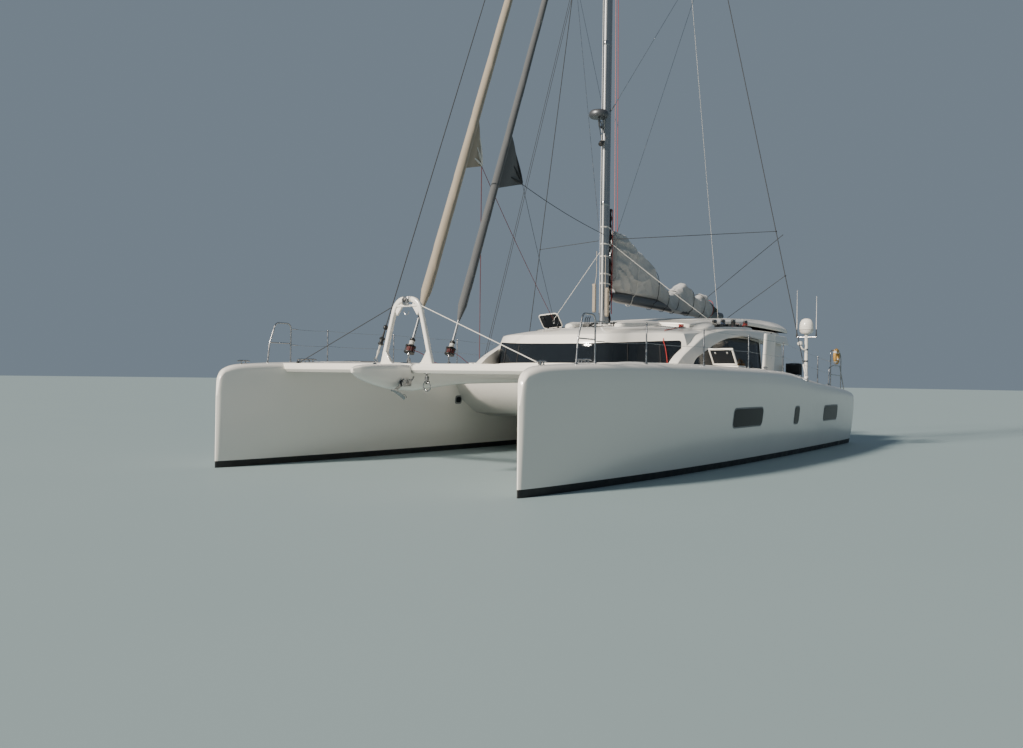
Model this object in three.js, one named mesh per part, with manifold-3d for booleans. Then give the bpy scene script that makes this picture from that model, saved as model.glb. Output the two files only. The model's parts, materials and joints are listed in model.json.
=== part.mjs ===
// A sailing catamaran afloat with her sails furled, in millimetres.
// The origin is on the waterline, amidships: +X forward, +Y to port, +Z up.
import * as THREE from "three";
import { mergeVertices } from "three/addons/utils/BufferGeometryUtils.js";
import Module from "manifold-3d";

const wasm = await Module();
wasm.setup();

// Driving dimensions
const HULL_Y = 3000; // hull centreline from the boat's centreline
const STEM_X = 7550;
const TRANSOM_X = -7500;
const FIT = 0.3; // gap between pieces that touch

const DECK_UNDER = 720; // underside of the bridgedeck
const DECK_TOP = 1760; // top of the bridgedeck's rim
const SALOON_FLOOR = 860;
const COCKPIT_FLOOR = 960;
const SALOON_AFT_X = -3750;
const COCKPIT_AFT_X = -6050;

const BEAM_X = 6250; // forward crossbeam
const BEAM_TOP = 1760;
const BEAM_HIGH = 150;
const BEAM_DEEP = 220;
const SPINE_HALF = 170; // half width of the centre spine

const MAST_X = -350;
const MAST_FOOT = 2720;
const MAST_TOP = 20300;
const HOUNDS_Z = 17650;
const SPREADER_Z = 11300;
const SPREADER_TIP = [-1950, 1780];
const CHAINPLATE = [-2850, 3700, 1590];

const GOOSENECK = [-560, 0, 3400];
const BOOM_LENGTH = 6700;

const BOARD_X = -2350; // daggerboard, at deck level
const BOARD_CHORD = 720;
const BOARD_THICK = 120;
const BOARD_RAKE = THREE.MathUtils.degToRad(8);
const BOARD_TOP = 2600;
const BOARD_LENGTH = 4000;

const RUDDER_X = -6850;
const DRIVE_X = -5150;
const DRIVE_Z = -860;

const HATCH_X = 220; // hinge line of the hull's deck hatch
const HATCH_LONG = 420;
const HATCH_WIDE = 500;
const HATCH_OPEN = THREE.MathUtils.degToRad(132);

// Materials
const paint = (color, roughness, metalness = 0) =>
  new THREE.MeshStandardMaterial({ color, roughness, metalness });
const GELCOAT = paint(0xf2efe8, 0.25);
const ALLOY = paint(0x5c6166, 0.4, 0.8);
const STEEL = paint(0xb9bcc0, 0.25, 1);
const GLASS = paint(0x10161c, 0.05);
const CANVAS = paint(0x8b8d8c, 0.9);
const SAILCLOTH = paint(0xc9bda3, 0.9);
const BLACK = paint(0x17181a, 0.5);
const NET = paint(0xc8c8c4, 0.9);
const BRONZE = paint(0x9a7b45, 0.35, 1);
const CUSHION = paint(0x4a3b3a, 0.9);
const TEAK = paint(0x9b7448, 0.7);
const ORANGE = paint(0xe0902a, 0.7);

const boat = new THREE.Group();

const V = (x, y, z) => new THREE.Vector3(x, y, z);

// A closed geometry as a solid, its faces turned outwards, and a solid as a geometry.
function solidOf(geometry) {
  const bare = geometry.index ? geometry.toNonIndexed() : geometry.clone();
  bare.deleteAttribute("normal");
  bare.deleteAttribute("uv");
  const merged = mergeVertices(bare, 1e-3);
  const points = merged.attributes.position;
  const faces = new Uint32Array(merged.index.array);
  const corner = (i) => V(0, 0, 0).fromBufferAttribute(points, faces[i]);
  let volume = 0;
  for (let i = 0; i < faces.length; i += 3)
    volume += corner(i).dot(corner(i + 1).cross(corner(i + 2)));
  if (volume < 0)
    for (let i = 0; i < faces.length; i += 3)
      [faces[i + 1], faces[i + 2]] = [faces[i + 2], faces[i + 1]];
  return new wasm.Manifold(
    new wasm.Mesh({ numProp: 3, vertProperties: points.array, triVerts: faces }),
  );
}

function geometryOf(solid) {
  const made = solid.getMesh();
  const stride = made.numProp;
  const points = new Float32Array(made.numVert * 3);
  for (let i = 0; i < made.numVert; i++)
    points.set(made.vertProperties.subarray(i * stride, i * stride + 3), i * 3);
  const geometry = new THREE.BufferGeometry();
  geometry.setAttribute("position", new THREE.BufferAttribute(points, 3));
  geometry.setIndex(new THREE.BufferAttribute(made.triVerts, 1));
  return geometry;
}

const join = (solids) => solids.reduce((sum, next) => sum.add(next));

function place(name, solid, material, at = [0, 0, 0], parent = boat) {
  const geometry = geometryOf(solid.asOriginal().simplify(0.05)).toNonIndexed();
  geometry.computeVertexNormals();
  const mesh = new THREE.Mesh(geometry, material);
  mesh.name = name;
  mesh.position.set(...at);
  parent.add(mesh);
  return mesh;
}

// A closed skin through rings of equal count, with a fan over each end.
function loft(rings) {
  const faces = [];
  const count = rings[0].length;
  for (let i = 0; i + 1 < rings.length; i++)
    for (let j = 0; j < count; j++) {
      const k = (j + 1) % count;
      faces.push([rings[i][j], rings[i][k], rings[i + 1][k]]);
      faces.push([rings[i][j], rings[i + 1][k], rings[i + 1][j]]);
    }
  const fan = (ring, turned) => {
    const middle = V(0, 0, 0);
    for (const p of ring) middle.addScaledVector(p, 1 / count);
    for (let j = 0; j < count; j++) {
      const k = (j + 1) % count;
      faces.push(turned ? [middle, ring[k], ring[j]] : [middle, ring[j], ring[k]]);
    }
  };
  fan(rings[0], true);
  fan(rings[rings.length - 1], false);
  const points = faces.flat().flatMap((p) => p.toArray());
  const geometry = new THREE.BufferGeometry();
  geometry.setAttribute("position", new THREE.Float32BufferAttribute(points, 3));
  return solidOf(geometry);
}

function box(x, y, z) {
  const geometry = new THREE.BoxGeometry(x[1] - x[0], y[1] - y[0], z[1] - z[0]);
  geometry.translate((x[0] + x[1]) / 2, (y[0] + y[1]) / 2, (z[0] + z[1]) / 2);
  return solidOf(geometry);
}

// A round bar between two points, tapered if r2 is given.
function rod(from, to, r, sides = 8, r2 = r) {
  const a = V(...from);
  const b = V(...to);
  const geometry = new THREE.CylinderGeometry(r2, r, a.distanceTo(b), sides);
  const turn = new THREE.Quaternion().setFromUnitVectors(V(0, 1, 0), b.clone().sub(a).normalize());
  geometry.applyQuaternion(turn);
  geometry.translate(...a.add(b).multiplyScalar(0.5).toArray());
  return solidOf(geometry);
}

function circle(radius, sides) {
  const shape = new THREE.Shape();
  for (let i = 0; i < sides; i++) {
    const turn = (i / sides) * 2 * Math.PI;
    const [x, y] = [radius * Math.cos(turn), radius * Math.sin(turn)];
    i ? shape.lineTo(x, y) : shape.moveTo(x, y);
  }
  return shape;
}

// A bent tube through points, softened at the bends.
function tube(points, radius, steps, sides = 8, closed = false) {
  const path = new THREE.CatmullRomCurve3(points.map((p) => V(...p)), closed, "catmullrom", 0.3);
  return solidOf(
    new THREE.ExtrudeGeometry(circle(radius, sides), { steps, extrudePath: path, bevelEnabled: false }),
  );
}

// An outline drawn in a plane and given a thickness, its middle on the plane.
function plate(points, thick, plane) {
  const shape = new THREE.Shape(points.map(([a, b]) => new THREE.Vector2(a, b)));
  const geometry = new THREE.ExtrudeGeometry(shape, { depth: thick, bevelEnabled: false });
  geometry.translate(0, 0, -thick / 2);
  const basis = new THREE.Matrix4();
  if (plane === "yz") basis.makeBasis(V(0, 1, 0), V(0, 0, 1), V(1, 0, 0));
  if (plane === "xz") basis.makeBasis(V(1, 0, 0), V(0, 0, 1), V(0, -1, 0));
  geometry.applyMatrix4(basis);
  return solidOf(geometry);
}

const moved = (solid, x, y, z) => solid.translate([x, y, z]);

// An outline drawn in by a gap all round.
function drawnIn(points, gap) {
  const count = points.length;
  const area = points.reduce((sum, [x, y], i) => {
    const [nx, ny] = points[(i + 1) % count];
    return sum + x * ny - nx * y;
  }, 0);
  const inward = Math.sign(area) * gap;
  return points.map(([x, y], i) => {
    const [px, py] = points[(i + count - 1) % count];
    const [nx, ny] = points[(i + 1) % count];
    const before = new THREE.Vector2(x - px, y - py).normalize();
    const after = new THREE.Vector2(nx - x, ny - y).normalize();
    const normal = new THREE.Vector2(-before.y - after.y, before.x + after.x).normalize();
    const reach = inward / Math.max(0.3, normal.dot(new THREE.Vector2(-before.y, before.x)));
    return [x + normal.x * reach, y + normal.y * reach];
  });
}

// Hulls: each station gives half breadths, keel, sheer and the gunwale's radius.
const STATIONS = [
  // x, half deck, half water, keel, sheer, gunwale radius
  [7550, 14, 12, -240, 1200, 12],
  [7515, 44, 30, -280, 1500, 40],
  [7400, 84, 52, -330, 1650, 74],
  [7150, 150, 92, -390, 1715, 90],
  [6700, 245, 148, -450, 1742, 96],
  [6100, 352, 210, -505, 1765, 100],
  [5300, 462, 288, -555, 1785, 110],
  [4200, 575, 380, -600, 1805, 130],
  [2800, 668, 462, -628, 1812, 150],
  [1200, 722, 524, -640, 1808, 170],
  [-400, 742, 556, -630, 1795, 180],
  [-1500, 744, 566, -606, 1768, 185],
  [-2300, 742, 568, -578, 1722, 185],
  [-3100, 738, 566, -540, 1640, 180],
  [-4000, 728, 560, -486, 1560, 160],
  [-5200, 704, 544, -386, 1485, 140],
  [-6300, 668, 520, -258, 1412, 120],
  [-7100, 628, 494, -128, 1340, 110],
  [-7400, 604, 478, -70, 1290, 110],
  [TRANSOM_X, 586, 468, -46, 1180, 100],
];
const BILGE_STEPS = 6;
const ROUND_STEPS = 4;

// The half outline of a station, from the keel to the deck's middle, as [y, z].
function halfSection([, deck, water, keel, sheer, radius], grow = 0) {
  const half = [];
  for (let i = 0; i <= BILGE_STEPS; i++) {
    const turn = (i / BILGE_STEPS) * (Math.PI / 2);
    half.push([water * Math.sin(turn) ** 0.85, keel * Math.cos(turn)]);
  }
  const shoulder = sheer - radius;
  half.push([water + (deck - water) * 0.72, shoulder * 0.5]);
  for (let i = 0; i <= ROUND_STEPS; i++) {
    const turn = (i / ROUND_STEPS) * (Math.PI / 2);
    half.push([deck - radius + radius * Math.cos(turn), shoulder + radius * Math.sin(turn)]);
  }
  const crown = sheer + deck * 0.05;
  half.push([(deck - radius) * 0.5, crown - deck * 0.0125]);
  half.push([0, crown]);
  return half.map(([y, z]) => [y && y + grow, z < 0 ? z - grow : z + (z > shoulder ? grow : 0)]);
}

function hullRing(station, grow) {
  const half = halfSection(station, grow);
  const inner = half.slice(1, -1).reverse();
  const end = station[0] + grow * Math.sign(station[0]);
  const x = station[0] === STEM_X || station[0] === TRANSOM_X ? end : station[0];
  return [...half.map(([y, z]) => V(x, y, z)), ...inner.map(([y, z]) => V(x, -y, z))];
}

const hullLoft = (grow = 0) => loft(STATIONS.map((s) => hullRing(s, grow)));

// Values between the stations, by a straight line.
function hullAt(x, column) {
  const next = STATIONS.findIndex((s) => s[0] <= x);
  const [a, b] = [STATIONS[next - 1], STATIONS[next]];
  return b[column] + ((a[column] - b[column]) * (x - b[0])) / (a[0] - b[0]);
}
const deckHeight = (x) => hullAt(x, 4) + hullAt(x, 1) * 0.05;

// The daggerboard's horizontal outline, and a prism of it along the raked trunk.
function boardPrism(from, to, grow) {
  const ring = [];
  const STEPS = 14;
  for (let i = 0; i < STEPS; i++) {
    const turn = (i / STEPS) * 2 * Math.PI;
    const along = Math.cos(turn);
    const across = Math.sin(turn) * (1 + 0.25 * along);
    ring.push([along * (BOARD_CHORD / 2 + grow), across * (BOARD_THICK / 2 + grow)]);
  }
  const lean = Math.tan(BOARD_RAKE);
  const at = (z) => ring.map(([x, y]) => V(BOARD_X + x - (z - DECK_TOP) * lean, y, z));
  return loft([at(from), at(to)]);
}

const STEPS_AFT = [
  // tread's front x, tread's z
  [-7060, 300],
  [-6670, 640],
  [-6280, 980],
];
const STEP_HALF = 400;
const HATCH_WELL = 520;
const STOCK_RADIUS = 36;

function hullSolid() {
  let hull = hullLoft();
  for (const [front, tread] of STEPS_AFT)
    hull = hull.subtract(box([TRANSOM_X - 100, front], [-STEP_HALF, STEP_HALF], [tread, 2000]));
  hull = hull.subtract(boardPrism(-1500, 2600, 0.9));
  // The stock's hole is turned by half a side, so the stock's corners turn clear of its flats.
  const stockHole = rod([0, 0, -400], [0, 0, 160], STOCK_RADIUS + 1.4, 16).rotate([0, 0, 180 / 16]);
  hull = hull.subtract(moved(stockHole, RUDDER_X, 0, 0));
  const well = [HATCH_X - HATCH_LONG + 30, HATCH_X - 30];
  const side = HATCH_WIDE / 2 - 30;
  const top = deckHeight(HATCH_X);
  return hull.subtract(box(well, [-side, side], [top - HATCH_WELL, top + 200]));
}

// A raised rim round the hatch's well, with its hinge along the front edge.
const RIM_RISE = 26;
const HINGE_RISE = 12.5; // hinge pin above the rim
const rimTop = () => deckHeight(HATCH_X) + RIM_RISE;

function hatchRim() {
  const wide = HATCH_WIDE / 2 + 10;
  const top = rimTop();
  const outer = box([HATCH_X - HATCH_LONG - 10, HATCH_X + 10], [-wide, wide], [top - 80, top]);
  const well = [HATCH_X - HATCH_LONG + 30, HATCH_X - 30];
  const side = HATCH_WIDE / 2 - 30;
  return outer.subtract(box(well, [-side, side], [0, 3000])).subtract(hullLoft(FIT));
}

function hatchLid(openBy) {
  const frame = box(
    [-HATCH_LONG, -8],
    [-HATCH_WIDE / 2, HATCH_WIDE / 2],
    [FIT - HINGE_RISE, 34 - HINGE_RISE],
  );
  const knuckle = rod([0, -150, 0], [0, 150, 0], 12, 10);
  return frame.add(knuckle).rotate([0, THREE.MathUtils.radToDeg(openBy), 0]);
}

function rudderSolid() {
  const blade = [
    // z, front, back, half thickness
    [-300, 150, -300, 34],
    [-700, 150, -290, 32],
    [-1050, 120, -240, 26],
    [-1260, 60, -170, 16],
  ];
  const SIDE = 12;
  const rings = blade.map(([z, front, back, thick]) => {
    const ring = [];
    for (let i = 0; i < SIDE; i++) {
      const turn = (i / SIDE) * 2 * Math.PI;
      const middle = (front + back) / 2;
      const along = Math.cos(turn);
      ring.push(V(middle + (along * (front - back)) / 2, thick * Math.sin(turn) * (1 + 0.3 * along), z));
    }
    return ring;
  });
  return loft(rings).add(rod([0, 0, -500], [0, 0, 150], STOCK_RADIUS, 16));
}

function driveSolid() {
  const leg = [
    // z, front, back, half thickness
    [-150, 210, -150, 46],
    [-620, 150, -120, 34],
    [DRIVE_Z, 170, -120, 40],
  ];
  const SIDE = 10;
  const rings = leg.map(([z, front, back, thick]) => {
    const ring = [];
    for (let i = 0; i < SIDE; i++) {
      const turn = (i / SIDE) * 2 * Math.PI;
      const middle = (front + back) / 2;
      ring.push(V(middle + (Math.cos(turn) * (front - back)) / 2, thick * Math.sin(turn), z));
    }
    return ring;
  });
  const profile = [[0, -250], [60, -250], [72, -120], [74, 60], [56, 190], [20, 250], [0, 255]];
  const gearcase = new THREE.LatheGeometry(profile.map(([r, y]) => new THREE.Vector2(r, y)), 16);
  gearcase.rotateZ(-Math.PI / 2);
  gearcase.translate(0, 0, DRIVE_Z);
  const skeg = plate([[-40, DRIVE_Z - 40], [60, DRIVE_Z - 40], [10, DRIVE_Z - 190], [-60, DRIVE_Z - 190]], 18, "xz");
  return moved(join([loft(rings), solidOf(gearcase), skeg]), DRIVE_X, 0, 0).subtract(hullLoft(FIT));
}

// Three blades on a hub, turning about X with the hub's front face at x = 0.
function propellerSolid() {
  const profile = [[0, 0], [54, 0], [56, -60], [34, -120], [0, -128]];
  const hub = new THREE.LatheGeometry(profile.map(([r, y]) => new THREE.Vector2(r, y)), 16);
  hub.rotateZ(-Math.PI / 2);
  let made = solidOf(hub);
  const BLADES = 3;
  const PITCH = THREE.MathUtils.degToRad(32);
  for (let i = 0; i < BLADES; i++) {
    const rows = [
      // radius, half chord, half thickness
      [36, 34, 10],
      [110, 66, 7],
      [180, 70, 5],
      [228, 30, 3],
    ];
    const rings = rows.map(([r, chord, thick], n) => {
      const pitch = PITCH + (0.5 - n * 0.12);
      return [[-1, 0], [-0.3, 1], [0.5, 1], [1, 0], [0.5, -1], [-0.3, -1]].map(([u, w]) => {
        const [a, b] = [u * chord, w * thick];
        return V(-60 + a * Math.sin(pitch) + b * Math.cos(pitch), a * Math.cos(pitch) - b * Math.sin(pitch), r);
      });
    });
    made = made.add(loft(rings).rotate([(360 / BLADES) * i, 0, 0]));
  }
  return made;
}

// Helm station: a pedestal against the saloon's after wall carries the wheel, and a seat stands aft.
const HELM = { y: 1760, half: 190, z: 1950, deep: 180 };
const HELM_SEAT = { back: -6150, front: -5830, y: 2420, half: 210 };
const WHEEL_RADIUS = 260;

for (const [side, sign] of [["port", 1], ["starboard", -1]]) {
  const at = [0, sign * HULL_Y, 0];
  const hull = hullSolid().subtract(moved(box([-40, 40], [-22, 22], [-40, 200]), CHAINPLATE[0], sign * (CHAINPLATE[1] - HULL_Y), CHAINPLATE[2]));
  place("hull_" + side, hull, GELCOAT, at);
  place("hatch_rim_" + side, hatchRim(), GELCOAT, at);
  place("hatch_lid_" + side, hatchLid(sign > 0 ? HATCH_OPEN : 0), GLASS, [HATCH_X, sign * HULL_Y, rimTop() + HINGE_RISE]);
  place("daggerboard_" + side, boardPrism(BOARD_TOP - BOARD_LENGTH * Math.cos(BOARD_RAKE), BOARD_TOP, 0), GELCOAT, at);
  place("rudder_" + side, rudderSolid(), GELCOAT, [RUDDER_X, sign * HULL_Y, 0]);
  place("saildrive_" + side, driveSolid(), ALLOY, at);
  place("propeller_" + side, propellerSolid(), BRONZE, [DRIVE_X - 250.6, sign * HULL_Y, DRIVE_Z]);
}

// Both hulls a little grown, to cut what meets them.
const hullsCut = moved(hullLoft(FIT), 0, HULL_Y, 0).add(moved(hullLoft(FIT), 0, -HULL_Y, 0));

// Bridgedeck: a tray between the hulls with the saloon's and the cockpit's wells.
const NOSE = 1950; // front end of the bridgedeck
const TRAY_AFT = -6350;
const TRAY_STEP = -5800; // forward of this the coaming climbs to the deck
const COAMING = 1480;
const SALOON_HALF = 2130;
const COCKPIT_HALF = 2080;
const trayProfile = [
  [NOSE - 60, DECK_TOP],
  [NOSE, DECK_TOP - 90],
  [NOSE - 20, 1420],
  [NOSE - 260, 1080],
  [NOSE - 800, 800],
  [NOSE - 1300, DECK_UNDER],
  [TRAY_AFT + 200, DECK_UNDER],
  [TRAY_AFT, 820],
  [TRAY_AFT, COAMING - 60],
  [TRAY_AFT + 60, COAMING],
  [TRAY_STEP, COAMING],
  [TRAY_STEP + 150, DECK_TOP],
];
const RIM_HALF = 2400; // the cockpit's rim, inside the hulls' decks
let bridgedeck = plate(trayProfile, 5400, "xz").subtract(hullsCut);
bridgedeck = bridgedeck.subtract(box([SALOON_AFT_X, 1000], [-SALOON_HALF, SALOON_HALF], [SALOON_FLOOR, 2500]));
bridgedeck = bridgedeck.subtract(
  box([COCKPIT_AFT_X, SALOON_AFT_X - 120], [-COCKPIT_HALF, COCKPIT_HALF], [COCKPIT_FLOOR, 2500]),
);
for (const sign of [1, -1])
  bridgedeck = bridgedeck.subtract(moved(box([TRAY_AFT - 10, -3900], [-200, 200], [COAMING, 2000]), 0, sign * (RIM_HALF + 200), 0));
const DOOR_HALF = 520; // half width of the doorway
bridgedeck = bridgedeck.subtract(
  box([SALOON_AFT_X - 130, SALOON_AFT_X + 10], [-DOOR_HALF, DOOR_HALF], [COCKPIT_FLOOR, 2500]),
);
place("bridgedeck", bridgedeck, GELCOAT);

// Coachroof: rings of one plan outline, drawn in towards the top, then crowned.
const HOUSE_FRONT = 1380; // middle of the curved front
const HOUSE_CORNER = 420;
const HOUSE_HALF = 2330;
const HOUSE_AFT = -5600;
const HOUSE_WALL = 60;

// The roof's height over a place, rising aft and falling to its edge.
function roofHeight(x, y, drop = 0) {
  const rows = [
    [1500, 2380], [950, 2560], [400, 2660], [-350, 2715], [-1200, 2790],
    [-2200, 2870], [-3400, 2925], [-4600, 2950], [-5600, 2962],
  ];
  let z = rows[0][1];
  for (let i = 0; i + 1 < rows.length; i++) {
    const [[x0, z0], [x1, z1]] = [rows[i], rows[i + 1]];
    if (x <= x0) z = z0 + ((z1 - z0) * Math.max(0, Math.min(1, (x - x0) / (x1 - x0))));
    if (x > x1) break;
  }
  const out = Math.abs(y) / 2250;
  return z - 175 * out * out - drop;
}

// Plan outline points [x, y]: round front, soft corners, straight sides, square aft end.
function houseOutline(inset) {
  const points = [];
  const FRONT_STEPS = 12;
  const half = HOUSE_HALF - inset;
  for (let i = 0; i <= FRONT_STEPS; i++) {
    const y = -half + (2 * half * i) / FRONT_STEPS;
    const bow = 1 - (Math.abs(y) / half) ** 2.4;
    points.push([HOUSE_CORNER - inset * 0.4 + (HOUSE_FRONT - HOUSE_CORNER - inset * 0.6) * bow, y]);
  }
  for (const x of [-200, -1000, -2000, -3000, -3800, -4600]) points.push([x, half]);
  points.push([HOUSE_AFT, half]);
  for (const y of [1400, 500, -500, -1400]) points.push([HOUSE_AFT, y]);
  points.push([HOUSE_AFT, -half]);
  for (const x of [-4600, -3800, -3000, -2000, -1000, -200]) points.push([x, -half]);
  return points;
}

// inset: how far inside the outer skin this skin lies.
function houseLoft(inset, aftBy = 0) {
  const floor = DECK_TOP + FIT - (inset ? 50 : 0);
  const levels = [
    // share of the height at the edge, drawn in by
    [0, 0],
    [0.45, 45],
    [0.8, 90],
    [0.95, 130],
  ];
  const shrink = (outline, share) =>
    outline.map(([x, y]) => [(x - HOUSE_AFT) * (1 - (1 - share) * 0.45) + HOUSE_AFT, y * share]);
  const reach = ([x, y]) => [x === HOUSE_AFT ? x - aftBy : x, y];
  const rings = levels.map(([share, drawn]) =>
    houseOutline(inset + drawn).map((p) => {
      const [x, y] = reach(p);
      return V(x, y, floor + (roofHeight(x, y, inset) - 30 - floor) * share);
    }),
  );
  const top = houseOutline(inset + 200);
  for (const share of [1, 0.82, 0.6, 0.35, 0.1])
    rings.push(shrink(top, share).map((p) => {
      const [x, y] = reach(p);
      return V(x, y, roofHeight(x, y, inset));
    }));
  return loft(rings);
}

// Cutters for the saloon's front band and the side arches, as prisms.
const BAND = { half: 2150, low: 1880, top: 2280, corner: 2345 };
function frontBand(gap) {
  const shape = [
    [-BAND.half, BAND.low], [BAND.half, BAND.low], [BAND.half - 30, BAND.corner],
    [BAND.half * 0.6, BAND.top + 20], [0, BAND.top], [-BAND.half * 0.6, BAND.top + 20], [-BAND.half + 30, BAND.corner],
  ];
  return moved(plate(drawnIn(shape, gap), 1800, "yz"), 1200, 0, 0);
}
const ARCH = [
  // the arched side window: x, z
  [400, 1860], [375, 1960], [0, 2100], [-510, 2250], [-1000, 2365], [-1490, 2450], [-2000, 2500],
  [-2540, 2530], [-3100, 2530], [-3560, 2512], [-3910, 2488], [-3910, 1860],
];
function archBand(gap, sign) {
  return moved(plate(drawnIn(ARCH, gap), 900, "xz"), 0, sign * 2400, 0);
}
// A brow over each arch, whose foot stands forward of the front band as a fin.
const BROW = [
  // outer x, outer z, inner x, inner z
  [1400, 1780, 640, 1780],
  [1060, 2010, 430, 1985],
  [520, 2240, 20, 2125],
  [-310, 2530, -490, 2275],
  [-900, 2615, -990, 2390],
  [-1480, 2680, -1480, 2475],
  [-2840, 2722, -2540, 2555],
  [-4200, 2722, -3910, 2515],
  [HOUSE_AFT + 10, 2712, HOUSE_AFT + 10, 2480],
];
function browSolid(sign) {
  return loft(
    BROW.map(([xo, zo, xi, zi]) => [
      V(xo, sign * 2200, zo), V(xo, sign * 2385, zo - 15), V(xi, sign * 2450, zi), V(xi, sign * 2270, zi),
    ]),
  );
}
const GLASS_GAP = 0.4;
let house = houseLoft(0).subtract(houseLoft(HOUSE_WALL, 400));
house = house.subtract(frontBand(0));
for (const sign of [1, -1]) house = house.subtract(archBand(0, sign));
house = house.subtract(box([HOUSE_AFT - 500, SALOON_AFT_X - 60], [-1900, 1900], [1700, 2600]));
house = house.subtract(box([HOUSE_AFT - 500, SALOON_AFT_X - 60], [-1980, 1980], [1700, 2480]));
for (const sign of [1, -1])
  house = house.subtract(box([-4760, -3980], sign > 0 ? [2000, 2500] : [-2500, -2000], [1830, 2460]));
for (const sign of [1, -1]) house = house.add(browSolid(sign));
place("coachroof", house.subtract(hullsCut), GELCOAT);

// Panes lie in the thickness of the wall.
const pane = houseLoft(12).subtract(houseLoft(24, 400));
const frontPane = pane.intersect(frontBand(GLASS_GAP));
place("window_front", frontPane, GLASS);
for (const [side, sign] of [["port", 1], ["starboard", -1]])
  place("window_arch_" + side, pane.intersect(archBand(GLASS_GAP, sign)), GLASS);

// Aft bulkhead with its doorway and two fixed lights, fitted inside the roof's skin.
const inside = houseLoft(HOUSE_WALL + FIT, 400);
const DOOR_TOP = 2560;
const BULKHEAD_X = SALOON_AFT_X - 120; // its after face, flush with the tray's
const DOOR = { thick: 30, travel: 980, gap: 6 };
const doorX = BULKHEAD_X - DOOR.gap - DOOR.thick / 2;
let bulkhead = box([BULKHEAD_X, BULKHEAD_X + 40], [-2500, 2500], [DECK_TOP + FIT, 3000]).intersect(inside);
bulkhead = bulkhead.subtract(box([BULKHEAD_X - 400, BULKHEAD_X + 400], [-DOOR_HALF, DOOR_HALF], [1000, DOOR_TOP]));
for (const sign of [1, -1]) {
  const light = [[620, 1900], [1650, 1900], [1560, 2480], [620, 2480]];
  bulkhead = bulkhead.subtract(moved(plate(light.map(([y, z]) => [y * sign, z]), 400, "yz"), BULKHEAD_X, 0, 0));
}
const track = box(
  [doorX - DOOR.thick / 2, BULKHEAD_X + 20],
  [-DOOR_HALF - 60, DOOR_HALF + DOOR.travel + 20],
  [DOOR_TOP + 12, DOOR_TOP + 50],
);
place("aft_bulkhead", bulkhead.add(track), GELCOAT);
const door = box([-DOOR.thick / 2, DOOR.thick / 2], [-DOOR_HALF + 8, DOOR_HALF - 8], [COCKPIT_FLOOR + 12, DOOR_TOP + 11.5]);
const doorLight = box([-30, 30], [-DOOR_HALF + 90, DOOR_HALF - 90], [1250, DOOR_TOP - 90]);
place("saloon_door", door.subtract(doorLight), ALLOY, [doorX, 0, 0]);

// Hardtop over the cockpit: its forward part lies on the roof, its after corners turn down.
const HARDTOP = [
  // x, half width, drop at the edge, rise over the roof, sharpness of the bend
  [-1500, 1500, 60, -45, 3],
  [-1900, 1550, 66, -20, 3],
  [-2300, 1600, 72, 5, 3],
  [-2700, 1740, 90, 25, 3],
  [-3300, 1850, 110, 52, 3],
  [-4000, 1880, 125, 85, 3],
  [-5000, 2040, 190, 108, 5],
  [-5500, 2190, 235, 112, 7],
  [-6000, 2270, 265, 100, 8],
];
const HARDTOP_THICK = 92;
const ROOF_GAP = 1.4;
function hardtopSolid() {
  const SHARES = [-1, -0.85, -0.7, -0.5, -0.25, 0, 0.25, 0.5, 0.7, 0.85, 1];
  const rings = HARDTOP.map(([x, half, drop, rise, bend]) => {
    const low = SHARES.map((share) => {
      const y = share * half;
      const free = roofHeight(x, 0) + rise - drop * Math.abs(share) ** bend;
      return V(x, y, x < HOUSE_AFT ? free : Math.max(free, roofHeight(x, y) + ROOF_GAP));
    });
    const top = SHARES.map((share, i) => {
      const z = roofHeight(x, 0) + rise - drop * Math.abs(share) ** bend + HARDTOP_THICK;
      return V(x, share * half, Math.max(z, low[i].z + 14));
    });
    return [...top, ...low.reverse()];
  });
  return loft(rings);
}
place("hardtop", hardtopSolid(), GELCOAT);

// Forward crossbeam between the hulls, with the spine that passes under it.
function beamSection() {
  const [low, top] = [BEAM_TOP - BEAM_HIGH, BEAM_TOP];
  const half = BEAM_DEEP / 2;
  return [
    [BEAM_X - half, low + 50], [BEAM_X - half, top - 40], [BEAM_X - half + 40, top],
    [BEAM_X + half - 40, top], [BEAM_X + half, top - 40], [BEAM_X + half, low + 50],
    [BEAM_X + half - 50, low], [BEAM_X - half + 50, low],
  ];
}
const crossbeam = plate(beamSection(), 5900, "xz").subtract(hullsCut);
place("forward_crossbeam", crossbeam, GELCOAT);

const SPINE = [
  // x, half width, top, bottom
  [7500, 26, 1668, 1600],
  [7350, 92, 1712, 1520],
  [7050, 145, 1738, 1430],
  [6650, 172, 1745, 1355],
  [6150, 185, 1745, 1330],
  [5700, SPINE_HALF, 1740, 1370],
  [4800, SPINE_HALF, 1735, 1440],
  [1700, SPINE_HALF, 1735, 1480],
];
const beamCut = plate(
  beamSection().map(([x, z]) => [x + Math.sign(x - BEAM_X) * FIT, z < BEAM_TOP - BEAM_HIGH / 2 ? z - FIT : z + 200]),
  5900,
  "xz",
);
function spineLoft(grow = 0) {
  const SIDE = 14;
  const squared = (v) => Math.sign(v) * Math.abs(v) ** 0.6;
  return loft(
    SPINE.map(([x, half, top, low]) => {
      const middle = (top + low) / 2;
      const high = (top - low) / 2 + grow;
      const ring = [];
      for (let i = 0; i < SIDE; i++) {
        const turn = ((i + 0.5) / SIDE) * 2 * Math.PI;
        ring.push(V(x, (half + grow) * squared(Math.cos(turn)), middle + high * squared(Math.sin(turn))));
      }
      return ring;
    }),
  );
}
const trayGrown = plate(trayProfile.map(([x, z]) => [x + FIT, z]), 5400, "xz");
const spine = spineLoft().subtract(beamCut).subtract(trayGrown);
place("centre_spine", spine, GELCOAT);

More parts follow.
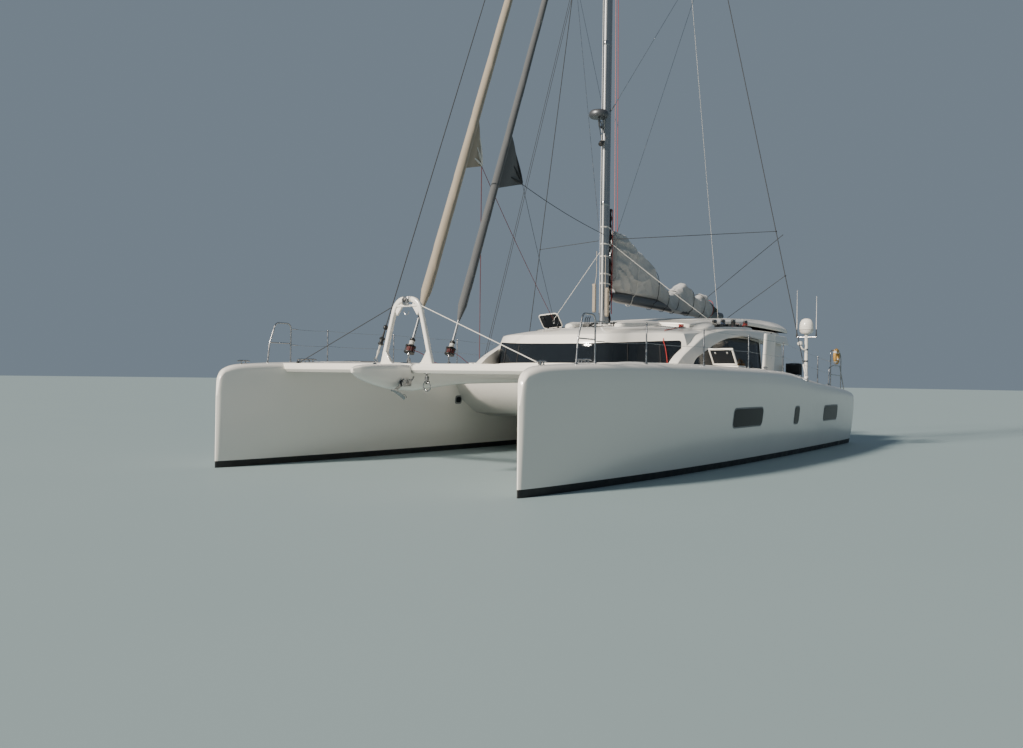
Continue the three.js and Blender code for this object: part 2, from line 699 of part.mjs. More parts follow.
// Striker: an arch standing on the crossbeam that carries the stay's load.
const STRIKER = { foot: 480, footLow: 330, shoulder: 250, apex: 2800, thick: 90 };
function strikerSolid() {
  const base = BEAM_TOP + FIT;
  const ARC = 8;
  const outline = [[-STRIKER.foot - 60, base], [-STRIKER.foot - 50, base + 50], [-STRIKER.foot + 20, base + 170]];
  const arc = (half, rise, turnBack) => {
    const points = [];
    for (let i = 0; i <= ARC; i++) {
      const turn = Math.PI * (turnBack ? i / ARC : 1 - i / ARC);
      points.push([half * Math.cos(turn), STRIKER.apex - rise + rise * Math.sin(turn) ** 0.8]);
    }
    return points;
  };
  outline.push(...arc(190, 170, false));
  outline.push([STRIKER.foot - 20, base + 170], [STRIKER.foot + 50, base + 50], [STRIKER.foot + 60, base]);
  outline.push([STRIKER.footLow - 60, base], [STRIKER.footLow - 10, base + 100]);
  const inner = arc(92, 110, true).map(([y, z]) => [y, z - 105]);
  outline.push(...inner);
  outline.push([-STRIKER.footLow + 10, base + 100], [-STRIKER.footLow + 60, base]);
  return plate(outline, STRIKER.thick, "yz");
}
place("striker_arch", moved(strikerSolid(), BEAM_X, 0, 0), GELCOAT);

// Trampolines between the spine, the beam, the bridgedeck and each hull.
const NET_Z = 1700;
for (const [side, sign] of [["port", 1], ["starboard", -1]]) {
  const y = [SPINE_HALF + FIT, 3000].map((v) => v * sign).sort((a, b) => a - b);
  const net = box([NOSE + 10, BEAM_X - BEAM_DEEP / 2 - FIT], y, [NET_Z - 6, NET_Z + 6]);
  place("trampoline_" + side, net.subtract(hullsCut).subtract(spineLoft(FIT)), NET);
}

// Mast on the coachroof, with its swept spreaders.
const MAST_HALF = { x: 135, y: 88 };
function mastSolid() {
  const rows = [[0, 1], [13000, 1], [MAST_TOP - MAST_FOOT, 0.62]];
  const SIDE = 14;
  const rings = rows.map(([z, size]) => {
    const ring = [];
    for (let i = 0; i < SIDE; i++) {
      const turn = (i / SIDE) * 2 * Math.PI;
      ring.push(V(MAST_HALF.x * size * Math.cos(turn), MAST_HALF.y * size * Math.sin(turn), z));
    }
    return ring;
  });
  const foot = box([-190, 190], [-150, 150], [-60, 30]);
  const bars = [1, -1].map((sign) =>
    rod([-60, sign * 60, SPREADER_Z - MAST_FOOT], [SPREADER_TIP[0] - MAST_X, sign * SPREADER_TIP[1], SPREADER_Z - MAST_FOOT + 90], 46, 8, 24),
  );
  const top = box([-230, 150], [-60, 60], [MAST_TOP - MAST_FOOT - 40, MAST_TOP - MAST_FOOT]);
  return join([loft(rings), foot, top, ...bars]);
}
place("mast", moved(mastSolid(), MAST_X, 0, MAST_FOOT).subtract(houseLoft(-FIT)), ALLOY);

// Shrouds: from each chainplate over the spreader's tip to the hounds.
for (const [side, sign] of [["port", 1], ["starboard", -1]]) {
  const foot = [CHAINPLATE[0], sign * CHAINPLATE[1], CHAINPLATE[2]];
  const tip = [SPREADER_TIP[0] - 26, sign * (SPREADER_TIP[1] + 26), SPREADER_Z + 92];
  const hounds = [MAST_X - 60, sign * (MAST_HALF.y + 6), HOUNDS_Z];
  const wire = tube([foot, [foot[0] + (tip[0] - foot[0]) * 0.5, foot[1] + (tip[1] - foot[1]) * 0.5, (foot[2] + tip[2]) / 2], tip, hounds], 9, 6, 6);
  const screw = rod(foot, [foot[0] + 5, foot[1] - 17 * sign, foot[2] + 260], 14, 8);
  place("shroud_" + side, wire.add(screw).subtract(moved(mastSolid().scale([1.003, 1.005, 1]), MAST_X, 0, MAST_FOOT)), STEEL);
}

// Furled headsails: the rolled sail, its clew and the drum at its foot.
const HEADSAILS = {
  // foot x, foot z, top x, top z, radius low, radius high, clew height share, clew reach
  genoa: { foot: [6180, 1990], top: [MAST_X + 180, 17600], radius: [92, 52], clew: [0.205, 560, 150] },
  staysail: { foot: [5130, 1990], top: [MAST_X + 170, 14900], radius: [82, 46], clew: [0.235, 460, 130] },
};
for (const [name, sail] of Object.entries(HEADSAILS)) {
  const foot = V(sail.foot[0], 0, sail.foot[1]);
  const top = V(sail.top[0], 0, sail.top[1]);
  const at = (share) => foot.clone().lerp(top, share);
  const [low, high] = sail.radius;
  const DRUM_SHARE = 0.012;
  const roll = rod(at(DRUM_SHARE + 0.03).toArray(), at(0.93).toArray(), low, 12, high);
  const foil = rod(at(DRUM_SHARE).toArray(), at(0.985).toArray(), 22, 8);
  const [share, tall, reach] = sail.clew;
  const middle = at(share);
  const clew = plate(
    [[middle.x, middle.z + tall * 0.8], [middle.x - reach - low, middle.z - tall * 0.2], [middle.x + 60, middle.z - tall * 0.5]],
    16,
    "xz",
  );
  place(name + "_furled", join([roll, foil, clew]), SAILCLOTH);
  const base = name === "genoa" ? BEAM_TOP + FIT : 1700;
  const drum = rod(at(-0.004).toArray(), at(DRUM_SHARE - FIT / foot.distanceTo(top)).toArray(), 88, 16);
  const link = rod([foot.x + 26, 0, base + 12], at(0).toArray(), 18, 8);
  const eye = box([foot.x - 30, foot.x + 60], [-30, 30], [base, 1790]);
  place(name + "_drum", join([drum, link, eye]).subtract(spineLoft(FIT)), BLACK);
}

// Light-air stay on the spine's nose.
const spritStay = join([
  rod([7000, 0, 1755], [MAST_X + 160, 0, 18900], 8, 6),
  rod([7000, 0, 1750], [6940, 0, 1900], 26, 8),
  rod([7000, 0, 1700], [7000, 0, 1760], 40, 10),
]);
place("sprit_stay", spritStay.subtract(spineLoft(FIT)), STEEL);

// Boom on its gooseneck, and the mainsail stacked in its cover.
const BOOM_DROP = -20; // fall of the boom's after end
const PIN_RADIUS = 34;
function boomSolid() {
  const rows = [
    // distance aft, half width, half height
    [70, 60, 70],
    [400, 95, 120],
    [3500, 110, 130],
    [BOOM_LENGTH, 80, 95],
  ];
  const SIDE = 12;
  const rings = rows.map(([aft, wide, high]) => {
    const ring = [];
    for (let i = 0; i < SIDE; i++) {
      const turn = (i / SIDE) * 2 * Math.PI;
      ring.push(V(-aft, wide * Math.cos(turn), high * Math.sin(turn) + (BOOM_DROP * aft) / BOOM_LENGTH));
    }
    return ring;
  });
  const pin = rod([0, 0, -100], [0, 0, 100], PIN_RADIUS, 12);
  return join([loft(rings), pin, rod([0, 0, 0], [-90, 0, 0], 30, 8)]);
}
place("boom", boomSolid(), ALLOY, GOOSENECK);

const STACK = [
  // distance aft, half width, top above the boom's middle
  [60, 90, 640],
  [150, 150, 1480],
  [900, 230, 1290],
  [1800, 260, 970],
  [2400, 230, 560],
  [3050, 180, 330],
  [3950, 240, 630],
  [4550, 220, 440],
  [5300, 200, 470],
  [6000, 140, 260],
  [6450, 60, 150],
];
const stackRings = STACK.map(([aft, half, top]) => {
  const low = 60 + (BOOM_DROP * aft) / BOOM_LENGTH;
  const shape = [[-0.85, 0], [-1, 0.3], [-0.8, 0.65], [-0.4, 0.92], [0, 1], [0.4, 0.92], [0.8, 0.65], [1, 0.3], [0.85, 0], [0, -0.02]];
  return shape.map(([y, z]) => V(-aft, y * half, low + (top - low) * z));
});
const boomCut = boomSolid().translate([0, 0, FIT]).add(boomSolid().translate([0, FIT, 0])).add(boomSolid().translate([0, -FIT, 0]));
const tackCut = rod([0, 0, -200], [0, 0, 125], 140, 16); // room for the bracket as the boom swings
place("mainsail_stack", loft(stackRings).subtract(boomCut).subtract(tackCut), CANVAS, GOOSENECK);

// Bracket on the mast that holds the gooseneck's pin above and below.
const jaw = (z) => box([-50, 120], [-44, 44], [z, z + 26]);
const pinHole = rod([0, 0, -200], [0, 0, 200], PIN_RADIUS + 1.1, 16);
const bracket = join([jaw(-106.4), jaw(80.4), box([50, 120], [-44, 44], [-106.4, 106.4])]).subtract(pinHole);
place(
  "gooseneck_bracket",
  moved(bracket, ...GOOSENECK).subtract(moved(mastSolid().scale([1.002, 1.004, 1]), MAST_X, 0, MAST_FOOT)),
  ALLOY,
);

// Height of a hull's deck at y off its own centreline.
function deckZ(x, y) {
  const [deck, sheer, radius] = [1, 4, 5].map((column) => hullAt(x, column));
  const out = Math.abs(y) - (deck - radius);
  const crown = sheer + deck * 0.05;
  const half = (deck - radius) * 0.5;
  const knee = crown - deck * 0.0125;
  if (out > 0) return sheer - radius + Math.sqrt(Math.max(0, radius ** 2 - out ** 2));
  return Math.abs(y) > half
    ? knee + ((sheer - knee) * (Math.abs(y) - half)) / half
    : crown + ((knee - crown) * Math.abs(y)) / half;
}

// Rails: bow hoops, stanchions with two lines, and stern hoops.
const RAIL = { high: 640, line: 5, tube: 14, out: 500 };
const PULPIT = { front: 6340, back: 5800, out: 150, high: 700 };
const STANCHIONS = [4620, 2570, 330, -1800, -4400];
const PUSHPIT = { front: -5750, back: -6720, out: 440, high: 900 };

let hoopSide = 0; // outer side of the port stern hoop

// Foot pads keep the tubes' ends on the deck.
function footed(x, y, r) {
  const z = deckZ(x, y);
  return rod([x, y, z - 30], [x, y, z + 26], r, 8);
}

for (const [side, sign] of [["port", 1], ["starboard", -1]]) {
  const at = [0, sign * HULL_Y, 0];
  const cut = (solid) => solid.subtract(hullLoft(FIT));
  const y = sign * PULPIT.out;
  const [zf, zb] = [deckZ(PULPIT.front, y), deckZ(PULPIT.back, y)];
  const top = zb + PULPIT.high;
  const hoop = tube(
    [
      [PULPIT.front, y, zf - 10], [PULPIT.front - 40, y, zf + 330], [PULPIT.front - 130, y, top - 60],
      [PULPIT.front - 210, y, top], [PULPIT.back + 80, y, top], [PULPIT.back, y, top - 70], [PULPIT.back, y, zb - 10],
    ],
    RAIL.tube, 16, 6,
  );
  const middle = rod([PULPIT.front - 40, y, zb + 340], [PULPIT.back, y, zb + 340], RAIL.tube - 3, 8);
  const pulpit = join([hoop, middle, footed(PULPIT.front, y, 34), footed(PULPIT.back, y, 34)]);
  place("pulpit_" + side, cut(pulpit), STEEL, at);

  const yo = sign * RAIL.out;
  const tops = STANCHIONS.map((x) => {
    const out = x > 4000 ? sign * 400 : yo;
    return [x, out, deckZ(x, out)];
  });
  const yp = sign * PUSHPIT.out;
  const rails = [];
  for (const [x, out, z] of tops) {
    rails.push(rod([x, out, z - 10], [x, out, z + RAIL.high], RAIL.tube - 2, 6), footed(x, out, 30));
  }
  for (const share of [0.96, 0.5]) {
    const gap = RAIL.tube + RAIL.line;
    const line = [
      [PULPIT.back - gap, y, zb + PULPIT.high * share * 0.9],
      ...tops.map(([x, out, z]) => [x, out, z + RAIL.high * share]),
      [PUSHPIT.front + gap, yp, deckZ(PUSHPIT.front, yp) + RAIL.high * share],
    ];
    for (let i = 0; i + 1 < line.length; i++) rails.push(rod(line[i], line[i + 1], RAIL.line, 5));
  }
  place("rails_" + side, cut(join(rails)), STEEL, at);

  const [zp, zq] = [deckZ(PUSHPIT.front, yp), deckZ(PUSHPIT.back, yp)];
  const stern = tube(
    [
      [PUSHPIT.front, yp, zp - 10], [PUSHPIT.front, yp, zp + PUSHPIT.high - 90], [PUSHPIT.front - 80, yp, zp + PUSHPIT.high],
      [PUSHPIT.back + 120, yp, zp + PUSHPIT.high - 40], [PUSHPIT.back, yp, zp + PUSHPIT.high - 160], [PUSHPIT.back, yp, zq - 10],
    ],
    RAIL.tube, 14, 6,
  );
  if (sign > 0) hoopSide = stern.boundingBox().max[1];
  const bar = rod([PUSHPIT.front, yp, zp + 300], [PUSHPIT.back, yp, zp + 270], RAIL.tube - 3, 8);
  place("pushpit_" + side, cut(join([stern, bar, footed(PUSHPIT.front, yp, 34), footed(PUSHPIT.back, yp, 34)])), STEEL, at);

  // The lookout's seat on the coaming, at the hull's inner edge.
  const inner = -sign * (HULL_Y - HELM_SEAT.y);
  const coaming = box([TRAY_AFT, TRAY_STEP], [-2700, 2700], [DECK_UNDER, COAMING + FIT]).translate([0, -sign * HULL_Y, 0]);
  const { back, front, half } = HELM_SEAT;
  const seatBase = box([back, front], [inner - half, inner + half], [COAMING - 80, COAMING + 260]);
  const seatBack = box([back, back + 70], [inner - half - 20, inner + half + 20], [COAMING + 230, COAMING + 580]);
  place("helm_seat_" + side, cut(seatBase.add(seatBack)).subtract(coaming), CUSHION, at);

  // Pedestal and wheel in the cockpit, against the saloon's after wall.
  const wall = SALOON_AFT_X - 120 - FIT;
  const face = wall - HELM.deep;
  const shape = [[wall, COCKPIT_FLOOR + FIT], [wall, HELM.z + 170], [wall - 90, HELM.z + 170], [face, HELM.z + 90], [face, COCKPIT_FLOOR + FIT]];
  const shaftHole = rod([-20, 0, 0], [70, 0, 0], 19.4, 10).rotate([180 / 10, 0, 0]);
  const pedestal = moved(plate(shape, 2 * HELM.half, "xz"), 0, sign * HELM.y, 0).subtract(moved(shaftHole, face, sign * HELM.y, HELM.z));
  place("helm_pedestal_" + side, pedestal, GELCOAT);
  place("helm_wheel_" + side, wheelSolid(), STEEL, [face - 120, sign * HELM.y, HELM.z]);
}

// Wheel in the YZ plane about its hub, with the shaft that enters the pedestal.
function wheelSolid() {
  const rim = new THREE.TorusGeometry(WHEEL_RADIUS, 14, 6, 24);
  rim.rotateY(Math.PI / 2);
  const parts = [solidOf(rim), rod([-24, 0, 0], [24, 0, 0], 44, 10), rod([0, 0, 0], [180, 0, 0], 18, 10)];
  const SPOKES = 5;
  for (let i = 0; i < SPOKES; i++) {
    const turn = (i / SPOKES) * 2 * Math.PI;
    parts.push(rod([0, 0, 0], [0, WHEEL_RADIUS * Math.cos(turn), WHEEL_RADIUS * Math.sin(turn)], 8, 5));
  }
  return join(parts);
}

// Deck gear
const MAST_POLE = [-4150, 3300];
const poleFoot = deckZ(MAST_POLE[0], MAST_POLE[1] - HULL_Y);
const domeProfile = [[0, 2690], [110, 2690], [155, 2740], [158, 2900], [120, 3000], [50, 3040], [0, 3046]];
const dome = new THREE.LatheGeometry(domeProfile.map(([r, z]) => new THREE.Vector2(r, z)), 18);
dome.rotateX(Math.PI / 2);
const poleTop = join([
  rod([0, 0, poleFoot - 60], [0, 0, 2700], 38, 12),
  solidOf(dome),
  rod([0, -240, 2610], [0, 240, 2610], 16, 8),
  rod([0, -225, 2600], [0, -225, 3720], 9, 6),
  rod([0, 225, 2600], [0, 225, 3560], 9, 6),
]);
place(
  "instrument_pole",
  moved(poleTop, MAST_POLE[0], MAST_POLE[1] - HULL_Y, 0).subtract(hullLoft(FIT)),
  GELCOAT,
  [0, HULL_Y, 0],
);

// Rescue buoy on the port stern hoop.
const BUOY = { radius: 150, tube: 52 };
const buoyRing = new THREE.TorusGeometry(BUOY.radius, BUOY.tube, 8, 16);
buoyRing.rotateX(Math.PI / 2);
const buoyAt = [PUSHPIT.back + 700, HULL_Y + hoopSide + BUOY.tube + FIT, deckZ(PUSHPIT.front, PUSHPIT.out) + 750];
place("rescue_buoy", solidOf(buoyRing), ORANGE, buoyAt);

// Winches stand in a row on a plinth along each side of the roof.
const WINCHES = [-1750, -2250, -2900, -3700];
for (const [side, sign] of [["port", 1], ["starboard", -1]]) {
  const y = sign * 1990;
  const parts = [];
  const plinth = WINCHES.map((x) => [x, roofHeight(x, y)]);
  const rows = [[WINCHES[0] + 200, plinth[0][1] - 30], ...plinth, [WINCHES[3] - 200, plinth[3][1] + 8]];
  const rings = rows.map(([x, z]) => [[-90, -60], [90, -60], [80, 40], [-80, 40]].map(([v, h]) => V(x, y + v, z + h)));
  parts.push(loft(rings));
  for (const [x, z] of plinth) {
    const profile = [[0, 20], [62, 20], [62, 60], [42, 80], [40, 120], [56, 150], [56, 168], [0, 170]];
    const drum = new THREE.LatheGeometry(profile.map(([r, h]) => new THREE.Vector2(r, h)), 9);
    drum.rotateX(Math.PI / 2);
    drum.translate(x, y, z);
    parts.push(solidOf(drum));
  }
  place("winches_" + side, join(parts).subtract(houseLoft(-FIT)).subtract(hardtopSolid().translate([0, 0, -FIT])), BLACK);
}

// Anchor in its roller under the crossbeam, on the spine's port cheek.
const cheek = 186;
const roller = box([6420, 6640], [cheek - 30, cheek + 60], [1400, 1520]);
const shank = rod([6460, cheek + 30, 1440], [6760, cheek + 30, 1330], 20, 8);
const fluke = plate([[6700, 1380], [6860, 1330], [6800, 1230], [6560, 1180], [6660, 1290]], 120, "xz");
const anchor = join([roller, shank, moved(fluke, 0, cheek + 30, 0)]);
place("anchor", anchor.subtract(spineLoft(FIT)), STEEL);

// Saloon and cockpit furniture, seen through the glass and from aft.
const onFloor = (floor) => floor + FIT;
const saloonZ = onFloor(SALOON_FLOOR);
const settee = box([-2300, 300], [700, 2080], [saloonZ, saloonZ + 420])
  .subtract(box([-1700, -300], [600, 1500], [800, 2000]))
  .add(box([-2300, 300], [1900, 2080], [saloonZ + 400, saloonZ + 800]));
place("saloon_settee", settee, CUSHION);
const table = box([-1500, -500], [720, 1400], [saloonZ + 660, saloonZ + 700]).add(rod([-1000, 1060, saloonZ], [-1000, 1060, saloonZ + 670], 50, 12));
place("saloon_table", table, TEAK);
const galley = box([-2600, 200], [-2080, -1450], [saloonZ, saloonZ + 900]).add(box([-400, 200], [-1600, -500], [saloonZ, saloonZ + 900]));
place("galley_unit", galley, TEAK);
const cockpitZ = onFloor(COCKPIT_FLOOR);
const bench = box([COCKPIT_AFT_X + FIT, COCKPIT_AFT_X + 600], [-1700, 1700], [cockpitZ, cockpitZ + 430]).add(
  box([-5500, -4750], [1450, 2060], [cockpitZ, cockpitZ + 430]),
);
place("cockpit_bench", bench, CUSHION);
const cockpitTable = box([-5300, -4450], [480, 1250], [cockpitZ + 680, cockpitZ + 720]).add(
  rod([-4875, 860, cockpitZ], [-4875, 860, cockpitZ + 690], 50, 12),
);
place("cockpit_table", cockpitTable, TEAK);

boat.name = "sailing_catamaran";
export default boat;
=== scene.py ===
"""Looks for a sailing catamaran afloat with her sails furled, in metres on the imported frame.

+X is forward, +Y to port, +Z up, and the waterline is z = 0.
"""
import json
import math

import bmesh
import bpy
import numpy as np
from mathutils import Matrix, Vector, noise
from mathutils.bvhtree import BVHTree
from mathutils.geometry import delaunay_2d_cdt

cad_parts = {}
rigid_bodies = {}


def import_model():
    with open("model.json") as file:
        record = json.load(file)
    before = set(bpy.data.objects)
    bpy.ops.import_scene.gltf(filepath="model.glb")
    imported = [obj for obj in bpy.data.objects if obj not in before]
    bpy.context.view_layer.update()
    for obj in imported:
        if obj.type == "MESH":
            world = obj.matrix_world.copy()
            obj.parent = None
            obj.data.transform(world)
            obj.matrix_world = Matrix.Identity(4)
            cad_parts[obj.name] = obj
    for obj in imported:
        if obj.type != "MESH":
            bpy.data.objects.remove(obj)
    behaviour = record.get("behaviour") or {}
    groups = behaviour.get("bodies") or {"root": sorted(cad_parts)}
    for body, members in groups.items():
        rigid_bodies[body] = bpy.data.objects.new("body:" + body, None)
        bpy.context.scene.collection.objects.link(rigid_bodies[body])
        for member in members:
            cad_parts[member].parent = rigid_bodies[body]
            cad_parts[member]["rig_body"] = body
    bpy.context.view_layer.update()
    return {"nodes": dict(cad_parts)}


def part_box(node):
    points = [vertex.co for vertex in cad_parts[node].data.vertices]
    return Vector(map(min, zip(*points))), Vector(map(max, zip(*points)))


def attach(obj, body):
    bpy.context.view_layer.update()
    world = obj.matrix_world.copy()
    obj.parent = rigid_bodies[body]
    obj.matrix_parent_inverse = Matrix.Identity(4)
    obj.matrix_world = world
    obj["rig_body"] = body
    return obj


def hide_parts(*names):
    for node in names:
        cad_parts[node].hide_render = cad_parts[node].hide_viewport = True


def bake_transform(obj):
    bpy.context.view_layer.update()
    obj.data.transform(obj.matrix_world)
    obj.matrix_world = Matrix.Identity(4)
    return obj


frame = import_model()
SIDES = (("port", 1), ("starboard", -1))

# Camera, light and materials

VIEW = {"at": (17.502, 9.550, 1.553), "yaw": 213.833, "pitch": 0.263, "roll": 0.828, "lens": 32.40}


def place_camera():
    yaw, pitch, roll = (math.radians(VIEW[k]) for k in ("yaw", "pitch", "roll"))
    ahead = Vector((math.cos(yaw) * math.cos(pitch), math.sin(yaw) * math.cos(pitch), math.sin(pitch)))
    right = ahead.cross(Vector((0, 0, 1))).normalized()
    up = right.cross(ahead)
    turned = right * math.cos(roll) + up * math.sin(roll)
    upright = up * math.cos(roll) - right * math.sin(roll)
    lens = bpy.data.cameras.new("camera")
    lens.lens = VIEW["lens"]
    lens.sensor_width = 36
    lens.clip_end = 500
    camera = bpy.data.objects.new("camera", lens)
    facing = Matrix((turned, upright, -ahead)).transposed().to_4x4()
    camera.matrix_world = Matrix.Translation(VIEW["at"]) @ facing
    bpy.context.scene.collection.objects.link(camera)
    bpy.context.scene.camera = camera


def sun(name, at, towards, spread, power, colour):
    lamp = bpy.data.lights.new(name, "SUN")
    lamp.angle = math.radians(spread)
    lamp.energy = power
    lamp.color = colour
    thing = bpy.data.objects.new(name, lamp)
    thing.location = at
    thing.rotation_euler = (Vector(towards) - Vector(at)).to_track_quat("-Z", "Y").to_euler()
    bpy.context.scene.collection.objects.link(thing)


def mixed(nodes, links, factor, low, high):
    mix = nodes.new("ShaderNodeMix")
    mix.data_type = "RGBA"
    mix.inputs["A"].default_value = (*low, 1)
    mix.inputs["B"].default_value = (*high, 1)
    links.new(factor, mix.inputs["Factor"])
    return mix.outputs["Result"]


def material(name, colour, rough, metal=0.0, vary=0.06, patch=3.0, wear=0.08, grain=None, sockets=None,
             stretch=(1, 1, 1), weave=None, strand=None):
    """Colour and roughness drift over the surface, and fine grain, weave or strands raise it."""
    made = bpy.data.materials.new(name)
    made.use_nodes = True
    nodes, links = made.node_tree.nodes, made.node_tree.links
    shader = nodes["Principled BSDF"]
    shader.inputs["Metallic"].default_value = metal
    for socket, value in (sockets or {}).items():
        shader.inputs[socket].default_value = value
    where = nodes.new("ShaderNodeTexCoord")
    mapping = nodes.new("ShaderNodeMapping")
    mapping.inputs["Scale"].default_value = stretch
    links.new(where.outputs["Object"], mapping.inputs["Vector"])
    spot = nodes.new("ShaderNodeTexNoise")
    spot.inputs["Scale"].default_value = patch
    spot.inputs["Detail"].default_value = 5
    links.new(mapping.outputs["Vector"], spot.inputs["Vector"])
    low = [c * (1 - vary) for c in colour]
    high = [min(1, c * (1 + vary)) for c in colour]
    links.new(mixed(nodes, links, spot.outputs["Fac"], low, high), shader.inputs["Base Color"])
    span = nodes.new("ShaderNodeMapRange")
    span.inputs["From Min"].default_value = 0.3
    span.inputs["From Max"].default_value = 0.7
    span.inputs["To Min"].default_value = max(0.02, rough - wear)
    span.inputs["To Max"].default_value = min(1, rough + wear)
    links.new(spot.outputs["Fac"], span.inputs["Value"])
    links.new(span.outputs["Result"], shader.inputs["Roughness"])
    bumps = []
    if grain:
        fine = nodes.new("ShaderNodeTexNoise")
        fine.inputs["Scale"].default_value = grain[0]
        fine.inputs["Detail"].default_value = 3
        links.new(mapping.outputs["Vector"], fine.inputs["Vector"])
        bumps.append((fine.outputs["Fac"], grain[1]))
    if weave:
        height = None
        for direction in ("X", "Z"):
            wave = nodes.new("ShaderNodeTexWave")
            wave.bands_direction = direction
            wave.inputs["Scale"].default_value = weave[0]
            links.new(where.outputs["Object"], wave.inputs["Vector"])
            if height is None:
                height = wave.outputs["Fac"]
                continue
            crossed = nodes.new("ShaderNodeMath")
            crossed.operation = "MAXIMUM"
            links.new(height, crossed.inputs[0])
            links.new(wave.outputs["Fac"], crossed.inputs[1])
            height = crossed.outputs[0]
        bumps.append((height, weave[1]))
    if strand:
        wave = nodes.new("ShaderNodeTexWave")
        wave.bands_direction = "DIAGONAL"
        wave.inputs["Scale"].default_value = strand[0]
        links.new(where.outputs["UV"], wave.inputs["Vector"])
        bumps.append((wave.outputs["Fac"], strand[1]))
    last = None
    for height, depth in bumps:
        bump = nodes.new("ShaderNodeBump")
        bump.inputs["Distance"].default_value = depth
        bump.inputs["Strength"].default_value = 0.6
        links.new(height, bump.inputs["Height"])
        if last:
            links.new(last.outputs["Normal"], bump.inputs["Normal"])
        last = bump
    if last:
        links.new(last.outputs["Normal"], shader.inputs["Normal"])
    return made


GELCOAT = material("gelcoat", (0.80, 0.775, 0.72), 0.22, vary=0.025, patch=0.8, wear=0.05,
                   grain=(2.2, 0.0012), sockets={"Coat Weight": 0.35, "Coat Roughness": 0.08})
MOULDED = material("moulded_liner", (0.78, 0.76, 0.71), 0.42, vary=0.03, patch=2, grain=(40, 0.0004))
# Painted shade: a darker grey for the hardtop's underside, which lies in shade.
SHADE_GREY = material("painted_shade_grey", (0.42, 0.42, 0.41), 0.5, vary=0.05, patch=2, grain=(60, 0.0005))
NONSKID = material("nonskid", (0.56, 0.56, 0.54), 0.72, vary=0.05, patch=5, grain=(420, 0.0012))
ANTIFOUL = material("antifoul", (0.010, 0.011, 0.012), 0.55, vary=0.3, patch=6, wear=0.15,
                    grain=(50, 0.0008))
GLASS = material("glass", (0.012, 0.016, 0.021), 0.05, vary=0.2, patch=1, wear=0.02,
                 sockets={"Alpha": 0.72, "Specular IOR Level": 0.28})
TINTED = material("hatch_pane", (0.015, 0.018, 0.022), 0.07, vary=0.2, patch=2, wear=0.03,
                  sockets={"Specular IOR Level": 0.12, "IOR": 1.35})
ALLOY = material("mast_alloy", (0.30, 0.315, 0.33), 0.40, metal=0.85, vary=0.08, patch=4, wear=0.08,
                 stretch=(1, 1, 0.12), grain=(260, 0.0002))
ALLOY_DARK = material("boom_alloy", (0.12, 0.125, 0.135), 0.42, metal=0.8, vary=0.1, patch=4,
                      stretch=(0.15, 1, 1), grain=(260, 0.0002))
# Painted shade: the stainless base colour is held dark, as for rails and fittings in shade.
SHADED_STEEL = material("stainless", (0.34, 0.35, 0.36), 0.24, metal=1, vary=0.08, patch=14, wear=0.09,
                 grain=(500, 0.00015))
BLACK = material("black_fitting", (0.016, 0.017, 0.018), 0.45, vary=0.25, patch=9, grain=(220, 0.0003))
RUBBER = material("seal_rubber", (0.011, 0.011, 0.012), 0.7, vary=0.2, patch=9, grain=(300, 0.0003))
GENOA = material("genoa_band", (0.30, 0.255, 0.195), 0.85, vary=0.1, patch=2.5, weave=(160, 0.0008),
                 sockets={"Sheen Weight": 0.25}, stretch=(1, 1, 0.4))
STAYSAIL = material("staysail_band", (0.075, 0.08, 0.085), 0.8, vary=0.14, patch=2.5, weave=(160, 0.0008),
                    sockets={"Sheen Weight": 0.2}, stretch=(1, 1, 0.4))
SAIL_WHITE = material("sailcloth", (0.62, 0.61, 0.57), 0.75, vary=0.05, patch=4, weave=(180, 0.0006),
                      sockets={"Sheen Weight": 0.3})
CANVAS = material("canvas", (0.42, 0.425, 0.42), 0.9, vary=0.16, patch=4, grain=(7, 0.05),
                  weave=(140, 0.001), sockets={"Sheen Weight": 0.3})
CANVAS_DARK = material("canvas_dark", (0.035, 0.05, 0.045), 0.9, vary=0.15, patch=5, weave=(140, 0.001))
NET = material("net_strand", (0.60, 0.59, 0.56), 0.85, vary=0.08, patch=20, strand=(40, 0.0006))
UPHOLSTERY = material("upholstery", (0.13, 0.085, 0.078), 0.82, vary=0.1, patch=12, weave=(220, 0.0009),
                      sockets={"Sheen Weight": 0.35})
HELM_COVER = material("helm_upholstery", (0.028, 0.029, 0.031), 0.6, vary=0.15, patch=14,
                      grain=(260, 0.0009))
WOOD = material("wood_trim", (0.30, 0.17, 0.085), 0.48, vary=0.22, patch=6, wear=0.08,
                stretch=(1, 9, 9), grain=(90, 0.0006))
SOLE = material("cabin_sole", (0.24, 0.16, 0.10), 0.45, vary=0.2, patch=5, stretch=(1, 10, 1),
                grain=(70, 0.0005))
ORANGE = material("buoy_orange", (0.55, 0.31, 0.08), 0.75, vary=0.1, patch=9, weave=(200, 0.0008))
BRONZE = material("propeller_bronze", (0.42, 0.27, 0.11), 0.34, metal=1, vary=0.15, patch=9,
                  grain=(120, 0.0004))
FOIL = material("foil_paint", (0.74, 0.73, 0.69), 0.35, vary=0.05, patch=3, grain=(30, 0.0004))
LEATHER = material("wheel_leather", (0.032, 0.030, 0.028), 0.62, vary=0.2, patch=30, grain=(400, 0.0008))
TRIM_GREY = material("window_seal", (0.19, 0.195, 0.20), 0.5, vary=0.1, patch=6, grain=(120, 0.0003))
PAINTED_LIGHT_LINER = material("lit_liner", (0.74, 0.71, 0.64), 0.5, vary=0.05, patch=3, grain=(70, 0.0004))


def rope(name, colour, dark=0.15):
    return material(name, colour, 0.85, vary=dark, patch=60, strand=(90, 0.0012))


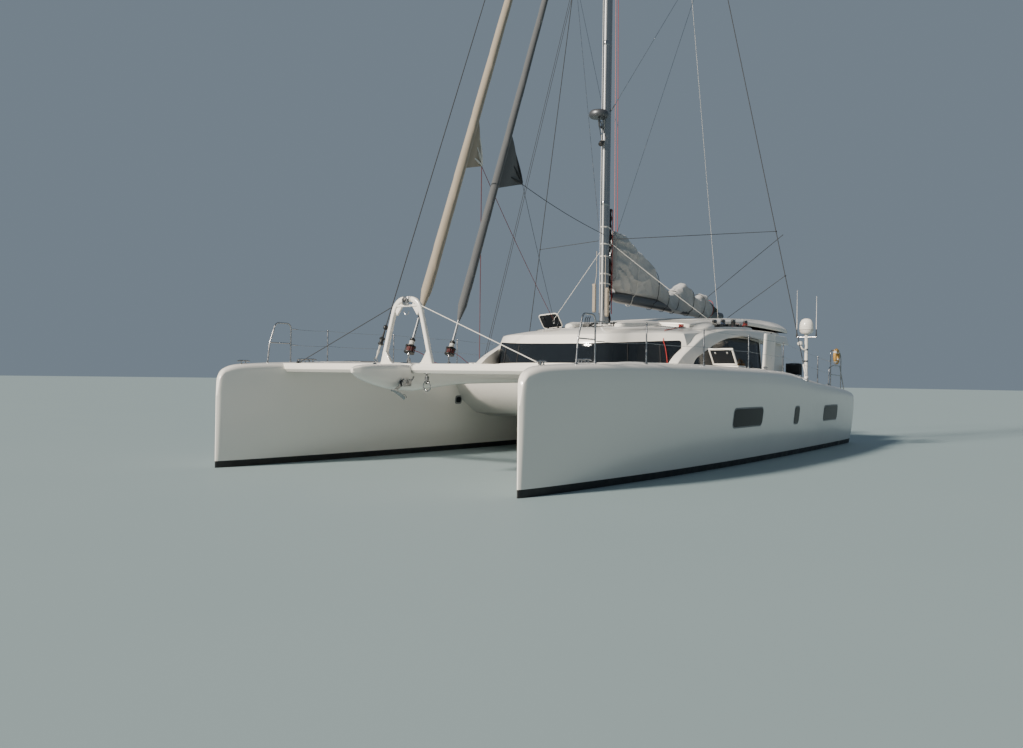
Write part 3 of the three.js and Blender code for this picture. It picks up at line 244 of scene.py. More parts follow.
ROPE_WHITE = rope("rope_white", (0.62, 0.61, 0.57))
ROPE_RED = rope("rope_red", (0.42, 0.035, 0.03))
ROPE_PINK = rope("rope_pink", (0.50, 0.17, 0.15))
ROPE_TAN = rope("rope_tan", (0.46, 0.40, 0.32), 0.2)
ROPE_WINE = rope("rope_wine", (0.16, 0.045, 0.045), 0.3)
ROPE_DARK = rope("rope_dark", (0.035, 0.037, 0.04), 0.3)
ROPE_BLUE = rope("rope_blue_fleck", (0.10, 0.16, 0.28), 0.3)

# Forms

FACING_X = Matrix(((0, 0, 1, 0), (1, 0, 0, 0), (0, 1, 0, 0), (0, 0, 0, 1)))
FACING_Y = Matrix(((1, 0, 0, 0), (0, 0, 1, 0), (0, 1, 0, 0), (0, 0, 0, 1)))


def around(count):
    """Evenly spaced angles of a full turn."""
    return np.linspace(0, 2 * math.pi, count + 1)[:-1]


def turns(count, shift=0):
    """The angle of each of this many even steps round, with its cosine and sine."""
    angles = [2 * math.pi * (k + shift) / count for k in range(count)]
    return [(turn, math.cos(turn), math.sin(turn)) for turn in angles]


def bulged(value, power):
    """A cosine or sine pushed out toward a square's side as the power falls."""
    return math.copysign(abs(value) ** power, value)


def mirrored(outline, sign):
    """An outline of (y, z) on the side with this sign, wound the same way on both."""
    return [(sign * y, z) for y, z in outline][::sign]


def square(x, y, half, grow=0.0):
    return [(x - half - grow, y - half - grow), (x + half + grow, y - half - grow),
            (x + half + grow, y + half + grow), (x - half - grow, y + half + grow)]


def through(rows):
    """A smooth function of the first column that passes through every row."""
    rows = sorted(rows)
    x = np.array([r[0] for r in rows], float)
    y = np.array([r[1:] for r in rows], float)
    step = np.diff(x)[:, None]
    slope = np.diff(y, axis=0) / step
    rate = np.zeros_like(y)
    rate[0], rate[-1] = slope[0], slope[-1]
    for i in range(1, len(x) - 1):
        a, b = slope[i - 1], slope[i]
        wa, wb = 2 * step[i] + step[i - 1], step[i] + 2 * step[i - 1]
        same = a * b > 0
        rate[i][same] = ((wa + wb) / (wa / np.where(same, a, 1) + wb / np.where(same, b, 1)))[same]

    def at(v):
        i = int(np.clip(np.searchsorted(x, v) - 1, 0, len(x) - 2))
        h = x[i + 1] - x[i]
        t = min(1, max(0, (v - x[i]) / h))
        return (y[i] * (1 + 2 * t) * (1 - t) ** 2 + rate[i] * h * t * (1 - t) ** 2
                + y[i + 1] * t * t * (3 - 2 * t) + rate[i + 1] * h * t * t * (t - 1))

    return at


def along(points, step):
    """A path that bends smoothly through the points, with a point about every step."""
    p = [Vector(q) for q in points]
    n = len(p)
    made = []
    for i in range(n - 1):
        b, c = p[i], p[i + 1]
        a = p[i - 1] if i else b * 2 - c
        d = p[i + 2] if i + 2 < n else c * 2 - b
        parts = max(1, round((c - b).length / step))
        for k in range(parts):
            t = k / parts
            made.append(0.5 * (2 * b + (c - a) * t + (2 * a - 5 * b + 4 * c - d) * t * t
                               + (3 * b - a - 3 * c + d) * t ** 3))
    made.append(p[-1])
    return made


def bent(points, radius, step=0.02, closed=False):
    """Straight runs joined by round bends of this radius."""
    p = [Vector(q) for q in points]
    n = len(p)
    made = [] if closed else [p[0]]
    for i in range(n) if closed else range(1, n - 1):
        a, b, c = p[i - 1], p[i], p[(i + 1) % n]
        before, after = (a - b), (c - b)
        turn = before.angle(after, math.pi)
        back = min(radius / max(1e-6, math.tan(turn / 2)), before.length * 0.49, after.length * 0.49)
        start, end = b + before.normalized() * back, b + after.normalized() * back
        parts = max(2, round(back * 2 / step))
        made += [start.lerp(b, k / parts).lerp(b.lerp(end, k / parts), k / parts) for k in range(parts + 1)]
    if not closed:
        made.append(p[-1])
    return made


def sagged(a, b, sag, parts=10):
    a, b = Vector(a), Vector(b)
    return [a.lerp(b, i / parts) - Vector((0, 0, 4 * sag * (i / parts) * (1 - i / parts)))
            for i in range(parts + 1)]


class Form:
    """Closed shapes gathered into one piece. Each keeps the material in use when it is added."""

    def __init__(self, finish):
        self.points, self.faces, self.paints, self.corners = [], [], [], []
        self.finishes = []
        self.use(finish)

    def use(self, finish):
        if finish not in self.finishes:
            self.finishes.append(finish)
        self.paint = self.finishes.index(finish)
        return self

    def add(self, points, faces, corners=None, matrix=None):
        start = len(self.points)
        self.points += [matrix @ Vector(p) if matrix else Vector(p) for p in points]
        turned = -1 if matrix and matrix.determinant() < 0 else 1
        self.faces += [[start + i for i in face][::turned] for face in faces]
        self.paints += [self.paint] * len(faces)
        self.corners += corners or [[(0, 0)] * len(face) for face in faces]
        return self

    def sweep(self, path, radius, sides=10, closed=False, flat=1.0, up=(0, 0, 1)):
        """A round bar along a path. The radius may be a list, and flat squeezes it along the path's side."""
        path = [Vector(p) for p in path]
        count = len(path)
        radii = radius if isinstance(radius, (list, tuple)) else [radius] * count
        tangents = []
        for i in range(count):
            before = path[i - 1] if closed or i else path[i]
            after = path[(i + 1) % count] if closed or i + 1 < count else path[i]
            tangents.append((after - before).normalized())
        guide = Vector(up)
        if abs(tangents[0].dot(guide)) > 0.95:
            guide = Vector((1, 0, 0)) if abs(tangents[0].x) < 0.9 else Vector((0, 1, 0))
        points, length = [], 0
        lengths = []
        for i, (p, t) in enumerate(zip(path, tangents)):
            guide = (guide - t * guide.dot(t)).normalized()
            side = t.cross(guide)
            for _, c, s in turns(sides):
                points.append(p + (guide * s + side * c * flat) * radii[i])
            length += (p - path[i - 1]).length if i else 0
            lengths.append(length)
        faces, corners = [], []
        for i in range(count if closed else count - 1):
            j = (i + 1) % count
            for k in range(sides):
                m = (k + 1) % sides
                faces.append([i * sides + k, i * sides + m, j * sides + m, j * sides + k])
                u, v = k / sides * 0.1, (k + 1) / sides * 0.1
                end = lengths[j] if j else length + 0.01
                corners.append([(u, lengths[i]), (v, lengths[i]), (v, end), (u, end)])
        if not closed:
            faces += [list(range(sides))[::-1], [(count - 1) * sides + k for k in range(sides)]]
            corners += [[(0, 0)] * sides] * 2
        return self.add(points, faces, corners)

    def skin(self, rings, ends=True):
        """A skin through closed rings of equal count, with both ends filled unless ends is False."""
        count = len(rings[0])
        points = [p for ring in rings for p in ring]
        faces = []
        for i in range(len(rings) - 1):
            for k in range(count):
                m = (k + 1) % count
                faces.append([i * count + k, i * count + m, (i + 1) * count + m, (i + 1) * count + k])
        if ends:
            for base, turned in ((0, True), ((len(rings) - 1) * count, False)):
                middle = sum((Vector(p) for p in points[base:base + count]), Vector()) / count
                points.append(middle)
                hub = len(points) - 1
                for k in range(count):
                    pair = [base + k, base + (k + 1) % count]
                    faces.append([hub] + (pair[::-1] if turned else pair))
        return self.add(points, faces)

    def lathe(self, profile, at, axis=(0, 0, 1), sides=28):
        """A turned shape from (radius, height) pairs, stood along the axis."""
        turn = Vector((0, 0, 1)).rotation_difference(Vector(axis)).to_matrix()
        rings = [[Vector(at) + turn @ Vector((r * c, r * s, h)) for _, c, s in turns(sides)]
                 for r, h in profile]
        return self.skin(rings)

    def block(self, low, high, edge=0.01, segments=3, matrix=None):
        """A box with rounded edges."""
        bm = bmesh.new()
        bmesh.ops.create_cube(bm, size=1)
        low, high = Vector(low), Vector(high)
        for v in bm.verts:
            v.co = (low + high) / 2 + Vector([v.co[i] * (high[i] - low[i]) for i in range(3)])
        edge = min(edge, min(high - low) * 0.49)
        bmesh.ops.bevel(bm, geom=bm.edges[:], offset=edge, segments=segments, profile=0.5, affect="EDGES")
        bm.verts.index_update()
        points = [v.co.copy() for v in bm.verts]
        faces = [[v.index for v in f.verts] for f in bm.faces]
        bm.free()
        return self.add(points, faces, matrix=matrix)

    def plate(self, outline, low, high, matrix=None, edge=0.0):
        """A flat outline of (x, y) pairs given a thickness along z."""
        bm = bmesh.new()
        face = bm.faces.new([bm.verts.new((x, y, low)) for x, y in outline])
        if face.normal.z > 0:
            face.normal_flip()
        top = bmesh.ops.extrude_face_region(bm, geom=[face])["geom"]
        for v in top:
            if isinstance(v, bmesh.types.BMVert):
                v.co.z = high
        bmesh.ops.recalc_face_normals(bm, faces=bm.faces)
        if edge:
            rim = [e for e in bm.edges if abs(e.verts[0].co.z - e.verts[1].co.z) < 1e-6]
            bmesh.ops.bevel(bm, geom=rim, offset=edge, segments=2, profile=0.5, affect="EDGES")
        bm.verts.index_update()
        points = [v.co.copy() for v in bm.verts]
        faces = [[v.index for v in f.verts] for f in bm.faces]
        bm.free()
        return self.add(points, faces, matrix=matrix)

    def mesh(self, name):
        made = bpy.data.meshes.new(name)
        made.from_pydata([tuple(p) for p in self.points], [], self.faces)
        uv = made.uv_layers.new(name="UVMap")
        flat = [c for corners in self.corners for pair in corners for c in pair]
        uv.data.foreach_set("uv", flat)
        for finish in self.finishes:
            made.materials.append(finish)
        made.polygons.foreach_set("material_index", self.paints)
        return made

    def thing(self, name):
        thing = bpy.data.objects.new(name, self.mesh(name))
        bpy.context.scene.collection.objects.link(thing)
        return thing

    def done(self, name, body="platform", replaces=(), slot=None, sharp=38):
        return settle(self.thing(name), body, replaces, sharp)


def settle(thing, body="platform", replaces=(), sharp=38):
    """Shades a piece and ties it to its body."""
    bm = bmesh.new()
    bm.from_mesh(thing.data)
    bmesh.ops.recalc_face_normals(bm, faces=bm.faces)
    bm.to_mesh(thing.data)
    bm.free()
    thing.data.shade_smooth()
    thing.data.set_sharp_from_angle(angle=math.radians(sharp))
    if body:
        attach(thing, body)
    if replaces:
        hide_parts(*replaces)
    return thing


def applied(thing):
    """The thing's mesh with its modifiers worked in."""
    depsgraph = bpy.context.evaluated_depsgraph_get()
    made = bpy.data.meshes.new_from_object(thing.evaluated_get(depsgraph), depsgraph=depsgraph)
    thing.modifiers.clear()
    thing.data = made
    return thing


def combine(thing, others, operation):
    """A boolean with each of the others in turn; the others are used up."""
    for other in others:
        modifier = thing.modifiers.new("boolean", "BOOLEAN")
        modifier.operation = operation
        modifier.solver = "MANIFOLD"
        modifier.material_mode = "TRANSFER"
        modifier.object = other
        applied(thing)
        bpy.data.objects.remove(other)
    return thing


def bevelled(thing, width, segments=2, limit=40):
    modifier = thing.modifiers.new("bevel", "BEVEL")
    modifier.width = width
    modifier.segments = segments
    modifier.limit_method = "ANGLE"
    modifier.angle_limit = math.radians(limit)
    modifier.use_clamp_overlap = True
    return applied(thing)


def softened(node, width, finish):
    """A copy of a CAD node with its split corners joined and its edges rounded, in place of the node."""
    source = frame["nodes"][node]
    thing = bpy.data.objects.new("soft_" + node, source.data.copy())
    bpy.context.scene.collection.objects.link(thing)
    bm = bmesh.new()
    bm.from_mesh(thing.data)
    bmesh.ops.remove_doubles(bm, verts=bm.verts, dist=2e-5)
    bmesh.ops.dissolve_limit(bm, angle_limit=math.radians(1), verts=bm.verts, edges=bm.edges)
    bm.to_mesh(thing.data)
    bm.free()
    thing.data.materials.clear()
    thing.data.materials.append(finish)
    bevelled(thing, width, limit=32)
    return settle(thing, source["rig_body"], (node,))


def tree_of(thing):
    return BVHTree.FromObject(thing, bpy.context.evaluated_depsgraph_get())


def rounded(outline, radius):
    """An outline with its corners rounded; the radius may be one for each corner."""
    count = len(outline)
    radii = radius if isinstance(radius, (list, tuple)) else [radius] * count
    made = []
    for i in range(count):
        b = Vector(outline[i])
        to_a, to_c = Vector(outline[i - 1]) - b, Vector(outline[(i + 1) % count]) - b
        back = min(radii[i], to_a.length * 0.48, to_c.length * 0.48)
        if back < 1e-4:
            made.append(tuple(b))
            continue
        start, end = b + to_a.normalized() * back, b + to_c.normalized() * back
        made += [tuple(start.lerp(b, t).lerp(b.lerp(end, t), t))
                 for t in (0, 0.2, 0.4, 0.6, 0.8, 1)]
    return made


def conform(form, outline, tree, look, lift=0.0, thick=0.003, step=0.08, begin=None):
    """A thin panel whose outline is laid on a surface: look is "-z" for (x, y) seen from above,
    "+y" or "-y" for (x, z) seen towards that side."""
    xs, ys = [p[0] for p in outline], [p[1] for p in outline]
    edge = []
    for i, p in enumerate(outline):
        a, b = Vector(p), Vector(outline[(i + 1) % len(outline)])
        parts = max(1, math.ceil((b - a).length / step))
        edge += [a.lerp(b, k / parts) for k in range(parts)]
    count = len(edge)
    inner = []
    for i in range(int((max(xs) - min(xs)) / step) + 1):
        for j in range(int((max(ys) - min(ys)) / step) + 1):
            inner.append(Vector((min(xs) + (i + 0.5) * step, min(ys) + (j + 0.5) * step)))
    verts, _, faces, *_ = delaunay_2d_cdt(edge + inner, [], [list(range(count))], 1, 1e-6)
    direction = {"-z": Vector((0, 0, -1)), "+y": Vector((0, 1, 0)), "-y": Vector((0, -1, 0))}[look]
    found = []
    for v in verts:
        start = Vector((v.x, v.y, 6)) if look == "-z" else Vector((v.x, -6 * direction.y, v.y))
        if begin is not None:
            start.y = begin
        place, normal, *_ = tree.ray_cast(start, direction)
        if place is None:
            return form
        if normal.dot(direction) > 0:
            normal = -normal
        found.append((place, normal))
    seen = {}
    for f in faces:
        for a, b in zip(f, f[1:] + f[:1]):
            key = (min(a, b), max(a, b))
            seen[key] = seen.get(key, 0) + 1
    size = len(verts)
    points = [p + n * (lift + thick) for p, n in found] + [p + n * lift for p, n in found]
    made = [list(f) for f in faces] + [[i + size for i in reversed(f)] for f in faces]
    for f in faces:
        for a, b in zip(f, f[1:] + f[:1]):
            if seen[(min(a, b), max(a, b))] == 1:
                made.append([b, a, a + size, b + size])
    return form.add(points, made)


# Hulls

HULL_Y = 3.0
STATIONS = [
    # x, half deck, half water, keel, sheer, gunwale radius
    [7.550, 0.014, 0.012, -0.240, 1.200, 0.012],
    [7.515, 0.044, 0.030, -0.280, 1.500, 0.040],
    [7.400, 0.084, 0.052, -0.330, 1.650, 0.074],
    [7.150, 0.150, 0.092, -0.390, 1.715, 0.090],
    [6.700, 0.245, 0.148, -0.450, 1.742, 0.096],
    [6.100, 0.352, 0.210, -0.505, 1.765, 0.100],
    [5.300, 0.462, 0.288, -0.555, 1.785, 0.110],
    [4.200, 0.575, 0.380, -0.600, 1.805, 0.130],
    [2.800, 0.668, 0.462, -0.628, 1.812, 0.150],
    [1.200, 0.722, 0.524, -0.640, 1.808, 0.170],
    [-0.400, 0.742, 0.556, -0.630, 1.795, 0.180],
    [-1.500, 0.744, 0.566, -0.606, 1.768, 0.185],
    [-2.300, 0.742, 0.568, -0.578, 1.722, 0.185],
    [-3.100, 0.738, 0.566, -0.540, 1.640, 0.180],
    [-4.000, 0.728, 0.560, -0.486, 1.560, 0.160],
    [-5.200, 0.704, 0.544, -0.386, 1.485, 0.140],
    [-6.300, 0.668, 0.520, -0.258, 1.412, 0.120],
    [-7.100, 0.628, 0.494, -0.128, 1.340, 0.110],
    [-7.400, 0.604, 0.478, -0.070, 1.290, 0.110],
    [-7.500, 0.586, 0.468, -0.046, 1.180, 0.100],
]
hull_at = through(STATIONS)
BOOT_TOP = 0.11
DECK_TOP = 1.76
BOARD = {"x": -2.35, "top": 2.60, "rake": 8}


def half_section(x):
    """Half outline of the hull from the keel to the deck's middle, as (y, z)."""
    deck, water, keel, sheer, radius = hull_at(x)
    half = []
    for i in range(15):
        turn = i / 14 * math.pi / 2
        half.append((water * math.sin(turn) ** 0.85, keel * math.cos(turn)))
    shoulder = sheer - radius
    for i in range(1, 9):
        t = i / 9
        half.append((water + (deck - water) * (1.88 * t - 0.88 * t * t), shoulder * t))
    for i in range(9):
        turn = i / 8 * math.pi / 2
        half.append((deck - radius + radius * math.cos(turn), shoulder + radius * math.sin(turn)))
    for i in range(1, 7):
        share = 1 - i / 6
        half.append(((deck - radius) * share, sheer + deck * 0.05 * (1 - share * share)))
    return half


def deck_z(x, out):
    """Height of the deck at a distance out from the hull's own centreline."""
    deck, _, _, sheer, radius = hull_at(x)
    over = abs(out) - (deck - radius)
    if over > 0:
        return sheer - radius + math.sqrt(max(0, radius ** 2 - over ** 2))
    return sheer + deck * 0.05 * (1 - (out / (deck - radius)) ** 2)


def hull_form():
    xs = [*np.arange(-7.5, -7.0, 0.05), *np.arange(-7.0, 6.0, 0.125), *np.arange(6.0, 7.4, 0.07),
          *np.arange(7.4, 7.545, 0.0125), 7.55]
    rings = []
    for x in xs:
        half = half_section(x)
        ring = half + [(-y, z) for y, z in half[-2:0:-1]]
        rings.append([(x, y, z) for y, z in ring])
    rings.append([(7.556, y * 0.5, z) for x, y, z in rings[-1]])
    return Form(GELCOAT).skin(rings)


def board_ring(z, grow=0.0):
    """The daggerboard's outline at a height, raked aft going up."""
    middle = BOARD["x"] - (z - DECK_TOP) * math.tan(math.radians(BOARD["rake"]))
    ring = []
    for i in range(36):
        turn = i / 36 * 2 * math.pi
        reach = math.sin(turn) * (1 + 0.25 * math.cos(turn))
        ring.append((middle + math.cos(turn) * (0.36 + grow), reach * (0.06 + grow), z))
    return ring


STEPS_AFT = [(-7.06, 0.30), (-6.67, 0.64), (-6.28, 0.98)]
HATCH = {"x": 0.22, "long": 0.42, "wide": 0.50, "open": 132, "hinge": 0.0125}

hulls = {}
for side, sign in SIDES:
    hull = hull_form().thing("hull_skin_" + side)
    cutters = [Form(GELCOAT).block((-8, -0.4, tread), (front, 0.4, 2.4), 0.035).thing("cut")
               for front, tread in STEPS_AFT]
    top = deck_z(HATCH["x"], 0)
    well = Form(GELCOAT).block((-0.17, -0.22, top - 0.52), (0.19, 0.22, top + 0.3), 0.02).thing("cut")
    cutters.append(well)
    combine(hull, cutters, "DIFFERENCE")
    hull.data.transform(Matrix.Translation((0, sign * HULL_Y, 0)))
    bm = bmesh.new()
    bm.from_mesh(hull.data)
    bmesh.ops.bisect_plane(bm, geom=bm.verts[:] + bm.edges[:] + bm.faces[:], plane_co=(0, 0, BOOT_TOP),
                           plane_no=(0, 0, 1))
    bm.to_mesh(hull.data)
    bm.free()
    hull.data.materials.append(ANTIFOUL)
    for polygon in hull.data.polygons:
        if polygon.center.z < BOOT_TOP:
            polygon.material_index = 1
    settle(hull, "platform", ("hull_" + side,), sharp=32)
    hulls[side] = tree_of(hull)

# Coachroof

FIT = 0.0003
HOUSE = {"front": 1.38, "corner": 0.42, "half": 2.33, "aft": -5.60, "wall": 0.06}
ROOF = through([[1.5, 2.38], [0.95, 2.56], [0.4, 2.66], [-0.35, 2.715], [-1.2, 2.79], [-2.2, 2.87],
                [-3.4, 2.925],
                [-4.6, 2.95], [-5.6, 2.962]])


def roof_z(x, y):
    return float(ROOF(x)[0]) - 0.175 * (abs(y) / 2.25) ** 2


def house_outline(inset):
    half = HOUSE["half"] - inset
    points = []
    for i in range(61):
        y = half * math.sin((i / 60 - 0.5) * math.pi)
        bow = 1 - min(1, abs(y) / half) ** 2.4
        x = HOUSE["corner"] - inset * 0.4 + (HOUSE["front"] - HOUSE["corner"] - inset * 0.6) * bow
        points.append((x, y))
    sides = [x for x in np.linspace(0.25, HOUSE["aft"], 44)]
    points += [(x, half) for x in sides]
    points += [(HOUSE["aft"], y) for y in np.linspace(half, -half, 24)[1:-1]]
    points += [(x, -half) for x in sides[::-1]]
    return points


HOUSE_LEVELS = through([[0, 0], [0.45, 0.045], [0.8, 0.09], [0.95, 0.13]])


def house_form(inset, aft_by=0.0):
    floor = DECK_TOP + FIT - (0.05 if inset else 0)
    rings = []

    def put(outline, height):
        rings.append([(x - aft_by if x == HOUSE["aft"] else x, y, height(x, y)) for x, y in outline])

    for share in (0, 0.15, 0.3, 0.45, 0.6, 0.7, 0.8, 0.88, 0.95):
        put(house_outline(inset + float(HOUSE_LEVELS(share)[0])),
            lambda x, y: floor + (roof_z(x, y) - inset - 0.03 - floor) * share)
    put(house_outline(inset + 0.155), lambda x, y: floor + (roof_z(x, y) - inset - 0.006 - floor) * 0.99)
    outline = house_outline(inset + 0.2)
    for share in (1, 0.9, 0.8, 0.7, 0.6, 0.5, 0.4, 0.3, 0.2, 0.1):
        put([((x - HOUSE["aft"]) * (1 - (1 - share) * 0.45) + HOUSE["aft"], y * share) for x, y in outline],
            lambda x, y: roof_z(x, y) - inset)
    return Form(GELCOAT).skin(rings)


def prism(outline, low, high, facing):
    """An outline as a closed prism: FACING_X takes (y, z) and FACING_Y takes (x, z)."""
    return Form(GELCOAT).plate(outline, low, high, matrix=facing)


BAND = [(-2.20, 1.88), (2.20, 1.88), (2.17, 2.355), (1.29, 2.30), (0, 2.275), (-1.29, 2.30), (-2.17, 2.355)]
BAND = rounded(BAND, [0.04, 0.04, 0.06, 0.9, 0.9, 0.9, 0.06])
ARCH_TOP = through([[0.375, 1.96], [0.0, 2.10], [-0.51, 2.25], [-1.0, 2.365], [-1.49, 2.45], [-2.0, 2.50],
                    [-2.54, 2.53], [-3.1, 2.53], [-3.56, 2.512], [-3.91, 2.488]])
ARCH = [(0.40, 1.86)] + [(x, float(ARCH_TOP(x)[0])) for x in np.linspace(0.375, -3.91, 42)] + [(-3.91, 1.86)]
BROW = through([
    # outer x drives the row: outer x, outer z, inner x, inner z
    [1.280, 1.780, 0.560, 1.780],
    [0.940, 2.010, 0.350, 1.985],
    [0.410, 2.240, -0.060, 2.125],
    [-0.360, 2.530, -0.530, 2.275],
    [-0.900, 2.615, -0.990, 2.390],
    [-1.480, 2.680, -1.480, 2.475],
    [-2.840, 2.722, -2.540, 2.555],
    [-4.200, 2.722, -3.910, 2.515],
    [-5.590, 2.712, -5.590, 2.480],
])


def brow_form(sign):
    rings = []
    for x in [*np.linspace(1.28, -1.5, 40), *np.linspace(-1.6, -5.59, 28)]:
        outer_z, inner_x, inner_z = (float(v) for v in BROW(x))
        corners = [(x, 2.20, outer_z), (x, 2.385, outer_z - 0.015), (inner_x, 2.45, inner_z),
                   (inner_x, 2.27, inner_z)]
        corners = [Vector(c) for c in corners]
        ring = []
        for i, b in enumerate(corners):
            a, c = corners[i - 1], corners[(i + 1) % 4]
            back = 0.035 if i in (1, 2) else 0.012
            start, end = b + (a - b).normalized() * back, b + (c - b).normalized() * back
            ring += [start.lerp(b, t).lerp(b.lerp(end, t), t) for t in (0, 0.33, 0.67, 1)]
        rings.append([(p.x, p.y * sign, p.z) for p in ring])
    return Form(GELCOAT).skin(rings)


def band_cutter(low_gap=0.0):
    shape = [(y * (1 - low_gap), z) for y, z in BAND]
    return prism(shape, 0.2, 2.1, FACING_X)


house = house_form(0).thing("coachroof_skin")
AFT = HOUSE["aft"] - 0.5
cutters = [
    house_form(HOUSE["wall"], 0.4).thing("cut"),
    band_cutter().thing("cut"),
    Form(GELCOAT).block((AFT, -1.90, 1.7), (-3.81, 1.90, 2.6), 0.04).thing("cut"),
    Form(GELCOAT).block((AFT, -1.98, 1.7), (-3.81, 1.98, 2.48), 0.04).thing("cut"),
]
for side, sign in SIDES:
    near, far = sorted((sign * 1.95, sign * 2.85))
    cutters.append(prism(ARCH, near, far, FACING_Y).thing("cut"))
    near, far = sorted((sign * 2.0, sign * 2.5))
    cutters.append(Form(GELCOAT).block((-4.76, near, 1.83), (-3.98, far, 2.46), 0.06).thing("cut"))
combine(house, cutters, "DIFFERENCE")
combine(house, [brow_form(sign).thing("brow") for _, sign in SIDES], "UNION")
settle(house, "platform", ("coachroof",), sharp=30)
roof = tree_of(house)


def pane_of(name, node, cutter):
    pane = house_form(0.012).thing(name)
    combine(pane, [house_form(0.024, 0.4).thing("cut")], "DIFFERENCE")
    combine(pane, [cutter.thing("cut")], "INTERSECT")
    pane.data.materials.clear()
    pane.data.materials.append(GLASS)
    return settle(pane, "platform", (node,), sharp=30)


pane_of("pane_front", "window_front", band_cutter(0.0004))
for side, sign in SIDES:
    near, far = sorted((sign * 1.95, sign * 2.85))
    pane_of("pane_arch_" + side, "window_arch_" + side, prism(ARCH, near, far, FACING_Y))

# Hardtop

HARDTOP = through([
    # x, half width, drop at the edge, rise over the roof, sharpness of the bend
    [-1.50, 1.50, 0.060, -0.045, 3],
    [-1.90, 1.55, 0.066, -0.020, 3],
    [-2.30, 1.60, 0.072, 0.005, 3],
    [-2.70, 1.74, 0.090, 0.025, 3],
    [-3.30, 1.85, 0.110, 0.052, 3],
    [-4.00, 1.88, 0.125, 0.085, 3],
    [-5.00, 2.04, 0.190, 0.108, 5],
    [-5.50, 2.19, 0.235, 0.112, 7],
    [-6.00, 2.27, 0.265, 0.100, 8],
])
HARDTOP_THICK = 0.092


def hardtop_form():
    rings = []
    shares = [math.sin(t * math.pi / 2) for t in np.linspace(-1, 1, 33)]
    for x in np.linspace(-1.5, -6.0, 46):
        half, drop, rise, bend = (float(v) for v in HARDTOP(x))
        middle = float(ROOF(x)[0]) + rise
        low, top = [], []
        for share in shares:
            y = share * half
            free = middle - drop * abs(share) ** bend
            z = free if x < HOUSE["aft"] else max(free, roof_z(x, y) + 0.0014)
            low.append((x, y, z))
            top.append((x, y, max(free + HARDTOP_THICK, z + 0.014)))
        edge = [(x, half + 0.012, (low[-1][2] + top[-1][2]) / 2)]
        back = [(x, -half - 0.012, (low[0][2] + top[0][2]) / 2)]
        rings.append(top + edge + low[::-1] + back)
    return Form(GELCOAT).skin(rings)


hardtop = hardtop_form().thing("hardtop_skin")
bevelled(hardtop, 0.012, 2, 50)
hardtop.data.materials.append(SHADE_GREY)
# Painted shade: faces turned downward take the darker grey, for the shade under the hardtop.
for polygon in hardtop.data.polygons:
    if polygon.normal.z < -0.6:
        polygon.material_index = 1
settle(hardtop, "platform", ("hardtop",), sharp=32)
hard = tree_of(hardtop)

# Mast, boom and stacked mainsail

MAST = {"x": -0.35, "foot": 2.72, "top": 20.30, "half": (0.135, 0.088), "hounds": 17.65}
SPREADER = {"z": 11.3, "tip": (-1.95, 1.78)}
GOOSENECK = Vector((-0.56, 0, 3.40))


def mast_ring(z, size=1.0, sides=32):
    """An aerofoil-like section, blunt ahead and narrower aft, where the sail's track runs."""
    share = max(0, min(1, (z - 15.69) / (MAST["top"] - 15.69)))
    size *= 1 - 0.38 * share
    ring = []
    for _, c, s in turns(sides):
        squeeze = 1 - 0.12 * (1 - c) / 2
        ring.append((MAST["x"] + MAST["half"][0] * size * c, MAST["half"][1] * size * squeeze * s, z))
    return ring


mast = Form(ALLOY)
mast.skin([mast_ring(z) for z in [2.74, *np.arange(3.0, 20.2, 0.6), 20.26]])
mast.skin([mast_ring(z, 1.06) for z in (2.73, 2.88, 2.90)])
mast.sweep([(MAST["x"] - 0.133, 0, z) for z in (3.75, 19.9)], 0.018, sides=8, flat=0.7)
mast.use(GELCOAT).skin([[(MAST["x"] + 0.215 * math.cos(t) * g, 0.165 * math.sin(t) * g, z)
                         for t in around(32)] for z, g in ((2.63, 1.08), (2.735, 1), (2.75, 0.94))])
mast.use(ALLOY).block((MAST["x"] - 0.23, -0.06, 20.25), (MAST["x"] + 0.15, 0.06, 20.30), 0.012)
for sign in (1, -1):
    root = Vector((MAST["x"] - 0.06, sign * 0.06, SPREADER["z"]))
    tip = Vector((SPREADER["tip"][0], sign * SPREADER["tip"][1], SPREADER["z"] + 0.09))
    mast.sweep([root.lerp(tip, t) for t in np.linspace(0, 1, 9)],
               [0.075 - 0.045 * t for t in np.linspace(0, 1, 9)],
               sides=14, flat=0.32, up=(1, 0, 0))
    mast.use(BLACK).block(tip - Vector((0.045, 0.03, 0.03)), tip + Vector((0.035, 0.03, 0.03)),
                          0.012).use(ALLOY)
mast.done("mast_skin", "platform", ("mast",), "alloy", sharp=40)

boom_rows = through([[0.07, 0.060, 0.070], [0.4, 0.095, 0.120], [3.5, 0.110, 0.130], [6.7, 0.080, 0.095]])
boom = Form(ALLOY_DARK)
rings = []
for aft in np.linspace(0.07, 6.7, 34):
    wide, high = (float(v) for v in boom_rows(aft))
    rings.append([GOOSENECK + Vector((-aft, wide * bulged(c, 0.75),
                                      high * bulged(s, 0.85) - 0.02 * aft / 6.7))
                  for _, c, s in turns(28)])
boom.skin(rings)
boom.use(SHADED_STEEL).lathe([(0.034, -0.1), (0.034, 0.1)], GOOSENECK, sides=20)
boom.use(ALLOY_DARK).sweep([GOOSENECK, GOOSENECK - Vector((0.09, 0, 0))], 0.03, sides=14)
boom.use(BLACK).lathe([(0.082, 0), (0.088, 0.01), (0.082, 0.03), (0.03, 0.045)],
                      GOOSENECK + Vector((-6.69, 0, -0.02)),
                      (-1, 0, 0), 24)
boom.done("boom_skin", "boom_rig", ("boom",), "alloy", sharp=40)

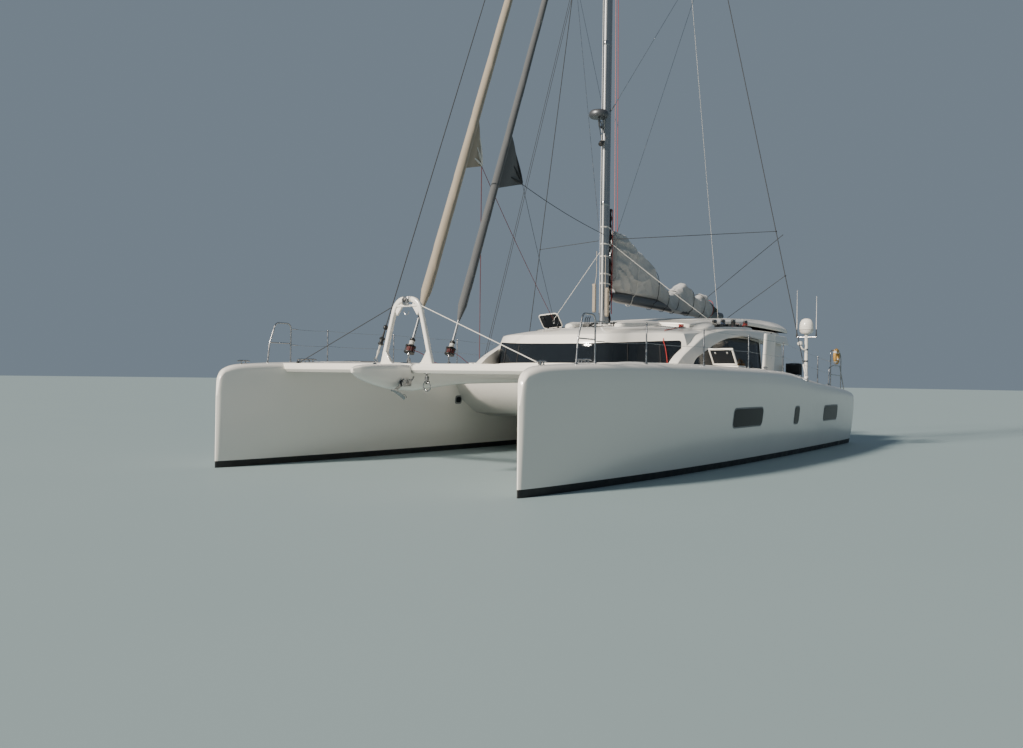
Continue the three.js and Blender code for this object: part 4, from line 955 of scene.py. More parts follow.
STACK = through([
    # aft, half width, top above the boom's middle
    [0.06, 0.100, 0.640],
    [0.15, 0.170, 1.480],
    [0.45, 0.265, 1.430],
    [0.90, 0.255, 1.280],
    [1.80, 0.260, 0.970],
    [2.40, 0.230, 0.560],
    [3.05, 0.180, 0.350],
    [3.70, 0.220, 0.560],
    [3.95, 0.200, 0.690],
    [4.20, 0.220, 0.580],
    [4.75, 0.230, 0.400],
    [5.20, 0.210, 0.500],
    [6.00, 0.140, 0.260],
    [6.45, 0.060, 0.150],
])


def ridge(spot):
    """Sharp crests between soft hollows."""
    return 1 - 2 * min(0.5, abs(noise.noise(spot)) * 1.6)


def stack_form(cloth, start, end, grow=0.0):
    """The flaked sail: pleats gather at the mast, it sags aft of them and hides the boom's after part."""
    rings = []
    for aft in [*np.linspace(max(0.075, start), 0.2, 6), *np.linspace(0.25, end, 190)]:
        if aft < start:
            continue
        half, top = (float(v) for v in STACK(aft))
        half, top = half + grow, top + grow
        low = 0.10 if aft > 0.25 else 0.17
        low -= 0.24 * min(1, max(0, (aft - 2.3) / 0.9)) * min(1, max(0, (6.3 - aft) / 0.6))
        ring = []
        for _, c, s in turns(72):
            y = half * bulged(c, 0.8)
            z = low + (top - low) * (0.5 + 0.5 * bulged(s, 0.9))
            near = max(0, 1 - aft / 1.5)
            lean = z + aft * (0.35 + 0.5 * near)
            pleat = ridge(Vector((aft * (1.1 + 1.2 * near), math.copysign(3, y), lean * (3.4 + 1.6 * near))))
            soft = noise.noise(Vector((aft * 1.2, y * 3, z * 2.2 + 4)))
            crease = ridge(Vector((aft * 2.9, y * 4, z * 4 + 9)))
            room = min(1, half / 0.2) * min(1, max(0, z - low) / 0.06)
            calm = min(1, abs(y) / 0.10)
            push = ((0.045 + 0.055 * near) * pleat + 0.035 * soft + 0.016 * crease) * room * calm - 0.045
            y += math.copysign(1, y) * push if abs(y) > 0.03 else 0
            ring.append(GOOSENECK + Vector((-aft, y,
                                            z + (0.026 * crease - 0.02) * max(0, s) - 0.02 * aft / 6.7)))
        rings.append(ring)
    return Form(cloth).skin(rings)


stack_form(CANVAS, 0.0, 6.45).done("sail_stack", "boom_rig", ("mainsail_stack",), "canvas", sharp=60)
stack_form(CANVAS_DARK, 5.78, 6.47, 0.008).done("sail_end_cover", "boom_rig", slot="canvas", sharp=60)
ties = Form(ROPE_DARK)
for aft, finish in ((0.95, ROPE_WHITE), (2.05, ROPE_DARK), (2.75, ROPE_DARK), (3.35, ROPE_DARK),
                    (4.25, ROPE_DARK), (5.0, ROPE_DARK), (5.7, ROPE_RED)):
    half, top = (float(v) for v in STACK(aft))
    low = -0.15
    ties.use(finish)
    path = []
    for turn, c, s in turns(40):
        y = (half + 0.004) * bulged(c, 0.8)
        z = low + (top - low) * (0.5 + 0.5 * bulged(s, 0.9)) + 0.004 * s
        path.append(GOOSENECK + Vector((-aft - 0.05 * math.sin(turn * 2), y * (0.72 if s < -0.6 else 1),
                                        z - 0.02 * aft / 6.7)))
    ties.sweep(path, 0.0075, 6, closed=True)
ties.done("sail_ties", "boom_rig", slot="canvas")

# Furled headsails

HEADSAILS = {
    # foot, top, radius low and high, clew: its head, tip and foot as x, z
    "genoa": {"foot": (6.18, 1.99), "top": (-0.17, 17.6), "radius": (0.092, 0.052),
              "clew": ((4.44, 6.19), (4.29, 5.30), (4.82, 5.16))},
    "staysail": {"foot": (5.13, 1.99), "top": (-0.18, 14.9), "radius": (0.082, 0.046),
                 "clew": ((3.40, 6.12), (2.98, 5.22), (3.84, 4.99))},
}


def rolled_sail(sail, cloth):
    """Cloth wound on its foil: the layers end in a raised edge that climbs round the roll."""
    foot = Vector((sail["foot"][0], 0, sail["foot"][1]))
    top = Vector((sail["top"][0], 0, sail["top"][1]))
    axis = (top - foot).normalized()
    across = Vector((0, 1, 0))
    ahead = across.cross(axis).normalized()
    length = (top - foot).length
    low, high = sail["radius"]
    form = Form(cloth)
    rings = []
    stations = [0.042 + (0.93 - 0.042) * i / 260 for i in range(261)]
    for share in stations:
        ends = min(1, (share - 0.042) / 0.03 + 0.32, (0.93 - share) / 0.05 + 0.5)
        radius = (low + (high - low) * share) * min(1, ends)
        ring = []
        for k, (turn, c, s) in enumerate(turns(36)):
            wound = (turn / (2 * math.pi) - share * length / 1.35) % 1
            step = 0.06 * wound - 0.03 + 0.03 * noise.noise(Vector((share * length * 1.6, k * 0.35, 2)))
            r = radius * (0.97 + step)
            ring.append(foot + axis * (share * length) + (across * c + ahead * s) * r)
        rings.append(ring)
    form.skin(rings)
    form.use(ALLOY).sweep([foot + axis * (length * s) for s in (0.012, 0.985)], 0.022, sides=14)
    return form


for name, sail in HEADSAILS.items():
    cloth = GENOA if name == "genoa" else STAYSAIL
    form = rolled_sail(sail, cloth)
    head, tip, hem = (Vector((x, 0, z)) for x, z in sail["clew"])
    form.use(cloth)
    rings = []
    for t in np.linspace(0, 1, 12):
        up, down = head.lerp(tip, t), hem.lerp(tip, t)
        wave = 0.012 * math.sin(t * 7)
        rings.append([up + Vector((0, 0.008 + wave, 0)), up + Vector((0, -0.008 + wave, 0)),
                      down + Vector((0, -0.008 + wave, 0)), down + Vector((0, 0.008 + wave, 0))])
    form.skin(rings)
    form.use(SAIL_WHITE if name == "genoa" else ROPE_DARK)
    for aim in (head, head.lerp(hem, 0.33), head.lerp(hem, 0.7)):
        inner = tip.lerp(aim, 0.72)
        for out in (0.011, -0.011):
            form.sweep([tip.lerp(inner, t) + Vector((0, out + 0.012 * math.sin(t * 5), 0))
                        for t in np.linspace(0.04, 1, 6)],
                       0.017, sides=6, flat=0.25, up=(inner - tip).cross(Vector((0, 1, 0))))
    form.use(SHADED_STEEL).sweep([tip + Vector((0.035 + 0.02 * math.cos(t), 0, 0.02 * math.sin(t)))
                           for t in around(16)], 0.006, sides=8, closed=True)
    form.done(name + "_roll", "platform", (name + "_furled",), "rolled_sail", sharp=50)

# Platform pieces with rounded edges

for node, width in (("bridgedeck", 0.022), ("forward_crossbeam", 0.018), ("aft_bulkhead", 0.006)):
    softened(node, width, GELCOAT)
for side, sign in SIDES:
    softened("helm_pedestal_" + side, 0.018, GELCOAT)
    softened("hatch_rim_" + side, 0.008, GELCOAT)

SPINE = through([
    # x, half width, top, bottom
    [7.50, 0.026, 1.668, 1.600],
    [7.35, 0.092, 1.712, 1.520],
    [7.05, 0.145, 1.738, 1.430],
    [6.65, 0.172, 1.745, 1.355],
    [6.15, 0.185, 1.745, 1.330],
    [5.70, 0.170, 1.740, 1.370],
    [4.80, 0.170, 1.735, 1.440],
    [1.70, 0.170, 1.735, 1.480],
])


def spine_form():
    rings = []
    for x in [7.507, *np.linspace(7.5, 6.1, 40), *np.linspace(6.0, 1.9, 34)]:
        half, top, low = (float(v) for v in SPINE(min(x, 7.5)))
        size = 0.4 if x > 7.5 else 1
        ring = []
        for _, c, s in turns(40, 0.5):
            power = 0.34 if s > 0 else 0.85
            ring.append((x, size * half * bulged(c, power),
                         (top + low) / 2 + size * (top - low) / 2 * bulged(s, power)))
        rings.append(ring)
    return Form(GELCOAT).skin(rings)


spine = spine_form().thing("spine_skin")
beam_cut = Form(GELCOAT).block((6.139, -0.5, 1.609), (6.361, 0.5, 2.0), 0.03).thing("cut")
combine(spine, [beam_cut], "DIFFERENCE")
settle(spine, "platform", ("centre_spine",), sharp=40)

CROSSBEAM_X = 6.25
striker = Form(GELCOAT)
leg = [(0.500, 1.762), (0.455, 1.93), (0.365, 2.28), (0.275, 2.60), (0.225, 2.70), (0.150, 2.765),
       (0.075, 2.785), (0, 2.79)]
centre_line = [Vector((0, y, z)) for y, z in leg] + [Vector((0, -y, z)) for y, z in leg[-2::-1]]
line = along(centre_line, 0.035)
rings = []
for i, p in enumerate(line):
    before, after = line[max(0, i - 1)], line[min(len(line) - 1, i + 1)]
    t = (after - before).normalized()
    out = Vector((0, -t.z, t.y))
    wide = 0.034 + 0.012 * max(0, (p.z - 2.5) / 0.3)
    rings.append([Vector((CROSSBEAM_X, 0, 0)) + p + out * wide * bulged(c, 0.6)
                  + Vector((1, 0, 0)) * 0.042 * bulged(s, 0.6) for _, c, s in turns(16)])
striker.skin(rings)
on_beam = Matrix.Translation((CROSSBEAM_X, 0, 0)) @ FACING_X
for sign in (1, -1):
    gusset = [(0.54, 1.7605), (0.50, 1.80), (0.475, 1.97), (0.43, 1.97), (0.33, 1.80), (0.285, 1.7605)]
    striker.plate(mirrored(gusset, sign), -0.040, 0.040, matrix=on_beam, edge=0.006)
    shoulder = [(0.25, 2.62), (0.12, 2.725), (0.10, 2.68), (0.21, 2.53)]
    striker.plate(mirrored(shoulder, sign), -0.02, 0.02, matrix=on_beam, edge=0.004)
striker.block((6.215, -0.2, 2.665), (6.285, 0.2, 2.70), 0.012)
striker.use(SHADED_STEEL).block((6.288, -0.055, 2.69), (6.306, 0.055, 2.83), 0.008)
striker.lathe([(0.052, -0.01), (0.052, 0.0), (0.040, 0.006), (0.040, 0.02), (0.052, 0.026), (0.052, 0.034)],
              (6.306, 0.0, 2.765), (1, 0, 0), 24)
striker.use(BLACK).lathe([(0.03, -0.002), (0.03, 0.04), (0.018, 0.046)], (6.306, 0.0, 2.765), (1, 0, 0), 20)
striker.use(SHADED_STEEL).sweep([(CROSSBEAM_X + 0.03, 0.05 * math.cos(t), 2.60 + 0.06 * math.sin(t))
                          for t in np.linspace(math.pi, 2 * math.pi, 14)], 0.006, 8)
striker.done("striker", "platform", ("striker_arch",), "gelcoat", sharp=40)

# Hull details

for side, sign in SIDES:
    tree = hulls[side]
    look = "-y" if sign > 0 else "+y"
    look_in = "+y" if sign > 0 else "-y"
    ports = Form(TINTED)
    frames = Form(TRIM_GREY)
    for outline, radius in (
        ([(0.06, 0.73), (1.53, 0.73), (1.53, 1.05), (0.06, 1.05)], 0.10),
        ([(-2.28, 0.69), (-1.98, 0.69), (-1.98, 1.03), (-2.28, 1.03)], 0.09),
        ([(-5.49, 0.69), (-4.25, 0.69), (-4.25, 1.01), (-5.49, 1.01)], 0.09),
    ):
        grown = [(x + 0.028 * (1 if x > sum(p[0] for p in outline) / 4 else -1),
                  z + 0.028 * (1 if z > sum(p[1] for p in outline) / 4 else -1)) for x, z in outline]
        conform(frames, rounded(grown, radius + 0.02), tree, look, 0.0, 0.004, 0.09)
        conform(ports, rounded(outline, radius), tree, look, 0.004, 0.004, 0.09)
    inner = [(1.73, 1.02), (1.89, 1.02), (1.89, 1.14), (1.73, 1.14)]
    conform(frames, rounded([(1.70, 0.99), (1.92, 0.99), (1.92, 1.17), (1.70, 1.17)], 0.06), tree, look_in,
            0.0, 0.006, 0.05, begin=0)
    conform(ports, rounded(inner, 0.05), tree, look_in, 0.006, 0.004, 0.05, begin=0)
    frames.done("hull_window_frames_" + side, slot="black_fitting")
    ports.done("hull_windows_" + side, slot="glass")

    grip = Form(NONSKID)
    for x0, x1 in ((6.95, 5.35), (5.28, 3.65), (3.58, 2.05), (1.98, 0.52), (-0.52, -1.72), (-2.98, -4.02),
                   (-4.30, -5.40)):
        edge = [(x, float(hull_at(x)[0]) - 0.15 - 0.03 * min(1, max(0, (6.9 - x) / 3)))
                for x in np.linspace(x0, x1, 10)]
        outline = [(x, sign * HULL_Y + y) for x, y in edge] + [(x, sign * HULL_Y - y) for x, y in edge[::-1]]
        corners = [0.05 if i in (0, 9, 10, 19) else 0 for i in range(20)]
        conform(grip, rounded(outline, corners), tree, "-z", 0.0, 0.0022, 0.13)
    for front, tread in STEPS_AFT:
        back = front - 0.36
        conform(grip, rounded([(front - 0.05, sign * 3 - 0.34), (front - 0.05, sign * 3 + 0.34),
                               (back, sign * 3 + 0.34),
                               (back, sign * 3 - 0.34)], 0.05), tree, "-z", 0.0, 0.0022, 0.13)
    grip.done("deck_grip_" + side, slot="gelcoat")

    gear = Form(SHADED_STEEL)
    for x, out in ((5.75, -0.12), (5.55, -0.12), (-0.9, 0.42), (-5.55, 0.45), (7.0, 0.0)):
        z = deck_z(x, out)
        y = sign * (HULL_Y + out)
        for dx in (-0.045, 0.045):
            gear.lathe([(0.024, -0.004), (0.024, 0.004), (0.011, 0.010), (0.011, 0.048)], (x + dx, y, z),
                       sides=16)
        gear.sweep(bent([(x - 0.13, y, z + 0.040), (x - 0.07, y, z + 0.052), (x + 0.07, y, z + 0.052),
                         (x + 0.13, y, z + 0.040)], 0.03),
                   0.012, 10)
    gear.use(BLACK)
    for x in (3.2, 2.6, 1.6):
        z = deck_z(x, -0.35)
        gear.block((x - 0.09, sign * (HULL_Y - 0.35) - 0.035, z - 0.003),
                   (x + 0.09, sign * (HULL_Y - 0.35) + 0.035, z + 0.012), 0.005)
    gear.done("deck_cleats_" + side, slot="stainless")

    flush = Form(TINTED)
    frame_ring = Form(SHADED_STEEL)
    for x, y0 in ((4.1, 0.0), (-1.25, 0.0), (-3.4, 0.05)):
        half = 0.24
        cy = sign * HULL_Y + y0
        conform(frame_ring, rounded(square(x, cy, half, 0.03), 0.07), tree, "-z", 0.002, 0.010, 0.12)
        conform(flush, rounded(square(x, cy, half), 0.05), tree, "-z", 0.012, 0.005, 0.12)
    frame_ring.done("flush_hatch_frames_" + side, slot="stainless")
    flush.done("flush_hatches_" + side, slot="hatch_glass")

    ladder = Form(SHADED_STEEL)
    y0 = sign * HULL_Y
    for dy in (-0.17, 0.17):
        ladder.sweep(bent([(-7.42, y0 + dy, 0.34), (-7.47, y0 + dy, 0.36), (-7.47, y0 + dy, 0.98),
                           (-7.3, y0 + dy, 1.02)], 0.04), 0.013, 10)
    for z in (0.46, 0.68, 0.90):
        ladder.block((-7.495, y0 - 0.17, z - 0.012), (-7.455, y0 + 0.17, z + 0.012), 0.008)
    ladder.done("stern_ladder_" + side, slot="stainless")

# The deck hatch stands open on the port hull and is shut to starboard.
for side, sign in SIDES:
    angle = math.radians(HATCH["open"] if sign > 0 else 0)
    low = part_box("hatch_lid_" + side)[0]
    hinge_z = low.z + 0.012 if sign > 0 else low.z - FIT + HATCH["hinge"]
    pivot = Matrix.Translation((HATCH["x"], sign * HULL_Y, hinge_z)) @ Matrix.Rotation(angle, 4, "Y")
    half = HATCH["wide"] / 2
    lid = Form(GELCOAT)
    base = FIT - HATCH["hinge"]
    for x0, x1, y0, y1 in ((-HATCH["long"], -0.385, -half, half), (-0.043, -0.008, -half, half),
                           (-0.40, -0.03, -half, -half + 0.035),
                           (-0.40, -0.03, half - 0.035, half)):
        lid.block((x0, y0, base), (x1, y1, base + 0.034), 0.010, matrix=pivot)
    lid.use(TINTED).block((-0.392, -half + 0.028, base + 0.008), (-0.036, half - 0.028, base + 0.028), 0.006,
                          matrix=pivot)
    lid.use(SHADED_STEEL)
    for y in (-0.12, 0.12):
        lid.sweep([pivot @ Vector((0, y - 0.028, 0)), pivot @ Vector((0, y + 0.028, 0))], 0.0118, 12)
        lid.block((-0.35, y - 0.018, base + 0.034), (-0.30, y + 0.018, base + 0.042), 0.004, matrix=pivot)
    lid.done("hatch_cover_" + side, "hatch_lid_" + side, ("hatch_lid_" + side,), "hatch_glass")

# Trampolines


def hull_inner(x, z, sign):
    """The inner side of a hull at a height, as y."""
    best = None
    for (y0, z0), (y1, z1) in zip(half_section(x), half_section(x)[1:]):
        if (z0 - z) * (z1 - z) <= 0 and z1 != z0:
            best = y0 + (y1 - y0) * (z - z0) / (z1 - z0)
    return sign * (HULL_Y - (best or 0.2))


NET_Z = 1.70
for side, sign in SIDES:
    net = Form(NET)
    front, back = 6.10, 2.02
    spacing = 0.05

    def limits(x):
        return sign * 0.20, hull_inner(x, NET_Z, sign) - sign * 0.035

    def dip(x, y):
        a, b = limits(x)
        u, v = (y - a) / (b - a), (x - back) / (front - back)
        return NET_Z - 0.028 * max(0, 4 * u * (1 - u)) * max(0, 4 * v * (1 - v)) ** 0.5

    count = int((front - back) / spacing)
    for i in range(count + 1):
        x = back + (front - back) * i / count
        a, b = limits(x)
        net.sweep([(x, y, dip(x, y) + 0.0015) for y in np.linspace(a, b, 8)], 0.0034, sides=4)
    count = int((abs(limits(back)[0]) + 3) / spacing)
    for j in range(count):
        y = sign * (0.21 + j * spacing)
        xs = [x for x in np.linspace(back, front, 60) if abs(y) < abs(limits(x)[1])]
        if len(xs) < 6:
            continue
        net.sweep([(x, y, dip(x, y) - 0.0015) for x in np.linspace(xs[0], xs[-1], 10)], 0.0034, sides=4)
    rim = [(x, limits(x)[1], NET_Z) for x in np.linspace(back, front, 16)]
    rim += [(front, y, NET_Z) for y in np.linspace(limits(front)[1], limits(front)[0], 6)[1:]]
    rim += [(x, limits(x)[0], NET_Z) for x in np.linspace(front, back, 12)[1:]]
    rim += [(back, y, NET_Z) for y in np.linspace(limits(back)[0], limits(back)[1], 8)[1:-1]]
    net.use(SAIL_WHITE).sweep(rim, 0.026, sides=8, closed=True)
    net.done("net_" + side, "platform", ("trampoline_" + side,), "net")
    lacing = Form(ROPE_WHITE)
    for i in range(46):
        x = back + 0.04 + (front - back - 0.08) * i / 45
        a, b = limits(x)
        shift = 0.03 if i % 2 else -0.03
        for y, reach, lift in ((b, 0.05, 0.004), (a, -0.03, 0.01)):
            lacing.sweep([(x, y, NET_Z + 0.018), (x + shift, y + sign * reach, NET_Z + lift)], 0.0032,
                         sides=5)
    for j in range(26):
        shift = 0.03 if j % 2 else -0.03
        for x, reach in ((front, 0.045), (back, -0.05)):
            a, b = limits(x)
            y = a + (b - a) * (j + 0.5) / 26
            lacing.sweep([(x, y, NET_Z + 0.018), (x + reach, y + shift, NET_Z)], 0.0032, sides=5)
    lacing.done("net_lacing_" + side)

# Rails


def tube_foot(form, x, y, z):
    """A welded base with its two screw heads."""
    form.lathe([(0.033, -0.004), (0.033, 0.005), (0.020, 0.010), (0.0185, 0.028)], (x, y, z), sides=20)
    for dx in (-0.024, 0.024):
        form.lathe([(0.0045, 0.004), (0.0045, 0.0075), (0.002, 0.009)], (x + dx, y, z), sides=8)


PULPIT = {"front": 6.34, "back": 5.80, "out": 0.15, "high": 0.70}
STANCHIONS = (4.62, 2.57, 0.33, -1.80, -4.4)
PUSHPIT = {"front": -5.75, "back": -6.72, "out": 0.44, "high": 0.90}
STANCHION_HIGH = 0.64
LINE_SHARES = (0.96, 0.5)
TUBE = 0.0135
BRACE = 0.011

for side, sign in SIDES:
    front, back = PULPIT["front"], PULPIT["back"]
    y = sign * (HULL_Y + PULPIT["out"])
    zf, zb = deck_z(front, PULPIT["out"]), deck_z(back, PULPIT["out"])
    top = zb + PULPIT["high"]
    hoop = Form(SHADED_STEEL)
    hoop.sweep(bent([(front, y, zf), (6.295, y, zf + 0.36), (6.16, y, top), (back, y, top), (back, y, zb)],
                    0.11), TUBE, 14)
    hoop.sweep([(6.298, y, zb + 0.34), (back, y, zb + 0.34)], BRACE, 12)
    tube_foot(hoop, front, y, zf)
    tube_foot(hoop, back, y, zb)
    hoop.done("bow_rail_" + side, "platform", ("pulpit_" + side,), "stainless")

    rail = Form(SHADED_STEEL)
    posts = []
    for x in STANCHIONS:
        out = 0.40 if x > 4 else 0.50
        z = deck_z(x, out)
        posts.append(Vector((x, sign * (HULL_Y + out), z)))
        tube_foot(rail, x, sign * (HULL_Y + out), z)
        rail.lathe([(0.012, 0.0), (0.012, 0.625), (0.009, 0.637), (0.004, 0.641)], posts[-1], sides=14)
        for share in LINE_SHARES:
            eye = STANCHION_HIGH * share
            rail.lathe([(0.0155, eye - 0.010), (0.0155, eye + 0.010)], posts[-1], sides=14)
    front, back = PUSHPIT["front"], PUSHPIT["back"]
    yp = sign * (HULL_Y + PUSHPIT["out"])
    zp, zq = deck_z(front, PUSHPIT["out"]), deck_z(back, PUSHPIT["out"])
    for share in LINE_SHARES:
        line = [Vector((5.788, y, zb + PULPIT["high"] * share * 0.9))]
        line += [p + Vector((0, 0, STANCHION_HIGH * share)) for p in posts]
        line.append(Vector((front + 0.013, yp, zp + STANCHION_HIGH * share)))
        path = []
        for a, b in zip(line, line[1:]):
            path += sagged(a, b, 0.012, 6)[:-1]
        path.append(line[-1])
        rail.sweep(path, 0.0032, 8)
        for a, b in ((line[0], line[1]), (line[-1], line[-2])):
            t = (b - a).normalized()
            rail.sweep([a + t * d for d in (0.0, 0.02, 0.03, 0.13, 0.14, 0.20)],
                       [0.004, 0.004, 0.0085, 0.0085, 0.005, 0.005], 10)
    rail.done("side_rail_" + side, "platform", ("rails_" + side,), "stainless")

    stern = Form(SHADED_STEEL)
    high = zp + PUSHPIT["high"]
    stern.sweep(bent([(front, yp, zp), (front, yp, high), (-6.60, yp, high - 0.04), (back, yp, high - 0.16),
                      (back, yp, zq)], 0.12), TUBE, 14)
    stern.sweep([(front, yp, zp + 0.30), (back, yp, zp + 0.27)], BRACE, 12)
    after_foot = deck_z(-7.02, PUSHPIT["out"])
    low_hoop = [(-5.58, yp, deck_z(-5.58, PUSHPIT["out"])), (-5.62, yp, zp + 0.47), (-6.0, yp, zp + 0.52),
                (-6.62, yp, zp + 0.52), (-7.02, yp, after_foot + 0.05), (-7.02, yp, after_foot)]
    stern.sweep(bent(low_hoop, 0.12), 0.0125, 12)
    tube_foot(stern, front, yp, zp)
    tube_foot(stern, back, yp, zq)
    stern.done("stern_rail_" + side, "platform", ("pushpit_" + side,), "stainless")

# Roof fittings and windows

shell = tree_of(house_form(0.0).thing("shell_guide"))
bpy.data.objects.remove(bpy.data.objects["shell_guide"])


def shell_at(look, a, b):
    """A point of the roof's uncut skin and its normal: look is "front" for (y, z), or a side for (x, z)."""
    start, way = {"front": (Vector((4, a, b)), Vector((-1, 0, 0))),
                  "port": (Vector((a, 4, b)), Vector((0, -1, 0))),
                  "starboard": (Vector((a, -4, b)), Vector((0, 1, 0)))}[look]
    place, normal, *_ = shell.ray_cast(start, way)
    return (place, -normal if normal.dot(way) > 0 else normal) if place else (None, None)


def bead(form, look, outline, radius, sink):
    """A round strip that follows an outline on the roof's skin, sunk a little below it."""
    path = []
    count = len(outline)
    for i in range(count):
        a, b = Vector(outline[i]), Vector(outline[(i + 1) % count])
        parts = max(1, math.ceil((b - a).length / 0.06))
        for k in range(parts):
            p = a.lerp(b, k / parts)
            place, normal = shell_at(look, p.x, p.y)
            if place is not None:
                path.append(place - normal * sink)
    return form.sweep(path, radius, 8, closed=True)


seals = Form(RUBBER)
bead(seals, "front", BAND, 0.009, 0.011)
for side, sign in SIDES:
    bead(seals, side, ARCH, 0.009, 0.011)
    edge = rounded([(-4.76, 1.83), (-3.98, 1.83), (-3.98, 2.46), (-4.76, 2.46)], 0.06)
    bead(seals, side, edge, 0.008, 0.006)
seals.done("window_seals", slot="black_fitting")

bars = Form(RUBBER)
for y in (-1.88, -1.32, 1.32, 1.88):
    low, high = shell_at("front", y, 1.90), shell_at("front", y * 0.98, 2.26)
    path = [low[0].lerp(high[0], t) for t in np.linspace(0, 1, 7)]
    path = [shell_at("front", p.y, p.z)[0] - shell_at("front", p.y, p.z)[1] * 0.012 for p in path]
    bars.sweep(path, 0.011, 8)
bars.done("window_bars", slot="black_fitting")

# Clear of the front glass on each side stands a narrow pane beyond a white post.
for side, sign in SIDES:
    quarter = Form(GLASS)
    outline = [(sign * 2.145, 1.90), (sign * 2.28, 1.90), (sign * 2.24, 2.04), (sign * 2.10, 2.17)]
    points, inner = [], []
    for y, z in rounded(outline, 0.02):
        place, normal = shell_at("front", y, z)
        if place is None:
            continue
        points.append(place + normal * 0.003)
        inner.append(place - normal * 0.002)
    if len(points) > 8:
        quarter.skin([inner, points])
        quarter.done("quarter_pane_" + side, slot="glass")

roof_gear = Form(GELCOAT)


def roof_place(x, y):
    place, *_ = roof.ray_cast(Vector((x, y, 5)), Vector((0, 0, -1)))
    return place.z


# Roof hatch, propped open.
OPEN_HATCH = {"hinge": (-0.02, -1.09), "half": 0.24, "length": 0.36, "angle": 52}
x0, y0 = OPEN_HATCH["hinge"]
half, long = OPEN_HATCH["half"], OPEN_HATCH["length"]
open_hatch = Form(SHADED_STEEL)
for finish, inset, radius, begin, thick in ((SHADED_STEEL, 0, 0.06, 0.0, 0.022), (BLACK, 0.03, 0.04, 0.022, 0.002)):
    low, high = (x0 + inset, y0 - half + inset), (x0 + long - inset, y0 + half - inset)
    outline = [low, (high[0], low[1]), high, (low[0], high[1])]
    conform(open_hatch.use(finish), rounded(outline, radius), roof, "-z", begin, thick, 0.1)
slope = math.atan2(roof_place(x0, y0 + half) - roof_place(x0, y0 - half), 2 * half)
stand = (Matrix.Translation((x0, y0, roof_place(x0, y0) + 0.035)) @ Matrix.Rotation(slope, 4, "X")
         @ Matrix.Rotation(-math.radians(OPEN_HATCH["angle"]), 4, "Y"))
open_hatch.use(GELCOAT)
lid = [(0, -half), (long, -half), (long, half), (0, half)]
rim = rounded(lid, 0.07)
open_hatch.sweep([stand @ Vector((x, y, 0.008)) for x, y in rim], 0.013, 8, closed=True)
open_hatch.use(TINTED).plate(rim, 0.002, 0.012, matrix=stand)
open_hatch.use(BLACK)
for y in (-half * 0.55, half * 0.55):
    open_hatch.block((-0.02, y - 0.02, -0.02), (0.03, y + 0.02, 0.018), 0.004, matrix=stand)
    open_hatch.lathe([(0.014, 0.0), (0.020, -0.012), (0.020, -0.022), (0.010, -0.030)],
                     stand @ Vector((long * 0.8, y, 0)),
                     stand.to_3x3() @ Vector((0, 0, 1)), 16)
arm = stand @ Vector((long * 0.55, half - 0.02, 0.0))
open_hatch.use(SHADED_STEEL).sweep([arm, Vector((x0 + long * 0.62, y0 + half - 0.02,
                                          roof_place(x0 + long * 0.62, y0 + half - 0.02) + 0.02))], 0.005, 8)
open_hatch.done("open_roof_hatch", slot="hatch_glass")


def moulding(rows, sink, power):
    """A rounded moulding on the roof, through rows of x, y, half width and height."""
    rings = []
    for x, y0, half, high in rows:
        base = roof_place(x, y0)
        rings.append([(x, y0 + half * math.cos(t), base - sink + (high + sink) * math.sin(t) ** power)
                      for t in np.linspace(0, math.pi, 13)]
                     + [(x, y0 + half * share, base - sink) for share in (-0.5, 0, 0.5)])
    roof_gear.skin(rings)


# Long moulded tunnel beside the mast foot, with the ropes' way aft.
TUNNEL = ((0.20, 0.04, 0.01), (0.14, 0.10, 0.09), (0.0, 0.125, 0.125), (-0.6, 0.13, 0.115),
          (-1.2, 0.13, 0.10), (-1.46, 0.12, 0.075))
for sign in (1, -1):
    moulding([(x, sign * (0.60 + 0.10 * max(0, -x - 0.3)), half, high) for x, half, high in TUNNEL], 0.02,
             0.6)

# Lip over the rope garage ahead of the winches. A black plate fills its mouth: painted shade for the dark
# opening.
LIP = ((-0.92, 0.10, 0.012), (-1.0, 0.16, 0.05), (-1.2, 0.19, 0.105), (-1.48, 0.20, 0.13),
       (-1.50, 0.195, 0.125))
for sign in (1, -1):
    moulding([(x, sign * 1.90, half, high) for x, half, high in LIP], 0.03, 0.5)
    base = roof_place(-1.5, sign * 1.9)
    roof_gear.use(BLACK).block((-1.515, sign * 1.9 - 0.165, base + 0.004),
                               (-1.47, sign * 1.9 + 0.165, base + 0.095), 0.012).use(GELCOAT)
roof_gear.done("roof_mouldings", slot="gelcoat", sharp=35)

panes = Form(TINTED)
frames = Form(SHADED_STEEL)
for x0, y0, half in ((0.30, 0.0, 0.22), (-0.95, -1.35, 0.24), (-0.95, 1.30, 0.24)):
    conform(frames, rounded(square(x0, y0, half, 0.028), 0.06), roof, "-z", 0.0, 0.014, 0.1)
    conform(panes, rounded(square(x0, y0, half), 0.04), roof, "-z", 0.014, 0.006, 0.1)
frames.done("roof_hatch_frames", slot="stainless")
panes.done("roof_hatches", slot="hatch_glass")

grip = Form(NONSKID)
for sign in (1, -1):
    outline = [(0.55, 0.36), (0.55, 0.95), (0.05, 1.7), (-0.55, 1.85), (-0.55, 1.62), (-0.20, 1.05),
               (0.22, 0.36)]
    conform(grip, rounded([(x, sign * y) for x, y in outline], 0.05), roof, "-z", 0.0, 0.0022, 0.12)
for x0, x1, half in ((-2.35, -3.4, 1.25), (-3.48, -4.6, 1.45), (-4.68, -5.75, 1.65)):
    conform(grip, rounded([(x0, -half), (x0, half), (x1, half), (x1, -half)], 0.08), hard, "-z", 0.0, 0.0022,
            0.16)
grip.done("roof_grip", slot="gelcoat")

# Winches

WINCHES = (-1.75, -2.25, -2.90, -3.70)


